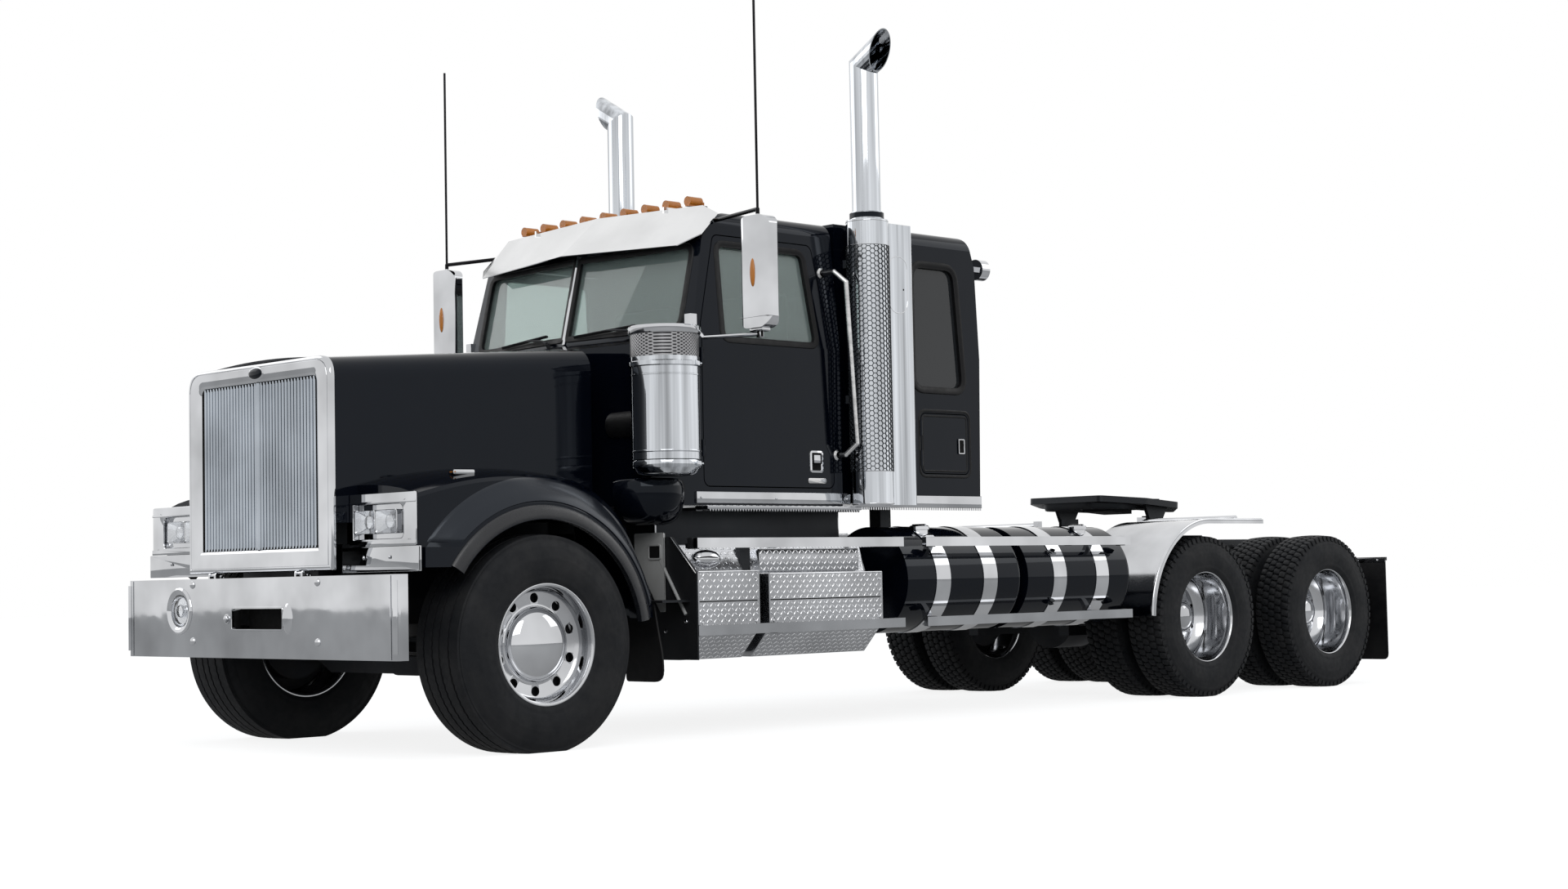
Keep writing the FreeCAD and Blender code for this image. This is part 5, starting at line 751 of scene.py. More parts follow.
# front of the hood: surround, lamps, apron and markers; then the bumper's trim
grilleLook = {"station": -0.85, "half": 0.65, "low": 0.894, "high": 1.925,
              "corners": [0.004, 0.004, 0.11, 0.11], "openHalf": 0.527, "openLow": 1.004, "openHigh": 1.831,
              "openCorners": [0.004, 0.004, 0.035, 0.035],
              "rings": ((0, 0.028), (0, 0.009), (0.04, 0.003), (0.1, 0), (0.16, 0), (0.175, 0.004),
                        (0.205, 0.004), (0.22, 0), (0.82, 0), (0.93, 0.004), (1, 0.012), (1, 0.028)),
              "border": 0.012, "borderRings": ((0, 0.01), (0, 0.028), (1, 0.028), (1, 0.012)),
              "pivot": (0.395, 0.055, 0.872),
              "pivotRing": ((-0.014, 0.005), (-0.014, 0.012), (0.014, 0.012), (0.014, 0.005)),
              "boss": (0.075, 0.034), "bossHigh": 1.878, "bossTiers": ((1, 0, 0.002), (0.8, 1, -0.004)),
              "bossRise": 0.009}


def makeGrille():
    look = grilleLook
    station = look["station"]
    outer = softPanel(-look["half"], look["low"], look["half"], look["high"], look["corners"], 9)
    half, corners = look["openHalf"], look["openCorners"]
    inner = softPanel(-half, look["openLow"], half, look["openHigh"], corners, 9)
    shape = Shape(chrome)
    shape.framed(onFront(outer, station), onFront(inner, station), look["rings"], (0, 1, 0))
    x, back, z = look["pivot"]
    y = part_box("grille_surround")[0].y + back
    for side in (-1, 1):
        shape.turned(look["pivotRing"], (side * x, y, z), steps=24)
    fit(shape.made("grilleSurround", 40), "hood", "chrome", "grille_surround")
    border = Shape(blackTrimAndRecessShade)
    beadOnFront(border, inner, (0, look["border"]), station, look["borderRings"])
    fit(border.made("grilleBorder"), "hood", "black_paint")
    boss = Shape(chrome, blackPaint)
    wide, tall = look["boss"]
    angles = [math.pi / 2 * rise / 4 for rise in range(5)]
    levels = [(math.cos(angle), look["bossRise"] * math.sin(angle)) for angle in angles]
    for size, finish, sink in look["bossTiers"]:
        middle = place(0, station + sink, look["bossHigh"])
        rows = ovalRings(middle, (wide * size, 0, 0), (0, 0, tall * size), (0, -1, 0), levels, 40)
        boss.skinned(rows, finish, around=True)
    fit(boss.made("blankBoss"), "hood", "chrome")


# panels are (inner reach, low, outer reach, high)
lampLook = {"station": -0.748, "shell": (0.66, 1.003, 1.192, 1.25),
            "shellCorners": [0.002, 0.004, 0.012, 0.002], "hollow": (0.686, 1.036, 1.086, 1.197),
            "hollowCorners": [0.002, 0.03, 0.045, 0.002],
            "rings": ((0, 0.008), (0, 0.002), (0.03, 0), (0.9, 0), (0.97, 0.004), (1, 0.012), (1, 0.03)),
            "slabs": ((0.66, 0.999, 1.192, 1.026, 0.002, -0.004, 0.006, 0.001),
                      (0.66, 1.2, 1.192, 1.212, 0.002, -0.003, 0.006, 0.001),
                      (0.595, 0.88, 1.216, 0.997, 0.004, -0.002, 0.008, 0.0015)), "back": (0.032, 0.002),
            "bowls": ((0.7, 0.862), (0.87, 1.04)), "bowlLow": 1.062, "bowlHigh": 1.17, "bowlCorner": 0.014,
            "bowlFloor": 0.35,
            "bowlRings": ((-0.06, 0.03), (-0.06, 0.002), (0, 0), (0.05, 0.004), (0.35, 0.02), (0.7, 0.03),
                          (1, 0.034)), "bulb": ((0.03, 0.03), (0.02, 0.03), (0.014, 0.022), (0.012, 0)),
            "lens": (0.98, 0.8, 0.5, 0.1), "lensRise": 0.004,
            "apronEnd": ((1.21, 1.216), (-0.748, -0.734), (0.88, 0.997)), "bolts": (0.78, 0.99),
            "boltHigh": 0.948, "bolt": 0.006, "house": ((0.67, 1.152), (-0.708, -0.705), (1.023, 1.25))}


def makeHeadlamp(side):
    look = lampLook
    station = look["station"]

    def panel(left, low, right, high, corners):
        line = softPanel(left, low, right, high, corners)
        return [Vector((point.x * side, point.y)) for point in line]

    hollow = panel(*look["hollow"], look["hollowCorners"])
    shell = panel(*look["shell"], look["shellCorners"])
    shape = Shape(chrome, blackTrimAndRecessShade, clearLens)
    shape.framed(onFront(shell, station), onFront(hollow, station), look["rings"], (0, 1, 0), closed=False)
    for left, low, right, high, corner, lift, thick, edge in look["slabs"]:
        shape.slab(onFront(panel(left, low, right, high, corner), station + lift), (0, thick, 0), edge)
    sink, thick = look["back"]
    shape.slab(onFront(hollow, station + sink), (0, thick, 0))
    for left, right in look["bowls"]:
        bowl = panel(left, look["bowlLow"], right, look["bowlHigh"], look["bowlCorner"])
        middle = Vector((side * (left + right) / 2, (look["bowlLow"] + look["bowlHigh"]) / 2))
        small = [middle + (point - middle) * look["bowlFloor"] for point in bowl]
        outer, inner = onFront(bowl, station), onFront(small, station)
        shape.framed(outer, inner, look["bowlRings"], (0, 1, 0), closed=False)
        shape.turned(look["bulb"], place(middle.x, station, middle.y), "Y", 24)
        lens = []
        for share in look["lens"]:
            lift = look["lensRise"] * math.cos(math.pi / 2 * share)
            lens.append(onFront([middle + (point - middle) * share for point in bowl], station - lift))
        shape.skinned(lens, 2, around=True, caps=True)
    shape.block(side, *look["apronEnd"], 0.001)
    for x in look["bolts"]:
        shape.bolt(place(side * x, station - look["bolt"], look["boltHigh"]), (0, -1, 0), look["bolt"])
    fit(shape.made("headlamp_" + sideWord(side)), "hood", "chrome", *leftOnly(side, "headlamps"))
    house = Shape(blackPaint)
    house.block(side, *look["house"], 0.004)
    fit(house.made("lampHouse_" + sideWord(side)), "hood", "black_paint")


# each part is its low and high corner round the spot, its edge and its finish
markerLook = {"at": (1.0, -0.34, 1.325), "turn": 10,
              "parts": (((-0.02, -0.03, -0.02), (0.02, 0.03, 0.02), 0.008, 0),
                        ((-0.03, -0.058, 0.014), (0.03, 0.058, 0.04), 0.01, 0),
                        ((-0.022, -0.06, 0.018), (0.022, -0.04, 0.036), 0.006, 1))}


def makeMarker(side):
    x, station, z = markerLook["at"]
    spot = place(side * x, station, z)
    shape = Shape(chrome, amberLens)
    turn = Matrix.Rotation(math.radians(-side * markerLook["turn"]), 3, "Z")
    for low, high, edge, finish in markerLook["parts"]:
        shape.box(spot + Vector(low), spot + Vector(high), edge, finish, turn)
    fit(shape.made("marker_" + sideWord(side)), "hood", "chrome")


bumperLook = {"station": -0.876, "bolts": ((0.57, 0.838), (0.57, 0.552)),
              "bolt": ((0, 0.02), (-0.004, 0.0195), (-0.009, 0.016), (-0.0115, 0.008), (-0.012, 0)),
              "bowl": (-0.7, 0.705),
              "bowlRing": ((0.002, 0.122), (-0.005, 0.119), (-0.01, 0.11), (-0.008, 0.098), (-0.003, 0.09),
                           (0, 0.084), (0.03, 0.078), (0.05, 0.058), (0.056, 0.03), (0.058, 0)),
              "bulb": ((0.05, 0.03), (0.02, 0.034), (0.006, 0.03), (0, 0.014), (-0.002, 0)),
              "glass": ((-0.001, 0.082), (-0.004, 0.0528), (-0.005, 0)),
              "slot": (0.031, 0.664, 0.227, 0.05), "slotRim": 0.012, "slotCorners": (0.02, 0.01),
              "slotRings": ((0, 0.003), (0.2, -0.002), (0.8, -0.002), (1, 0.004), (1, 0.05)),
              "slotBack": (0.1, 0.004), "key": (0.045, 0.017), "plate": (0.05, 0.045, 0.075),
              "plateShares": (1.0, 0.93, 0.8, 0.62, 0.4), "plateRise": 0.014,
              "edges": (((1.168, 1.174), (-0.877, -0.88), (0.474, 0.863)),
                        ((1.19, 1.22), (-0.874, -0.879), (0.5, 0.84)))}


def makeBumperParts():
    look = bumperLook
    station = look["station"]
    shape = Shape(chrome, clearLens, blackTrimAndRecessShade)
    for x, z in look["bolts"]:
        for side in (-1, 1):
            shape.turned(look["bolt"], place(side * x, station + 0.002, z), "Y", 24)
    x, z = look["bowl"]
    for part, steps, finish in (("bowlRing", 48, 0), ("bulb", 32, 0), ("glass", 40, 1)):
        shape.turned(look[part], place(x, station, z), "Y", steps, finish)
    x, z, wide, tall = look["slot"]
    rim, (outerCorner, innerCorner) = look["slotRim"], look["slotCorners"]
    outer = softPanel(x - wide - rim, z - tall - rim, x + wide + rim, z + tall + rim, outerCorner)
    inner = softPanel(x - wide, z - tall, x + wide, z + tall, innerCorner)
    outside, inside = onFront(outer, station), onFront(inner, station)
    shape.framed(outside, inside, look["slotRings"], (0, 1, 0), closed=False)
    # the slot's back is a near-black slab: painted shade in the slot
    sink, thick = look["slotBack"]
    shape.slab(onFront(inner, station + sink), (0, thick, 0), finish=2)
    out, radius = look["key"]
    shape.bolt(place(x - wide - out, station, z), (0, -1, 0), radius)
    out, across, rise = look["plate"]
    levels = [(share, look["plateRise"] * (1 - share ** 4)) for share in look["plateShares"]]
    middle = place(x + wide + out, station, z)
    rows = ovalRings(middle, (across, 0, 0), (0, 0, rise), (0, -1, 0), levels, 32)
    shape.skinned(rows, around=True, caps=True)
    for side in (-1, 1):
        for edge in look["edges"]:
            shape.block(side, *edge, 0.001)
    fit(shape.made("bumperTrim"), "chassis", "chrome")


makeGrille()
for side in (-1, 1):
    makeHeadlamp(side)
    makeMarker(side)
makeBumperParts()
print("front made")

# air cleaners, stack guards and mirrors
# profiles are (height, radius) pairs; a band is its height, radius, half height and swell
cleanerLook = {"x": 1.102, "station": 0.884, "radius": 0.18, "steps": 72,
               "foot": ((1.346, 0), (1.346, 0.09), (1.35, 0.14), (1.36, 0.155), (1.38, 0.168)),
               "footBand": (1.405, 0.172, 0.02, 0.01), "step": (1.429, 0.18),
               "bands": ((1.47, 0.18, 0.006, 0.003), (1.862, 0.18, 0.004, 0.003),
                         (1.918, 0.18, 0.014, 0.01)),
               "mesh": ((1.955, 0.18), (1.955, 0.177), (2.076, 0.177), (2.076, 0.18)),
               "lid": ((2.076, 0.18), (2.074, 0.186), (2.082, 0.19), (2.108, 0.19), (2.115, 0.184),
                       (2.114, 0.176), (2.11, 0.17), (2.112, 0)), "clamps": (1.918, 1.405),
               "clampRadius": 0.19, "clampTurn": 0.35,
               "clamp": ((-0.012, -0.02, -0.012), (0.004, 0.02, 0.012)), "screw": (0.004, 0.032, 0.004),
               "brackets": (1.52, 1.84),
               "bracketParts": (((0.935, 0.945), (0.854, 1.024), 0.018, 0.004),
                                ((0.94, 0.985), (0.862, 0.906), 0.014, 0.003)), "pipe": (0.7, 0.8, 0.94),
               "pipeHigh": 1.63, "pipeRadius": 0.07}
cowlLook = {"x": 0.91, "station": 0.914, "radius": 0.2, "sweep": 105, "steps": 32,
            "rings": ((1.1, -0.11), (1.11, -0.075), (1.13, -0.045), (1.17, -0.018), (1.23, -0.004),
                      (1.29, 0), (1.32, -0.006), (1.334, -0.018), (1.34, -0.036))}


bandShares = (0.6, 0.7)    # of a band's swell at its rims, and of its height that is flat


def clampBand(z, radius, tall, swell):
    low, flat = radius + swell * bandShares[0], tall * bandShares[1]
    return [(z - tall, radius), (z - tall, low), (z - flat, radius + swell), (z + flat, radius + swell),
            (z + tall, low), (z + tall, radius)]


def makeCleaner(side):
    look = cleanerLook
    shape = Shape(pipeChrome, gauze, blackRubber, blackPaint, chrome)
    spot = place(side * look["x"], look["station"], 0)
    profile = list(look["foot"]) + clampBand(*look["footBand"]) + [look["step"]]
    for band in look["bands"]:
        profile += clampBand(*band)
    profile.append(look["mesh"][0])
    for part, finish in ((profile, 0), (look["mesh"], 1), (look["lid"], 4)):
        shape.turned(part, spot, "Z", look["steps"], finish)
    angle = look["clampTurn"]
    turn = Matrix.Rotation(side * angle, 3, "Z")
    back, reach, radius = look["screw"]
    for z in look["clamps"]:
        hub = spot + look["clampRadius"] * Vector((side * math.cos(angle), math.sin(angle), 0))
        hub.z = z
        low, high = [hub + Vector(corner) for corner in look["clamp"]]
        shape.box(low, high, 0.003, 0, turn)
        shape.tube([hub + Vector((-side * back, way * reach, 0)) for way in (-1, 1)], radius, 10)
    for z in look["brackets"]:
        for reach, stations, half, edge in look["bracketParts"]:
            shape.block(side, reach, stations, (z - half, z + half), edge, 3)
    pipe = [place(side * x, look["station"], look["pipeHigh"]) for x in look["pipe"]]
    shape.tube(pipe, look["pipeRadius"], 32, 2)
    fit(shape.made("airCleaner_" + sideWord(side), 40), "chassis", "chrome", *leftOnly(side, "air_cleaners"))
    look = cowlLook
    cowl = Shape(blackPaint)
    wall = []
    steps = look["steps"]
    angles = [math.radians(look["sweep"] * (2 * step / steps - 1)) for step in range(steps + 1)]
    for z, swell in look["rings"]:
        radius = look["radius"] + swell
        line = [(look["x"] + radius * math.cos(angle), look["station"] + radius * math.sin(angle))
                for angle in angles]
        wall.append([place(side * x, station, z) for x, station in line])
    cowl.skinned(wall, around=True, caps=True)
    fit(cowl.made("cleanerCowl_" + sideWord(side)), "chassis", "black_paint")


# the net's cells stand round the muffler from a start angle, which differs on the two sides
guardLook = {"x": 1.06, "station": 2.46, "radius": 0.12, "cell": 0.028, "web": 0.0042, "columns": 22,
             "sweep": 250, "starts": {1: -175, -1: 105}, "lift": 0.0032, "root": 0.0002, "low": 1.396,
             "high": 2.667, "over": 0.3, "panelX": 1.074,
             "panel": ((1.074, 1.0755), (2.558, 2.806), (1.212, 2.812)), "panelEdges": (2.578, 2.802),
             "panelEdge": (0.003, 0.004),
             "bands": ((1.216, 0.12, 0.003, 0.0015), (2.804, 0.12, 0.003, 0.0015),
                       (1.396, 0.1212, 0.002, 0.0012), (2.667, 0.1212, 0.002, 0.0012)),
             "window": (2.612, 2.3, 2.772, 2.63), "windowCorner": 0.085, "windowBead": 0.008,
             "windowX": 1.0745, "windowRings": ((0, 0), (0.25, 0.0028), (0.75, 0.0028), (1, 0)),
             "screw": ((0, 0.006), (0.003, 0.006), (0.004, 0)), "screwAt": (1.073, 2.735, 2.44),
             "collars": (((2.83, 0.09), (2.83, 0.086), (2.86, 0.084)),
                         ((2.825, 0.084), (2.825, 0.098), (2.853, 0.098), (2.857, 0.084)))}


def makeGuard(side):
    look = guardLook
    spot = place(side * look["x"], look["station"], 0)
    mesh = Shape(gridSteel)
    cell, web, low, high = look["cell"], look["web"], look["low"], look["high"]
    step = math.radians(look["sweep"]) / look["columns"]
    hole = 1 - web / cell
    tiers = ((1, 0, look["lift"]), (hole, web / 2, look["lift"]), (hole, web / 2, look["root"]))
    for column in range(look["columns"]):
        turn = math.radians(look["starts"][side]) + step * (column + 0.5)
        for row in range(-1, int((high - low) / cell) + 2):
            z = low + cell * (row + 0.5 * (column % 2))
            if z < low - cell * look["over"] or z > high + cell * look["over"]:
                continue
            rings = []
            for grow, edge, lift in tiers:
                ring = []
                for corner in range(6):
                    angle = math.radians(60 * corner)
                    around = turn + step * 2 / 3 * grow * math.cos(angle)
                    height = z + cell / math.sqrt(3) * grow * math.sin(angle)
                    out = look["radius"] + lift
                    ring.append(spot + Vector((out * math.cos(around), out * math.sin(around),
                                               min(max(height, low + edge), high - edge))))
                rings.append(ring)
            mesh.skinned(rings, around=True)
    fit(mesh.made("guardMesh_" + sideWord(side)), "chassis", "stainless")
    trim = Shape(chrome, blackTrimAndRecessShade, blackPaint)
    trim.block(side, *look["panel"], 0.0005)
    for band in look["bands"]:
        trim.turned(clampBand(*band), spot, "Z", 60)
    x = look["panelX"]
    tall, wide = look["panelEdge"]
    for station in look["panelEdges"]:
        trim.block(side, (x, x + tall), (station, station + wide), look["panel"][2], 0.001)
    window = softPanel(*look["window"], look["windowCorner"], 10)
    beadOnSide(trim, window, (0, look["windowBead"]), side * look["windowX"], side, look["windowRings"])
    x, station, z = look["screwAt"]
    trim.turned(look["screw"], place(side * x, station, z), "X", 16, 1, flip=side)
    for collar in look["collars"]:
        trim.turned(collar, spot, "Z", 48, 2)
    fit(trim.made("guardTrim_" + sideWord(side)), "chassis", "chrome")


# panels are (left, low, right, high) about the mirror's middle
# each part is its reach, stations, heights, edge and finish
mirrorLook = {"x": 1.357, "front": 1.279, "back": 1.366, "sink": 0.001, "markerHigh": 2.4,
              "marker": (0.018, 0.075), "markerTiers": ((0, 0.004, 0.003), (1, 0, 0.014)),
              "markerShares": (1.0, 0.97, 0.85, 0.6, 0.3, 0.05), "frame": (-0.092, 2.142, 0.092, 2.67),
              "frameCorner": 0.03, "frameBead": 0.01,
              "frameRings": ((0, 0), (0.1, 0.003), (1, 0.003), (1, 0.001)),
              "panes": ((-0.08, 2.272, 0.08, 2.66), (-0.08, 2.152, 0.08, 2.257)), "paneCorner": 0.02,
              "pane": (0.0015, 0.0005),
              "parts": (((-0.1065, 0.1065), (1.2775, 1.366), (2.167, 2.17), 0.0008, 2),
                        ((-0.05, 0.05), (1.292, 1.352), (2.094, 2.116), 0.006, 0),
                        ((-0.016, 0.016), (1.308, 1.336), (2.062, 2.102), 0.005, 2))}


def makeMirrorParts(side):
    look = mirrorLook
    shape = Shape(chrome, amberLens, blackTrimAndRecessShade)
    x = side * look["x"]
    wide, tall = look["marker"]
    spot = place(x, look["front"], look["markerHigh"])
    for finish, grow, lift in look["markerTiers"]:
        levels = [(share, lift * math.sqrt(1 - share ** 2)) for share in look["markerShares"]]
        rows = ovalRings(spot, (wide + grow, 0, 0), (0, 0, tall + grow), (0, -1, 0), levels, 36)
        shape.skinned(rows, finish, around=True, caps=True)

    def panel(left, low, right, high, corner):
        return softPanel(x + left, low, x + right, high, corner)

    back = look["back"]
    frame = panel(*look["frame"], look["frameCorner"])
    beadOnFront(shape, frame, (0, look["frameBead"]), back - look["sink"], look["frameRings"], 2)
    thick, edge = look["pane"]
    for pane in look["panes"]:
        shape.slab(onFront(panel(*pane, look["paneCorner"]), back), (0, thick, 0), edge)
    for reach, stations, heights, edge, finish in look["parts"]:
        shape.block(side, [look["x"] + part for part in reach], stations, heights, edge, finish)
    fit(shape.made("mirrorParts_" + sideWord(side)), "chassis", "chrome")


for side in (-1, 1):
    makeCleaner(side)
    makeGuard(side)
    makeMirrorParts(side)
print("cleaners, guards and mirrors made")

# cab: gaskets, post, wipers, handles and trim
cabLook = {"halfWide": 0.98, "lean": 0.065 / 0.72, "waist": 2.08}
# (station, height) of the glass at its foot and top, and how far it sweeps back at the sides
screenLook = {"low": (1.113, 2.124), "high": (1.231, 2.63), "sweep": 0.084,
              "pane": (0.022, 2.158, 0.872, 2.596), "corners": [0.018, 0.055, 0.055, 0.018],
              "insets": (-0.022, 0.012),
              "rings": ((0, -0.001), (0.15, -0.007), (0.6, -0.008), (1, -0.004), (1, 0.012)),
              "postHeights": (2.128, 2.3, 2.5, 2.63), "postLift": 0.01,
              "post": (-0.014, -0.01, 0, 0.01, 0.014), "postFold": 1 / 3,
              "wipers": ((0.62, 0.1), (-0.1, -0.6)), "foot": (2.118, 0.03), "hinge": (2.14, 0.05, 0.012),
              "elbow": (0.06, 2.16, 0.05), "arm": (2.178, 0.035), "armRadii": [0.008, 0.007, 0.005],
              "blade": (2.158, 0.03, 0.02, 0.006), "bladeShares": (0, 0.5, 0.9),
              "spine": (-0.008, 0.006, 0.0035)}


def cabSide(side):
    return lambda z: side * (cabLook["halfWide"] - max(z - cabLook["waist"], 0) * cabLook["lean"])


def onScreen(x, z, lift=0.0):
    (lowStation, lowZ), (highStation, highZ) = screenLook["low"], screenLook["high"]
    slope = (highStation - lowStation) / (highZ - lowZ)
    sweep = screenLook["sweep"] * abs(x) / cabLook["halfWide"]
    return place(x, lowStation + (z - lowZ) * slope + sweep - lift, z)


def makeScreenParts():
    look = screenLook
    shape = Shape(blackRubber, chrome, castMetal)
    near, low, far, high = look["pane"]
    for side in (-1, 1):
        outline = softPanel(side * near, low, side * far, high, look["corners"])
        outer, inner = [[onScreen(point.x, point.y) for point in insetLine(outline, inset)]
                        for inset in look["insets"]]
        shape.framed(outer, inner, look["rings"], (0, 1, 0), closed=False)
    post = [onScreen(0, z, look["postLift"]) for z in look["postHeights"]]
    fold = look["postFold"]
    shape.skinned([[point + Vector((x, abs(x) * fold, 0)) for x in look["post"]] for point in post], 1)
    for base, tip in look["wipers"]:
        z, lift, radius = look["hinge"]
        hinge = onScreen(base, z, lift)
        shape.tube([onScreen(base, *look["foot"]), hinge], radius, 12, 2)
        over, z, lift = look["elbow"]
        arm = [hinge, onScreen(base - over, z, lift), onScreen((base + tip) / 2, *look["arm"])]
        shape.tube(arm, look["armRadii"], 10, 2)
        z, rise, lift, radius = look["blade"]
        blade = [onScreen(tip + (base - tip) * share, z + rise * share, lift)
                 for share in look["bladeShares"]]
        shape.tube(blade, radius, 8)
        forward, up, radius = look["spine"]
        shape.tube([point + Vector((0, forward, up)) for point in blade], radius, 8, 2)
    fit(shape.made("screenParts"), "chassis", "rubber")


doorLook = {"window": ((1.418, 2.1), (2.12, 2.1), (2.058, 2.606), (1.418, 2.606)), "windowCorner": 0.046,
            "gasket": (-0.026, 0.01),
            "gasketRings": ((0, 0.0005), (0.1, 0.005), (0.55, 0.006), (0.7, 0.003), (1, 0.003), (1, -0.02)),
            "handle": (2.043, 1.388, 2.147, 1.512), "handleCorner": 0.02, "handleBead": 0.016,
            "handleRings": ((0, 0), (0.1, 0.006), (0.8, 0.008), (1, 0.003)), "recess": (0.015, 0.002),
            "paddle": ((0.98, 0.992), (2.063, 2.127), (1.438, 1.492), 0.006, 1),
            "plate": (2.03, 1.331, 2.17, 1.359), "plateCorner": 0.008, "plateTall": (0.003, 0.001),
            "grabFeet": ((2.262, 1.49), (2.2, 2.508)),
            "grabFoot": ((0, 0.03), (0.004, 0.03), (0.007, 0.026), (0.012, 0.018))}


def makeDoorParts(side):
    look = doorLook
    shape = Shape(blackRubber, chrome, blackTrimAndRecessShade, stainless)
    window = softOutline(look["window"], look["windowCorner"])
    beadOnSide(shape, window, look["gasket"], cabSide(side), side, look["gasketRings"], closed=False)
    flat = side * cabLook["halfWide"]
    handle = softPanel(*look["handle"], look["handleCorner"])
    beadOnSide(shape, handle, (0, look["handleBead"]), flat, side, look["handleRings"], 1)
    inset, tall = look["recess"]
    shape.slab(onSide(insetLine(handle, inset), flat), (side * tall, 0, 0), finish=2)
    shape.block(side, *look["paddle"])
    tall, edge = look["plateTall"]
    shape.slab(onSide(softPanel(*look["plate"], look["plateCorner"]), flat), (side * tall, 0, 0), edge, 3)
    fit(shape.made("doorParts_" + sideWord(side)), "door_" + sideWord(side), "rubber")
    feet = Shape(stainless)
    for station, z in look["grabFeet"]:
        feet.turned(look["grabFoot"], place(cabSide(side)(z), station, z), "X", 28, flip=side)
    fit(feet.made("grabFeet_" + sideWord(side)), "chassis", "stainless")


sleeperLook = {"x": 1.01, "window": ((2.88, 1.89), (3.308, 1.89), (3.24, 2.602), (2.88, 2.602)),
               "corner": 0.08, "gasket": (-0.03, 0.012),
               "gasketRings": ((0, 0), (0.12, 0.007), (0.5, 0.009), (0.7, 0.005), (1, 0.003), (1, -0.02)),
               "locker": (2.925, 1.395, 3.34, 1.75), "lockerCorner": 0.04, "seam": (-0.022, -0.004),
               "seamRings": ((0, 0), (0.3, 0.004), (0.7, 0.004), (1, 0)), "lid": (0.012, 0.012),
               "lidRings": ((0, 0), (0.3, 0.003), (0.7, 0.003), (1, 0)),
               "strip": ((2.35, 1.2), (3.44, 1.2), (3.44, 1.27), (2.35, 1.27)),
               "stripTall": (0.004, 0.0015), "teeth": 56, "tooth": 0.005, "teethFrom": 2.36,
               "teethTo": 3.43, "toothReach": (1.01, 1.013), "toothHigh": (1.186, 1.2),
               "latch": (3.242, 1.515, 3.298, 1.605), "latchCorner": 0.01, "latchLift": 0.004,
               "latchBead": 0.009, "latchRings": ((0, 0), (0.2, 0.005), (0.8, 0.005), (1, 0.001)),
               "recess": (0.008, 0.002)}


def makeSleeperParts(side):
    look = sleeperLook
    x = side * look["x"]
    shape = Shape(blackRubber, chrome)
    window = softOutline(look["window"], look["corner"], 7)
    beadOnSide(shape, window, look["gasket"], x, side, look["gasketRings"], closed=False)
    locker = softPanel(*look["locker"], look["lockerCorner"], 6)
    beadOnSide(shape, locker, look["seam"], x, side, look["seamRings"])
    tall, edge = look["stripTall"]
    shape.slab(onSide([Vector(point) for point in look["strip"]], x), (side * tall, 0, 0), edge, 1)
    for order in range(look["teeth"]):
        station = look["teethFrom"] + (look["teethTo"] - look["teethFrom"]) * order / (look["teeth"] - 1)
        stations = (station - look["tooth"], station + look["tooth"])
        shape.block(side, look["toothReach"], stations, look["toothHigh"], finish=1)
    fit(shape.made("sleeperTrim_" + sideWord(side)), "chassis", "rubber")
    lid = Shape(blackRubber, chrome, blackTrimAndRecessShade)
    inset, wide = look["lid"]
    beadOnSide(lid, insetLine(locker, inset), (0, wide), x, side, look["lidRings"])
    latch = softPanel(*look["latch"], look["latchCorner"])
    flat = x + side * look["latchLift"]
    beadOnSide(lid, latch, (0, look["latchBead"]), flat, side, look["latchRings"], 1)
    inset, tall = look["recess"]
    lid.slab(onSide(insetLine(latch, inset), flat), (side * tall, 0, 0), finish=2)
    fit(lid.made("lockerParts_" + sideWord(side)), "locker_door_" + sideWord(side), "black_paint")


makeScreenParts()
for side in (-1, 1):
    makeDoorParts(side)
    makeSleeperParts(side)
print("cab made")

# steps, boxes, rails, tanks and splash plates along the sides
treadLook = {"gap": 0.0235, "long": 0.0142, "wide": 0.0048, "tall": 0.0022, "edge": 0.008, "tilt": 45,
             "loops": ((0, 1, 5, 4), (1, 2, 6, 5), (2, 3, 7, 6), (3, 0, 4, 7), (4, 5, 6, 7))}


# raised lozenges over a flat panel that runs along the truck, from one edge (x, z) to the other
def treaded(shape, side, stations, edge, farEdge, finish):
    look = treadLook
    first, last = stations if side > 0 else stations[::-1]
    corner = place(side * edge[0], first, edge[1])
    along = place(side * edge[0], last, edge[1]) - corner
    up = place(side * farEdge[0], first, farEdge[1]) - corner
    columns, rows = [max(int((way.length - 2 * look["edge"]) / look["gap"]), 1) for way in (along, up)]
    out = along.cross(up).normalized()
    for column in range(columns):
        for row in range(rows):
            middle = corner + along * ((column + 0.5) / columns) + up * ((row + 0.5) / rows)
            tilt = math.radians(look["tilt"] if (column + row) % 2 else -look["tilt"])
            length = along.normalized() * math.cos(tilt) + up.normalized() * math.sin(tilt)
            width = out.cross(length) * look["wide"]
            length = length * look["long"]
            points = [middle + way * share + out * lift for share, lift in ((1, 0), (0.6, look["tall"]))
                      for way in (length, width, -length, -width)]
            shape.add(points, look["loops"], finish, False)


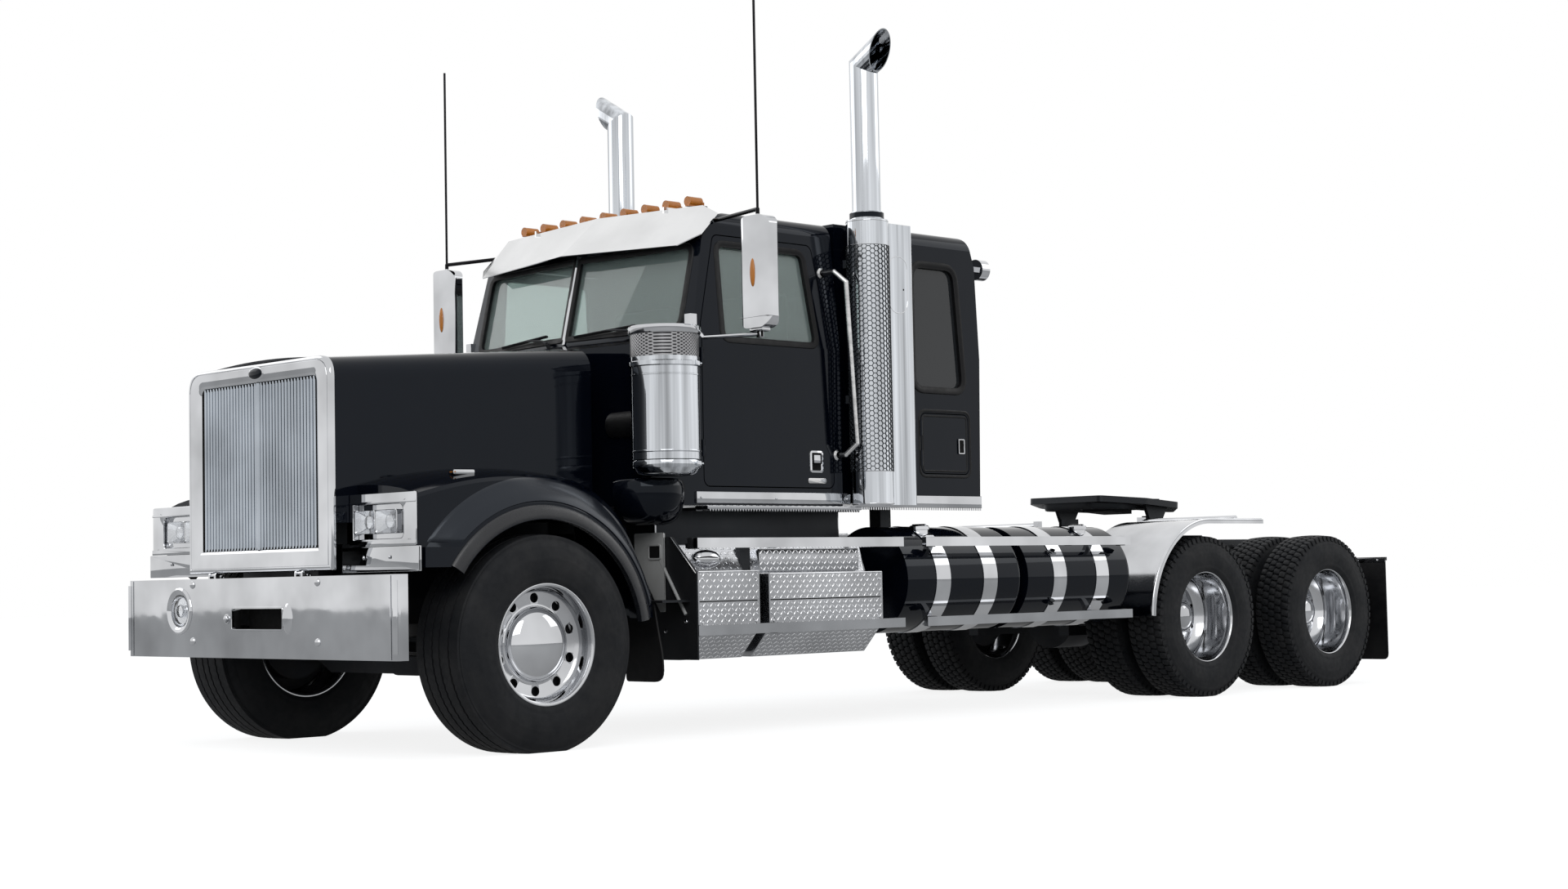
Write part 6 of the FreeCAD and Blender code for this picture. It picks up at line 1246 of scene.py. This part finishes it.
# each box is its front, back and top; each block is its reach outwards, stations, heights, edge and finish
boxLook = {"boxes": ((1.0, 1.44, 0.855), (1.506, 2.379, 0.838)), "inner": 0.47, "outer": 1.196,
           "riser": 1.06, "rest": (1.02, 0.99), "toe": (1.046, 0.4), "knee": 0.56, "seam": (0.697, 0.703),
           "margin": 0.006, "edge": 0.005, "rim": (0.003, 0.002, 0.005), "groove": (1.195, 1.1975),
           "grooveEnds": (0.01, 0.02), "boltIn": 0.03, "boltLow": 0.59, "boltDrop": 0.04, "bolt": 0.006,
           "blocks": (((0.47, 0.87), (1.0, 2.379), (0.988, 1.19), 0.01, 2),
                      ((0.47, 1.05), (1.435, 1.511), (0.43, 0.98), 0, 2),
                      ((1.02, 1.072), (1.556, 2.319), (0.85, 0.97), 0.004, 0)),
           "panel": ((1.561, 2.314), (1.072, 0.852), (1.072, 0.968)), "dome": (1.04, 1.2, 0.92),
           "domeWide": 0.1, "domeTall": 0.05, "domeRise": 0.055,
           "domeShares": (1.0, 0.96, 0.85, 0.65, 0.35, 0.05)}


def makeBoxes(side):
    look = boxLook
    shape = Shape(treadPlate, chrome, chassisPaint, blackTrimAndRecessShade, treadRib)
    inner, outer, riser, toe, rest = [look[word] for word in ("inner", "outer", "riser", "toe", "rest")]
    knee, margin = (outer, look["knee"]), look["margin"]
    for front, back, top in look["boxes"]:
        low, high = look["seam"]
        brim, ridge = (outer, top), (riser, top)
        panels = ((knee, (outer, low)), ((outer, high), brim), (toe, knee), (brim, ridge), (ridge, rest))
        for edge, farEdge in panels:
            treaded(shape, side, (front + margin, back - margin), edge, farEdge, 4)
        outline = [(inner, toe[1]), toe, knee, brim, ridge, rest, (inner, rest[1])]
        section = [place(side * x, front, z) for x, z in outline]
        shape.slab(section, (0, back - front, 0), look["edge"])
        sink, drop, radius = look["rim"]
        ends = (front + margin, back - margin)
        shape.tube([place(side * (outer - sink), station, top - drop) for station in ends], radius, 10, 1)
        first, last = look["grooveEnds"]
        shape.block(side, look["groove"], (front + first, back - last), look["seam"], 0, 3)
        for station in (front + look["boltIn"], back - look["boltIn"]):
            for z in (look["boltLow"], top - look["boltDrop"]):
                shape.bolt(place(side * outer, station, z), (side, 0, 0), look["bolt"], 1)
    for block in look["blocks"]:
        shape.block(side, *block)
    treaded(shape, side, *look["panel"], 4)
    x, station, z = look["dome"]
    levels = [(share, look["domeRise"] * math.sqrt(1 - share ** 2)) for share in look["domeShares"]]
    wide, tall = (0, look["domeWide"], 0), (0, 0, look["domeTall"])
    rows = ovalRings(place(side * x, station, z), wide, tall, (side, 0, 0), levels, 40)
    shape.skinned(rows, 1, around=True, caps=True)
    made = shape.made("stepBoxes_" + sideWord(side), 30)
    fit(made, "chassis", "tread_plate", *leftOnly(side, "step_boxes"))


ledgeLook = {"board": ((0.975, 1.075), (1.19, 2.352), (1.181, 1.2), 0.004),
             "tread": ((1.194, 2.348), (1.075, 1.2), (0.995, 1.2)), "teeth": 58, "teethFrom": 1.21,
             "teethTo": 2.332, "tooth": ((-0.008, 1.183), (0.008, 1.183), (0, 1.169)), "toothReach": 1.063,
             "toothThick": 0.011, "sill": ((0.97, 0.992), (1.19, 2.352), (1.215, 1.277), 0.004, 1),
             "arms": (1.22, 1.771, 2.322), "arm": ((0.86, 0.975), 0.02, (1.175, 1.194), 0.002, 2),
             "boltAt": (0.992, 1.245), "bolt": 0.006}


def makeLedge(side):
    look = ledgeLook
    shape = Shape(treadPlate, chrome, chassisPaint, treadRib)
    shape.block(side, *look["board"])
    treaded(shape, side, *look["tread"], 3)
    for order in range(look["teeth"]):
        station = look["teethFrom"] + (look["teethTo"] - look["teethFrom"]) * order / (look["teeth"] - 1)
        tooth = [place(side * look["toothReach"], station + reach, z) for reach, z in look["tooth"]]
        shape.slab(tooth, (side * look["toothThick"], 0, 0))
    shape.block(side, *look["sill"])
    x, z = look["boltAt"]
    reach, half, heights, edge, finish = look["arm"]
    for station in look["arms"]:
        shape.bolt(place(side * x, station, z), (side, 0, 0), look["bolt"], 1)
        shape.block(side, reach, (station - half, station + half), heights, edge, finish)
    made = shape.made("cabLedge_" + sideWord(side), 30)
    fit(made, "chassis", "tread_plate", *leftOnly(side, "cab_steps"))


# each rail is its front, its back and where its knuckle sits between them
railLook = {"x": 1.216, "rails": ((0.958, 2.505, 0.36), (2.765, 4.56, 0.68)), "heights": (0.975, 0.528),
            "tall": 0.052, "clamp": (1.166, 1.204), "clampWide": 0.05, "clampOver": (0.004, 0.002),
            "knuckle": ((-0.003, 0), (-0.003, 0.02), (0, 0.026), (0.052, 0.026), (0.053, 0.02), (0.053, 0)),
            "pin": ((-0.04, 0.016), (-0.012, 0.016))}


def makeRailParts(side):
    look = railLook
    shape = Shape(chassisPaint, chrome)
    low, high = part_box("step_rails")
    x, tall, wide = side * look["x"], look["tall"], look["clampWide"]
    under, over = look["clampOver"]
    for z in look["heights"]:
        for front, back, share in look["rails"]:
            front, back = max(front, low.y - axleY), min(back, high.y - axleY)
            for end in (front, back - wide):
                shape.block(side, look["clamp"], (end, end + wide), (z - under, z + tall + over), 0.004)
            station = front + (back - front) * share
            finish = 1 if z == max(look["heights"]) else 0
            shape.turned(look["knuckle"], place(x, station, z), "Z", 28, finish)
            shape.turned(look["pin"], place(x, station, z + tall / 2), "X", 20, flip=side)
    fit(shape.made("railParts_" + sideWord(side)), "chassis", "chassis_black")


# lines and outlines of (x, z) points on the plate's face
splashLook = {"station": 0.95, "rod": ((0.957, 0.942), (1.164, 0.637)), "rodRadius": 0.009,
              "rodStation": 0.943, "edge": ((1.05, 1.034), (1.24, 0.844)), "edgeRadius": 0.006,
              "edgeStation": 0.947, "bolts": ((1.16, 0.6), (1.0, 0.55)), "bolt": 0.008,
              "bracket": ((0.78, 1.06), (1.01, 1.06), (1.01, 0.65), (0.975, 0.65), (0.78, 0.94)),
              "bracketStation": 0.935, "bracketThick": 0.01, "corner": 0.008, "bracketEdge": 0.002,
              "hole": (0.9, 0.93, 0.98, 0.99), "holeCorner": 0.006, "holeRim": -0.012,
              "holeRings": ((0, 0.001), (0.2, -0.005), (0.8, -0.005), (1, 0.001)),
              "holeBack": (0.9335, 0.001)}


def makeSplashParts(side):
    look = splashLook
    shape = Shape(stainless, brightPlate, chrome, blackTrimAndRecessShade)
    for word, sides, finish in (("rod", 12, 1), ("edge", 8, 0)):
        line = [place(side * x, look[word + "Station"], z) for x, z in look[word]]
        shape.tube(line, look[word + "Radius"], sides, finish)
    for x, z in look["bolts"]:
        shape.bolt(place(side * x, look["station"], z), (0, -1, 0), look["bolt"], 2)
    station = look["bracketStation"]
    plate = softOutline([(side * x, z) for x, z in look["bracket"]], look["corner"])
    shape.slab(onFront(plate, station), (0, look["bracketThick"], 0), look["bracketEdge"], 1)
    left, low, right, high = look["hole"]
    hole = softPanel(side * left, low, side * right, high, look["holeCorner"])
    beadOnFront(shape, hole, (look["holeRim"], 0), station, look["holeRings"], 1)
    # the hole's back is a near-black slab: painted shade in the hole
    back, thick = look["holeBack"]
    shape.slab(onFront(hole, back), (0, thick, 0), finish=3)
    fit(shape.made("splashParts_" + sideWord(side)), "chassis", "stainless")


rearLook = {"axle": (2.101, 0.511), "hemX": 1.212, "hemRadius": 0.62, "hem": 0.011, "back": 2.69,
            "arc": (178, 90, 28), "barReach": (0.622, 1.22), "barBack": (0.026, 0.02),
            "barHigh": (0.836, 0.868), "barEdge": 0.002, "bolts": (0.1, 0.37, 0.63, 0.9), "bolt": 0.007,
            "lamps": (0.36, 0.24), "lampHigh": 0.93, "lampBack": 0.014,
            "lamp": ((0, 0.05), (0.012, 0.05), (0.02, 0.044), (0.022, 0))}


def makeRearParts(side):
    look = rearLook
    y, z = look["axle"]
    x, radius = side * look["hemX"], look["hemRadius"]
    shape = Shape(polished, chrome, redLens)
    start, stop, steps = look["arc"]
    angles = [math.radians(start + (stop - start) * step / steps) for step in range(steps + 1)]
    line = [Vector((x, y + radius * math.cos(angle), z + radius * math.sin(angle))) for angle in angles]
    shape.tube(line + [Vector((x, look["back"], z + radius))], look["hem"], 14)
    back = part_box("flap_hangers")[1].y
    near, far = look["barReach"]
    bottom, top = look["barHigh"]
    first, last = [back - part for part in look["barBack"]]
    shape.box((side * near, first, bottom), (side * far, last, top), look["barEdge"], 1)
    for share in look["bolts"]:
        spot = (side * (near + (far - near) * share), first, (bottom + top) / 2)
        shape.bolt(spot, (0, -1, 0), look["bolt"], 1)
    for x in look["lamps"]:
        shape.turned(look["lamp"], (side * x, back - look["lampBack"], look["lampHigh"]), "Y", 28, 2)
    fit(shape.made("rearParts_" + sideWord(side), 40), "chassis", "polished_aluminium")


tankLook = {"x": 0.892, "z": 0.79, "radius": 0.302, "nut": -52, "nutLift": 0.006, "strapIn": 0.06,
            "strapOff": 0.085, "nutBlock": (0.004, 0.035, 0.03), "nutEdge": 0.003,
            "screw": (0.006, 0.02, 0.007), "caps": 0.3, "capAt": (1.012, 1.062),
            "bar": ((-0.05, -0.006, 0.036), (0.05, 0.006, 0.044)), "barEdge": 0.002,
            "cap": ((-0.03, 0.05), (0.01, 0.05), (0.012, 0.058), (0.03, 0.058), (0.036, 0.05), (0.038, 0))}


def makeTankParts(side):
    look = tankLook
    shape = Shape(chrome, chassisPaint)
    low, high = [corner.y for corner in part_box("tank_straps")]
    front, back = [corner.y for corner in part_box("fuel_tanks")]
    middle, reach = (front + back) / 2, low - front + look["strapOff"]
    angle = math.radians(look["nut"])
    turn = Matrix.Rotation(-side * angle, 3, "Y")
    radius = look["radius"] + look["nutLift"]
    x, z = look["x"] + radius * math.cos(angle), look["z"] + radius * math.sin(angle)
    half = Vector(look["nutBlock"])
    out, along, thick = look["screw"]
    for y in (low + look["strapIn"], middle - reach, middle + reach, high - look["strapIn"]):
        spot = Vector((side * x, y, z))
        shape.box(spot - half, spot + half, look["nutEdge"], 1, turn)
        shape.tube([spot + Vector((side * out, way * along, 0)) for way in (-1, 1)], thick, 10)
    for y in (front + look["caps"], back - look["caps"]):
        cap = Vector((side * look["capAt"][0], y, look["capAt"][1]))
        shape.turned(look["cap"], cap, "Z", 32)
        low, high = [cap + Vector(corner) for corner in look["bar"]]
        shape.box(low, high, look["barEdge"])
    fit(shape.made("tankParts_" + sideWord(side)), "chassis", "chrome")


for side in (-1, 1):
    makeBoxes(side)
    makeLedge(side)
    makeRailParts(side)
    makeSplashParts(side)
    makeRearParts(side)
    makeTankParts(side)
print("sides made")


# grille bars, fender flares, bands, flaps, coupling and frame parts
barLook = {"count": 37, "half": 0.527, "heights": (1.004, 1.831), "station": -0.833, "bulge": 0.009,
           "steps": 8, "wide": 0.0185, "middleWide": 0.03, "middleLift": 0.004, "backing": (-0.821, -0.817)}


def makeBars():
    look = barLook
    shape = Shape(barMetal, blackTrimAndRecessShade)
    half = look["half"]
    pitch = 2 * half / (look["count"] + 1)
    angles = [math.pi * step / look["steps"] for step in range(look["steps"] + 1)]
    for order in range(look["count"]):
        middle = order == look["count"] // 2
        wide = look["middleWide"] if middle else look["wide"]
        front = look["station"] - (look["middleLift"] if middle else 0)
        x = -half + pitch * (order + 1)
        ridge = [(x - wide / 2 * math.cos(angle), front - look["bulge"] * math.sin(angle))
                 for angle in angles]
        shape.skinned([[place(*spot, z) for spot in ridge] for z in look["heights"]])
    # a near-black sheet behind the bars: painted shade inside the grille
    shape.block(1, (-half, half), look["backing"], look["heights"], 0, 1)
    fit(shape.made("grilleBars", 60), "hood", "polished_aluminium", "grille_bars")


flareLook = {"hub": 0.516, "rear": 9, "front": 145, "steps": 90,
             "profile": ((1.196, 0.676), (1.204, 0.674), (1.211, 0.664), (1.217, 0.65), (1.221, 0.63),
                         (1.2225, 0.612), (1.22, 0.605), (1.21, 0.6035), (1.19, 0.6045))}


def makeFlare(side):
    look = flareLook
    shape = Shape(flareRubber)
    start, sweep = math.radians(look["rear"]), math.radians(look["front"] - look["rear"])
    hub = place(0, 0, look["hub"])
    shape.turned(look["profile"], hub, "X", look["steps"], flip=side, sweep=sweep, start=start)
    fit(shape.made("fenderFlare_" + sideWord(side), 60), "hood", "rubber")


# the section is pairs of a share of the band's width and a lift off the fender
bandLook = {"inner": 0.69, "outer": 0.815, "rear": 14, "steps": 84, "foot": 1.008,
            "widen": (0.15, 125 / 70), "sink": -0.004, "x": 1.2, "ray": 1.5,
            "section": ((0, -0.004), (0.04, 0.005), (0.15, 0.009), (0.5, 0.012), (0.85, 0.009),
                        (0.96, 0.005), (1, -0.004))}


# the broad band round the arch is laid on the fender's own skin, in a lighter black that is a painted sheen:
# the sky's reflection on the band
def makeBand(side):
    look = bandLook
    skin, hub, steps = nodes["fender_" + sideWord(side)], flareLook["hub"], look["steps"]
    shape = Shape(bandPaintedSheen)
    rows = []
    x = side * look["x"]
    first, growth = look["widen"]
    for step in range(steps + 1):
        part = step / steps
        wide = (look["outer"] - look["inner"]) * math.sin(math.pi / 2 * min(first + part * growth, 1))
        row = []
        for share, lift in look["section"]:
            radius = look["inner"] + wide * share
            front = 180 - math.degrees(math.asin((look["foot"] - hub) / radius))
            angle = math.radians(look["rear"] + (front - look["rear"]) * part)
            y, z = axleY + radius * math.cos(angle), hub + radius * math.sin(angle)
            met, spot = skin.ray_cast(Vector((side * look["ray"], y, z)), Vector((-side, 0, 0)))[:2]
            x = spot.x if met else x
            row.append(Vector((x + side * (look["sink"] if step in (0, steps) else lift), y, z)))
        rows.append(row)
    shape.skinned(rows)
    fit(shape.made("fenderBand_" + sideWord(side), 50), "hood", "black_paint")


flapLook = {"rear": (0.622, 0.157, 1.22, 0.85), "rearCorners": [0.04, 0.04, 0.002, 0.002], "thick": 0.01,
            "edge": 0.002, "bead": (0.03, 0.008),
            "beadRings": ((0, 0), (0.3, 0.0015), (0.7, 0.0015), (1, 0)),
            "front": ((0.9, 0.7), (1.12, 0.7), (1.15, 0.56), (1.185, 0.42), (1.185, 0.3), (0.9, 0.3)),
            "frontCorners": [0.004, 0.01, 0.05, 0.06, 0.07, 0.02], "frontStation": 0.762,
            "bolts": (0.93, 1.01, 1.09), "boltHigh": 0.68, "bolt": 0.007}


def makeFlaps(side):
    look = flapLook
    shape = Shape(blackRubber, chrome)
    back, thick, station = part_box("mud_flaps")[1].y - axleY, look["thick"], look["frontStation"]
    left, low, right, high = look["rear"]
    rear = softPanel(side * left, low, side * right, high, look["rearCorners"])
    shape.slab(onFront(rear, back - thick), (0, thick, 0), look["edge"])
    inset, wide = look["bead"]
    beadOnFront(shape, insetLine(rear, inset), (0, wide), back, look["beadRings"])
    front = softOutline([(side * x, z) for x, z in look["front"]], look["frontCorners"])
    shape.slab(onFront(front, station), (0, thick, 0), look["edge"])
    for x in look["bolts"]:
        shape.bolt(place(side * x, station, look["boltHigh"]), (0, -1, 0), look["bolt"], 1)
    fit(shape.made("flaps_" + sideWord(side)), "chassis", "rubber", *leftOnly(side, "mud_flaps"))


# the outline and the arms are shares of the plate's half width and half length
couplingLook = {"wide": 0.36, "margin": 0.02, "corner": 0.05, "drop": 0.02, "lip": 0.93,
                "outline": ((-1, -0.55), (-0.6, -1), (0.6, -1), (1, -0.55), (1, 0.4), (0.8, 0.45),
                            (-0.8, 0.45), (-1, 0.4)),
                "rings": ((0, 0), (0, -0.05), (0.2, -0.07), (0.8, -0.07), (1, -0.05), (1, 0)),
                "arm": ((0.5, -0.2), (0.85, -0.05)), "armDrop": 0.045, "armRadius": 0.012}


def makeCoupling():
    look = couplingLook
    low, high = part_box("fifth_wheel_plate")
    middle = (low.y + high.y) / 2
    halfX, halfY = (high.x - low.x) * look["wide"], (high.y - low.y) / 2 - look["margin"]
    shape = Shape(chassisPaint, castMetal)
    outline = softOutline([(halfX * x, halfY * y) for x, y in look["outline"]], look["corner"])
    z = high.z - look["drop"]
    outer, inner = [[Vector((point.x * share, middle + point.y * share, z)) for point in outline]
                    for share in (1, look["lip"])]
    shape.framed(outer, inner, look["rings"], (0, 0, 1))
    for side in (-1, 1):
        line = [Vector((side * halfX * x, middle + y, high.z - look["armDrop"])) for x, y in look["arm"]]
        shape.tube(line, look["armRadius"], 12, 1)
    fit(shape.made("couplingRibs"), "fifth_wheel", "chassis_black")


frameLook = {"bolts": 18, "boltsFrom": 2.75, "boltGap": 0.27, "boltEnd": 0.1, "boltX": 0.43,
             "boltHeights": (0.79, 0.97),
             "bolt": ((0, 0.016), (0.004, 0.016), (0.005, 0.012), (0.016, 0.011), (0.018, 0)),
             "stub": ((0.3, -0.05, 0.86), (0.38, -0.002, 0.9)), "feet": 9, "footIn": 0.035,
             "foot": ((-0.03, -0.004, -0.085), (0.03, 0.02, -0.045)), "edge": 0.004, "treadIn": 0.01}


def makeFrameParts():
    look = frameLook
    shape = Shape(castMetal, chassisPaint)
    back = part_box("frame_rails")[1].y
    for side in (-1, 1):
        for order in range(look["bolts"]):
            y = axleY + look["boltsFrom"] + look["boltGap"] * order
            if y > back - look["boltEnd"]:
                break
            for z in look["boltHeights"]:
                shape.turned(look["bolt"], (side * look["boltX"], y, z), "X", 8, flip=side)
        near, far = [(side * x, back + y, z) for x, y, z in look["stub"]]
        shape.box(near, far, look["edge"], 1)
    fit(shape.made("frameBolts"), "chassis", "chassis_black")
    roof = Shape(chassisPaint)
    low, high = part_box("roof_lights")
    first, last = low.x + look["footIn"], high.x - look["footIn"]
    for order in range(look["feet"]):
        x = first + (last - first) * order / (look["feet"] - 1)
        near, far = [Vector((x, high.y, high.z)) + Vector(corner) for corner in look["foot"]]
        roof.box(near, far, look["edge"])
    fit(roof.made("lampFeet"), "chassis", "black_paint")
    deck = Shape(treadRib)
    low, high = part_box("deck_plate")
    margin = look["treadIn"]
    stations = (low.y - axleY + margin, high.y - axleY - margin)
    treaded(deck, 1, stations, (high.x - margin, high.z), (low.x + margin, high.z), 0)
    fit(deck.made("deckTread"), "chassis", "tread_plate")


makeBars()
for side in (-1, 1):
    makeFlare(side)
    makeBand(side)
    makeFlaps(side)
makeCoupling()
makeFrameParts()
print("flares, flaps and coupling made")


# camera, lights and floor
viewLook = {"lens": 54.49, "sensor": 36, "far": 200, "at": (10.22056, -10.51709, 0.817457), "yaw": 45.62011,
            "pitch": 3.19664, "roll": -1.1535}


def makeCamera():
    look = viewLook
    camera = bpy.data.objects.new("camera", bpy.data.cameras.new("camera"))
    scene.collection.objects.link(camera)
    camera.data.lens = look["lens"]
    camera.data.sensor_width = look["sensor"]
    camera.data.clip_end = look["far"]
    turn = Matrix.Rotation(math.radians(look["yaw"]), 4, "Z")
    tilt = Matrix.Rotation(math.radians(90 + look["pitch"]), 4, "X")
    roll = Matrix.Rotation(math.radians(look["roll"]), 4, "Z")
    camera.matrix_world = Matrix.Translation(look["at"]) @ turn @ tilt @ roll
    scene.camera = camera


def makeLamp(name, at, aim, size, power):
    lamp = bpy.data.objects.new(name, bpy.data.lights.new(name, "AREA"))
    scene.collection.objects.link(lamp)
    lamp.data.shape = "RECTANGLE"
    lamp.data.size, lamp.data.size_y = size
    lamp.data.energy = power
    lamp.location = at
    lamp.rotation_euler = (Vector(aim) - Vector(at)).to_track_quat("-Z", "Y").to_euler()


# each lamp is its name, place, aim, size and power
studioLook = {"ambient": 0.55, "sky": (0.9, 0.95, 1), "floor": 60, "lift": 0.86, "sheen": 0.26,
              "shade": 0.3, "rough": 0.9,
              "lamps": (("keyLamp", (9, -9, 9), (0, 0, 1.2), (8, 8), 500),
                        ("fillLamp", (-9, -6, 7), (0, 0, 1.5), (8, 6), 160),
                        ("backLamp", (6, 10, 8), (0, 1, 1.5), (8, 6), 160))}


# whether a ray comes from the camera, a glossy face or through glass
def rayKinds(owner):
    kinds = ("Is Camera Ray", "Is Glossy Ray", "Is Transmission Ray")
    return [owner.node("ShaderNodeLightPath", {}, {}, kind) for kind in kinds]


# white behind the truck and in its reflections; the floor keeps a soft shadow
def makeStudio():
    look = studioLook
    world = bpy.data.worlds.new("studio")
    scene.world = world
    world.use_nodes = True
    world.node_tree.nodes.clear()
    sky = Nodes(world.node_tree)
    camera, glossy, passing = rayKinds(sky)
    soft = sky.node("ShaderNodeBackground", {}, {"Color": look["sky"], "Strength": look["ambient"]})
    white = sky.node("ShaderNodeBackground", {}, {"Color": (1, 1, 1), "Strength": 1.0})
    shown = 1 - (1 - camera) * (1 - glossy) * (1 - passing)
    mixed = sky.node("ShaderNodeMixShader", {}, {0: shown, 1: soft, 2: white})
    sky.node("ShaderNodeOutputWorld", {}, {0: mixed})
    far = look["floor"]
    mesh = bpy.data.meshes.new("floor")
    mesh.from_pydata([(-far, -far, 0), (far, -far, 0), (far, far, 0), (-far, far, 0)], [], [(0, 1, 2, 3)])
    floor = bpy.data.objects.new("floor", mesh)
    scene.collection.objects.link(floor)
    pale = Finish("paleFloor", Roughness=look["rough"], Base_Color=(look["shade"],) * 3,
                  Specular_IOR_Level=0.0, Emission_Strength=1.0)
    camera, glossy, passing = rayKinds(pale)
    lift = (camera + passing) * look["lift"] + glossy * look["sheen"]
    pale.give("Emission Color", pale.blend(lift, (0.0, 0.0, 0.0), (1.0, 1.0, 1.0)))
    mesh.materials.append(pale.material)
    for lamp in look["lamps"]:
        makeLamp(*lamp)


makeCamera()
makeStudio()
print("camera and studio made")
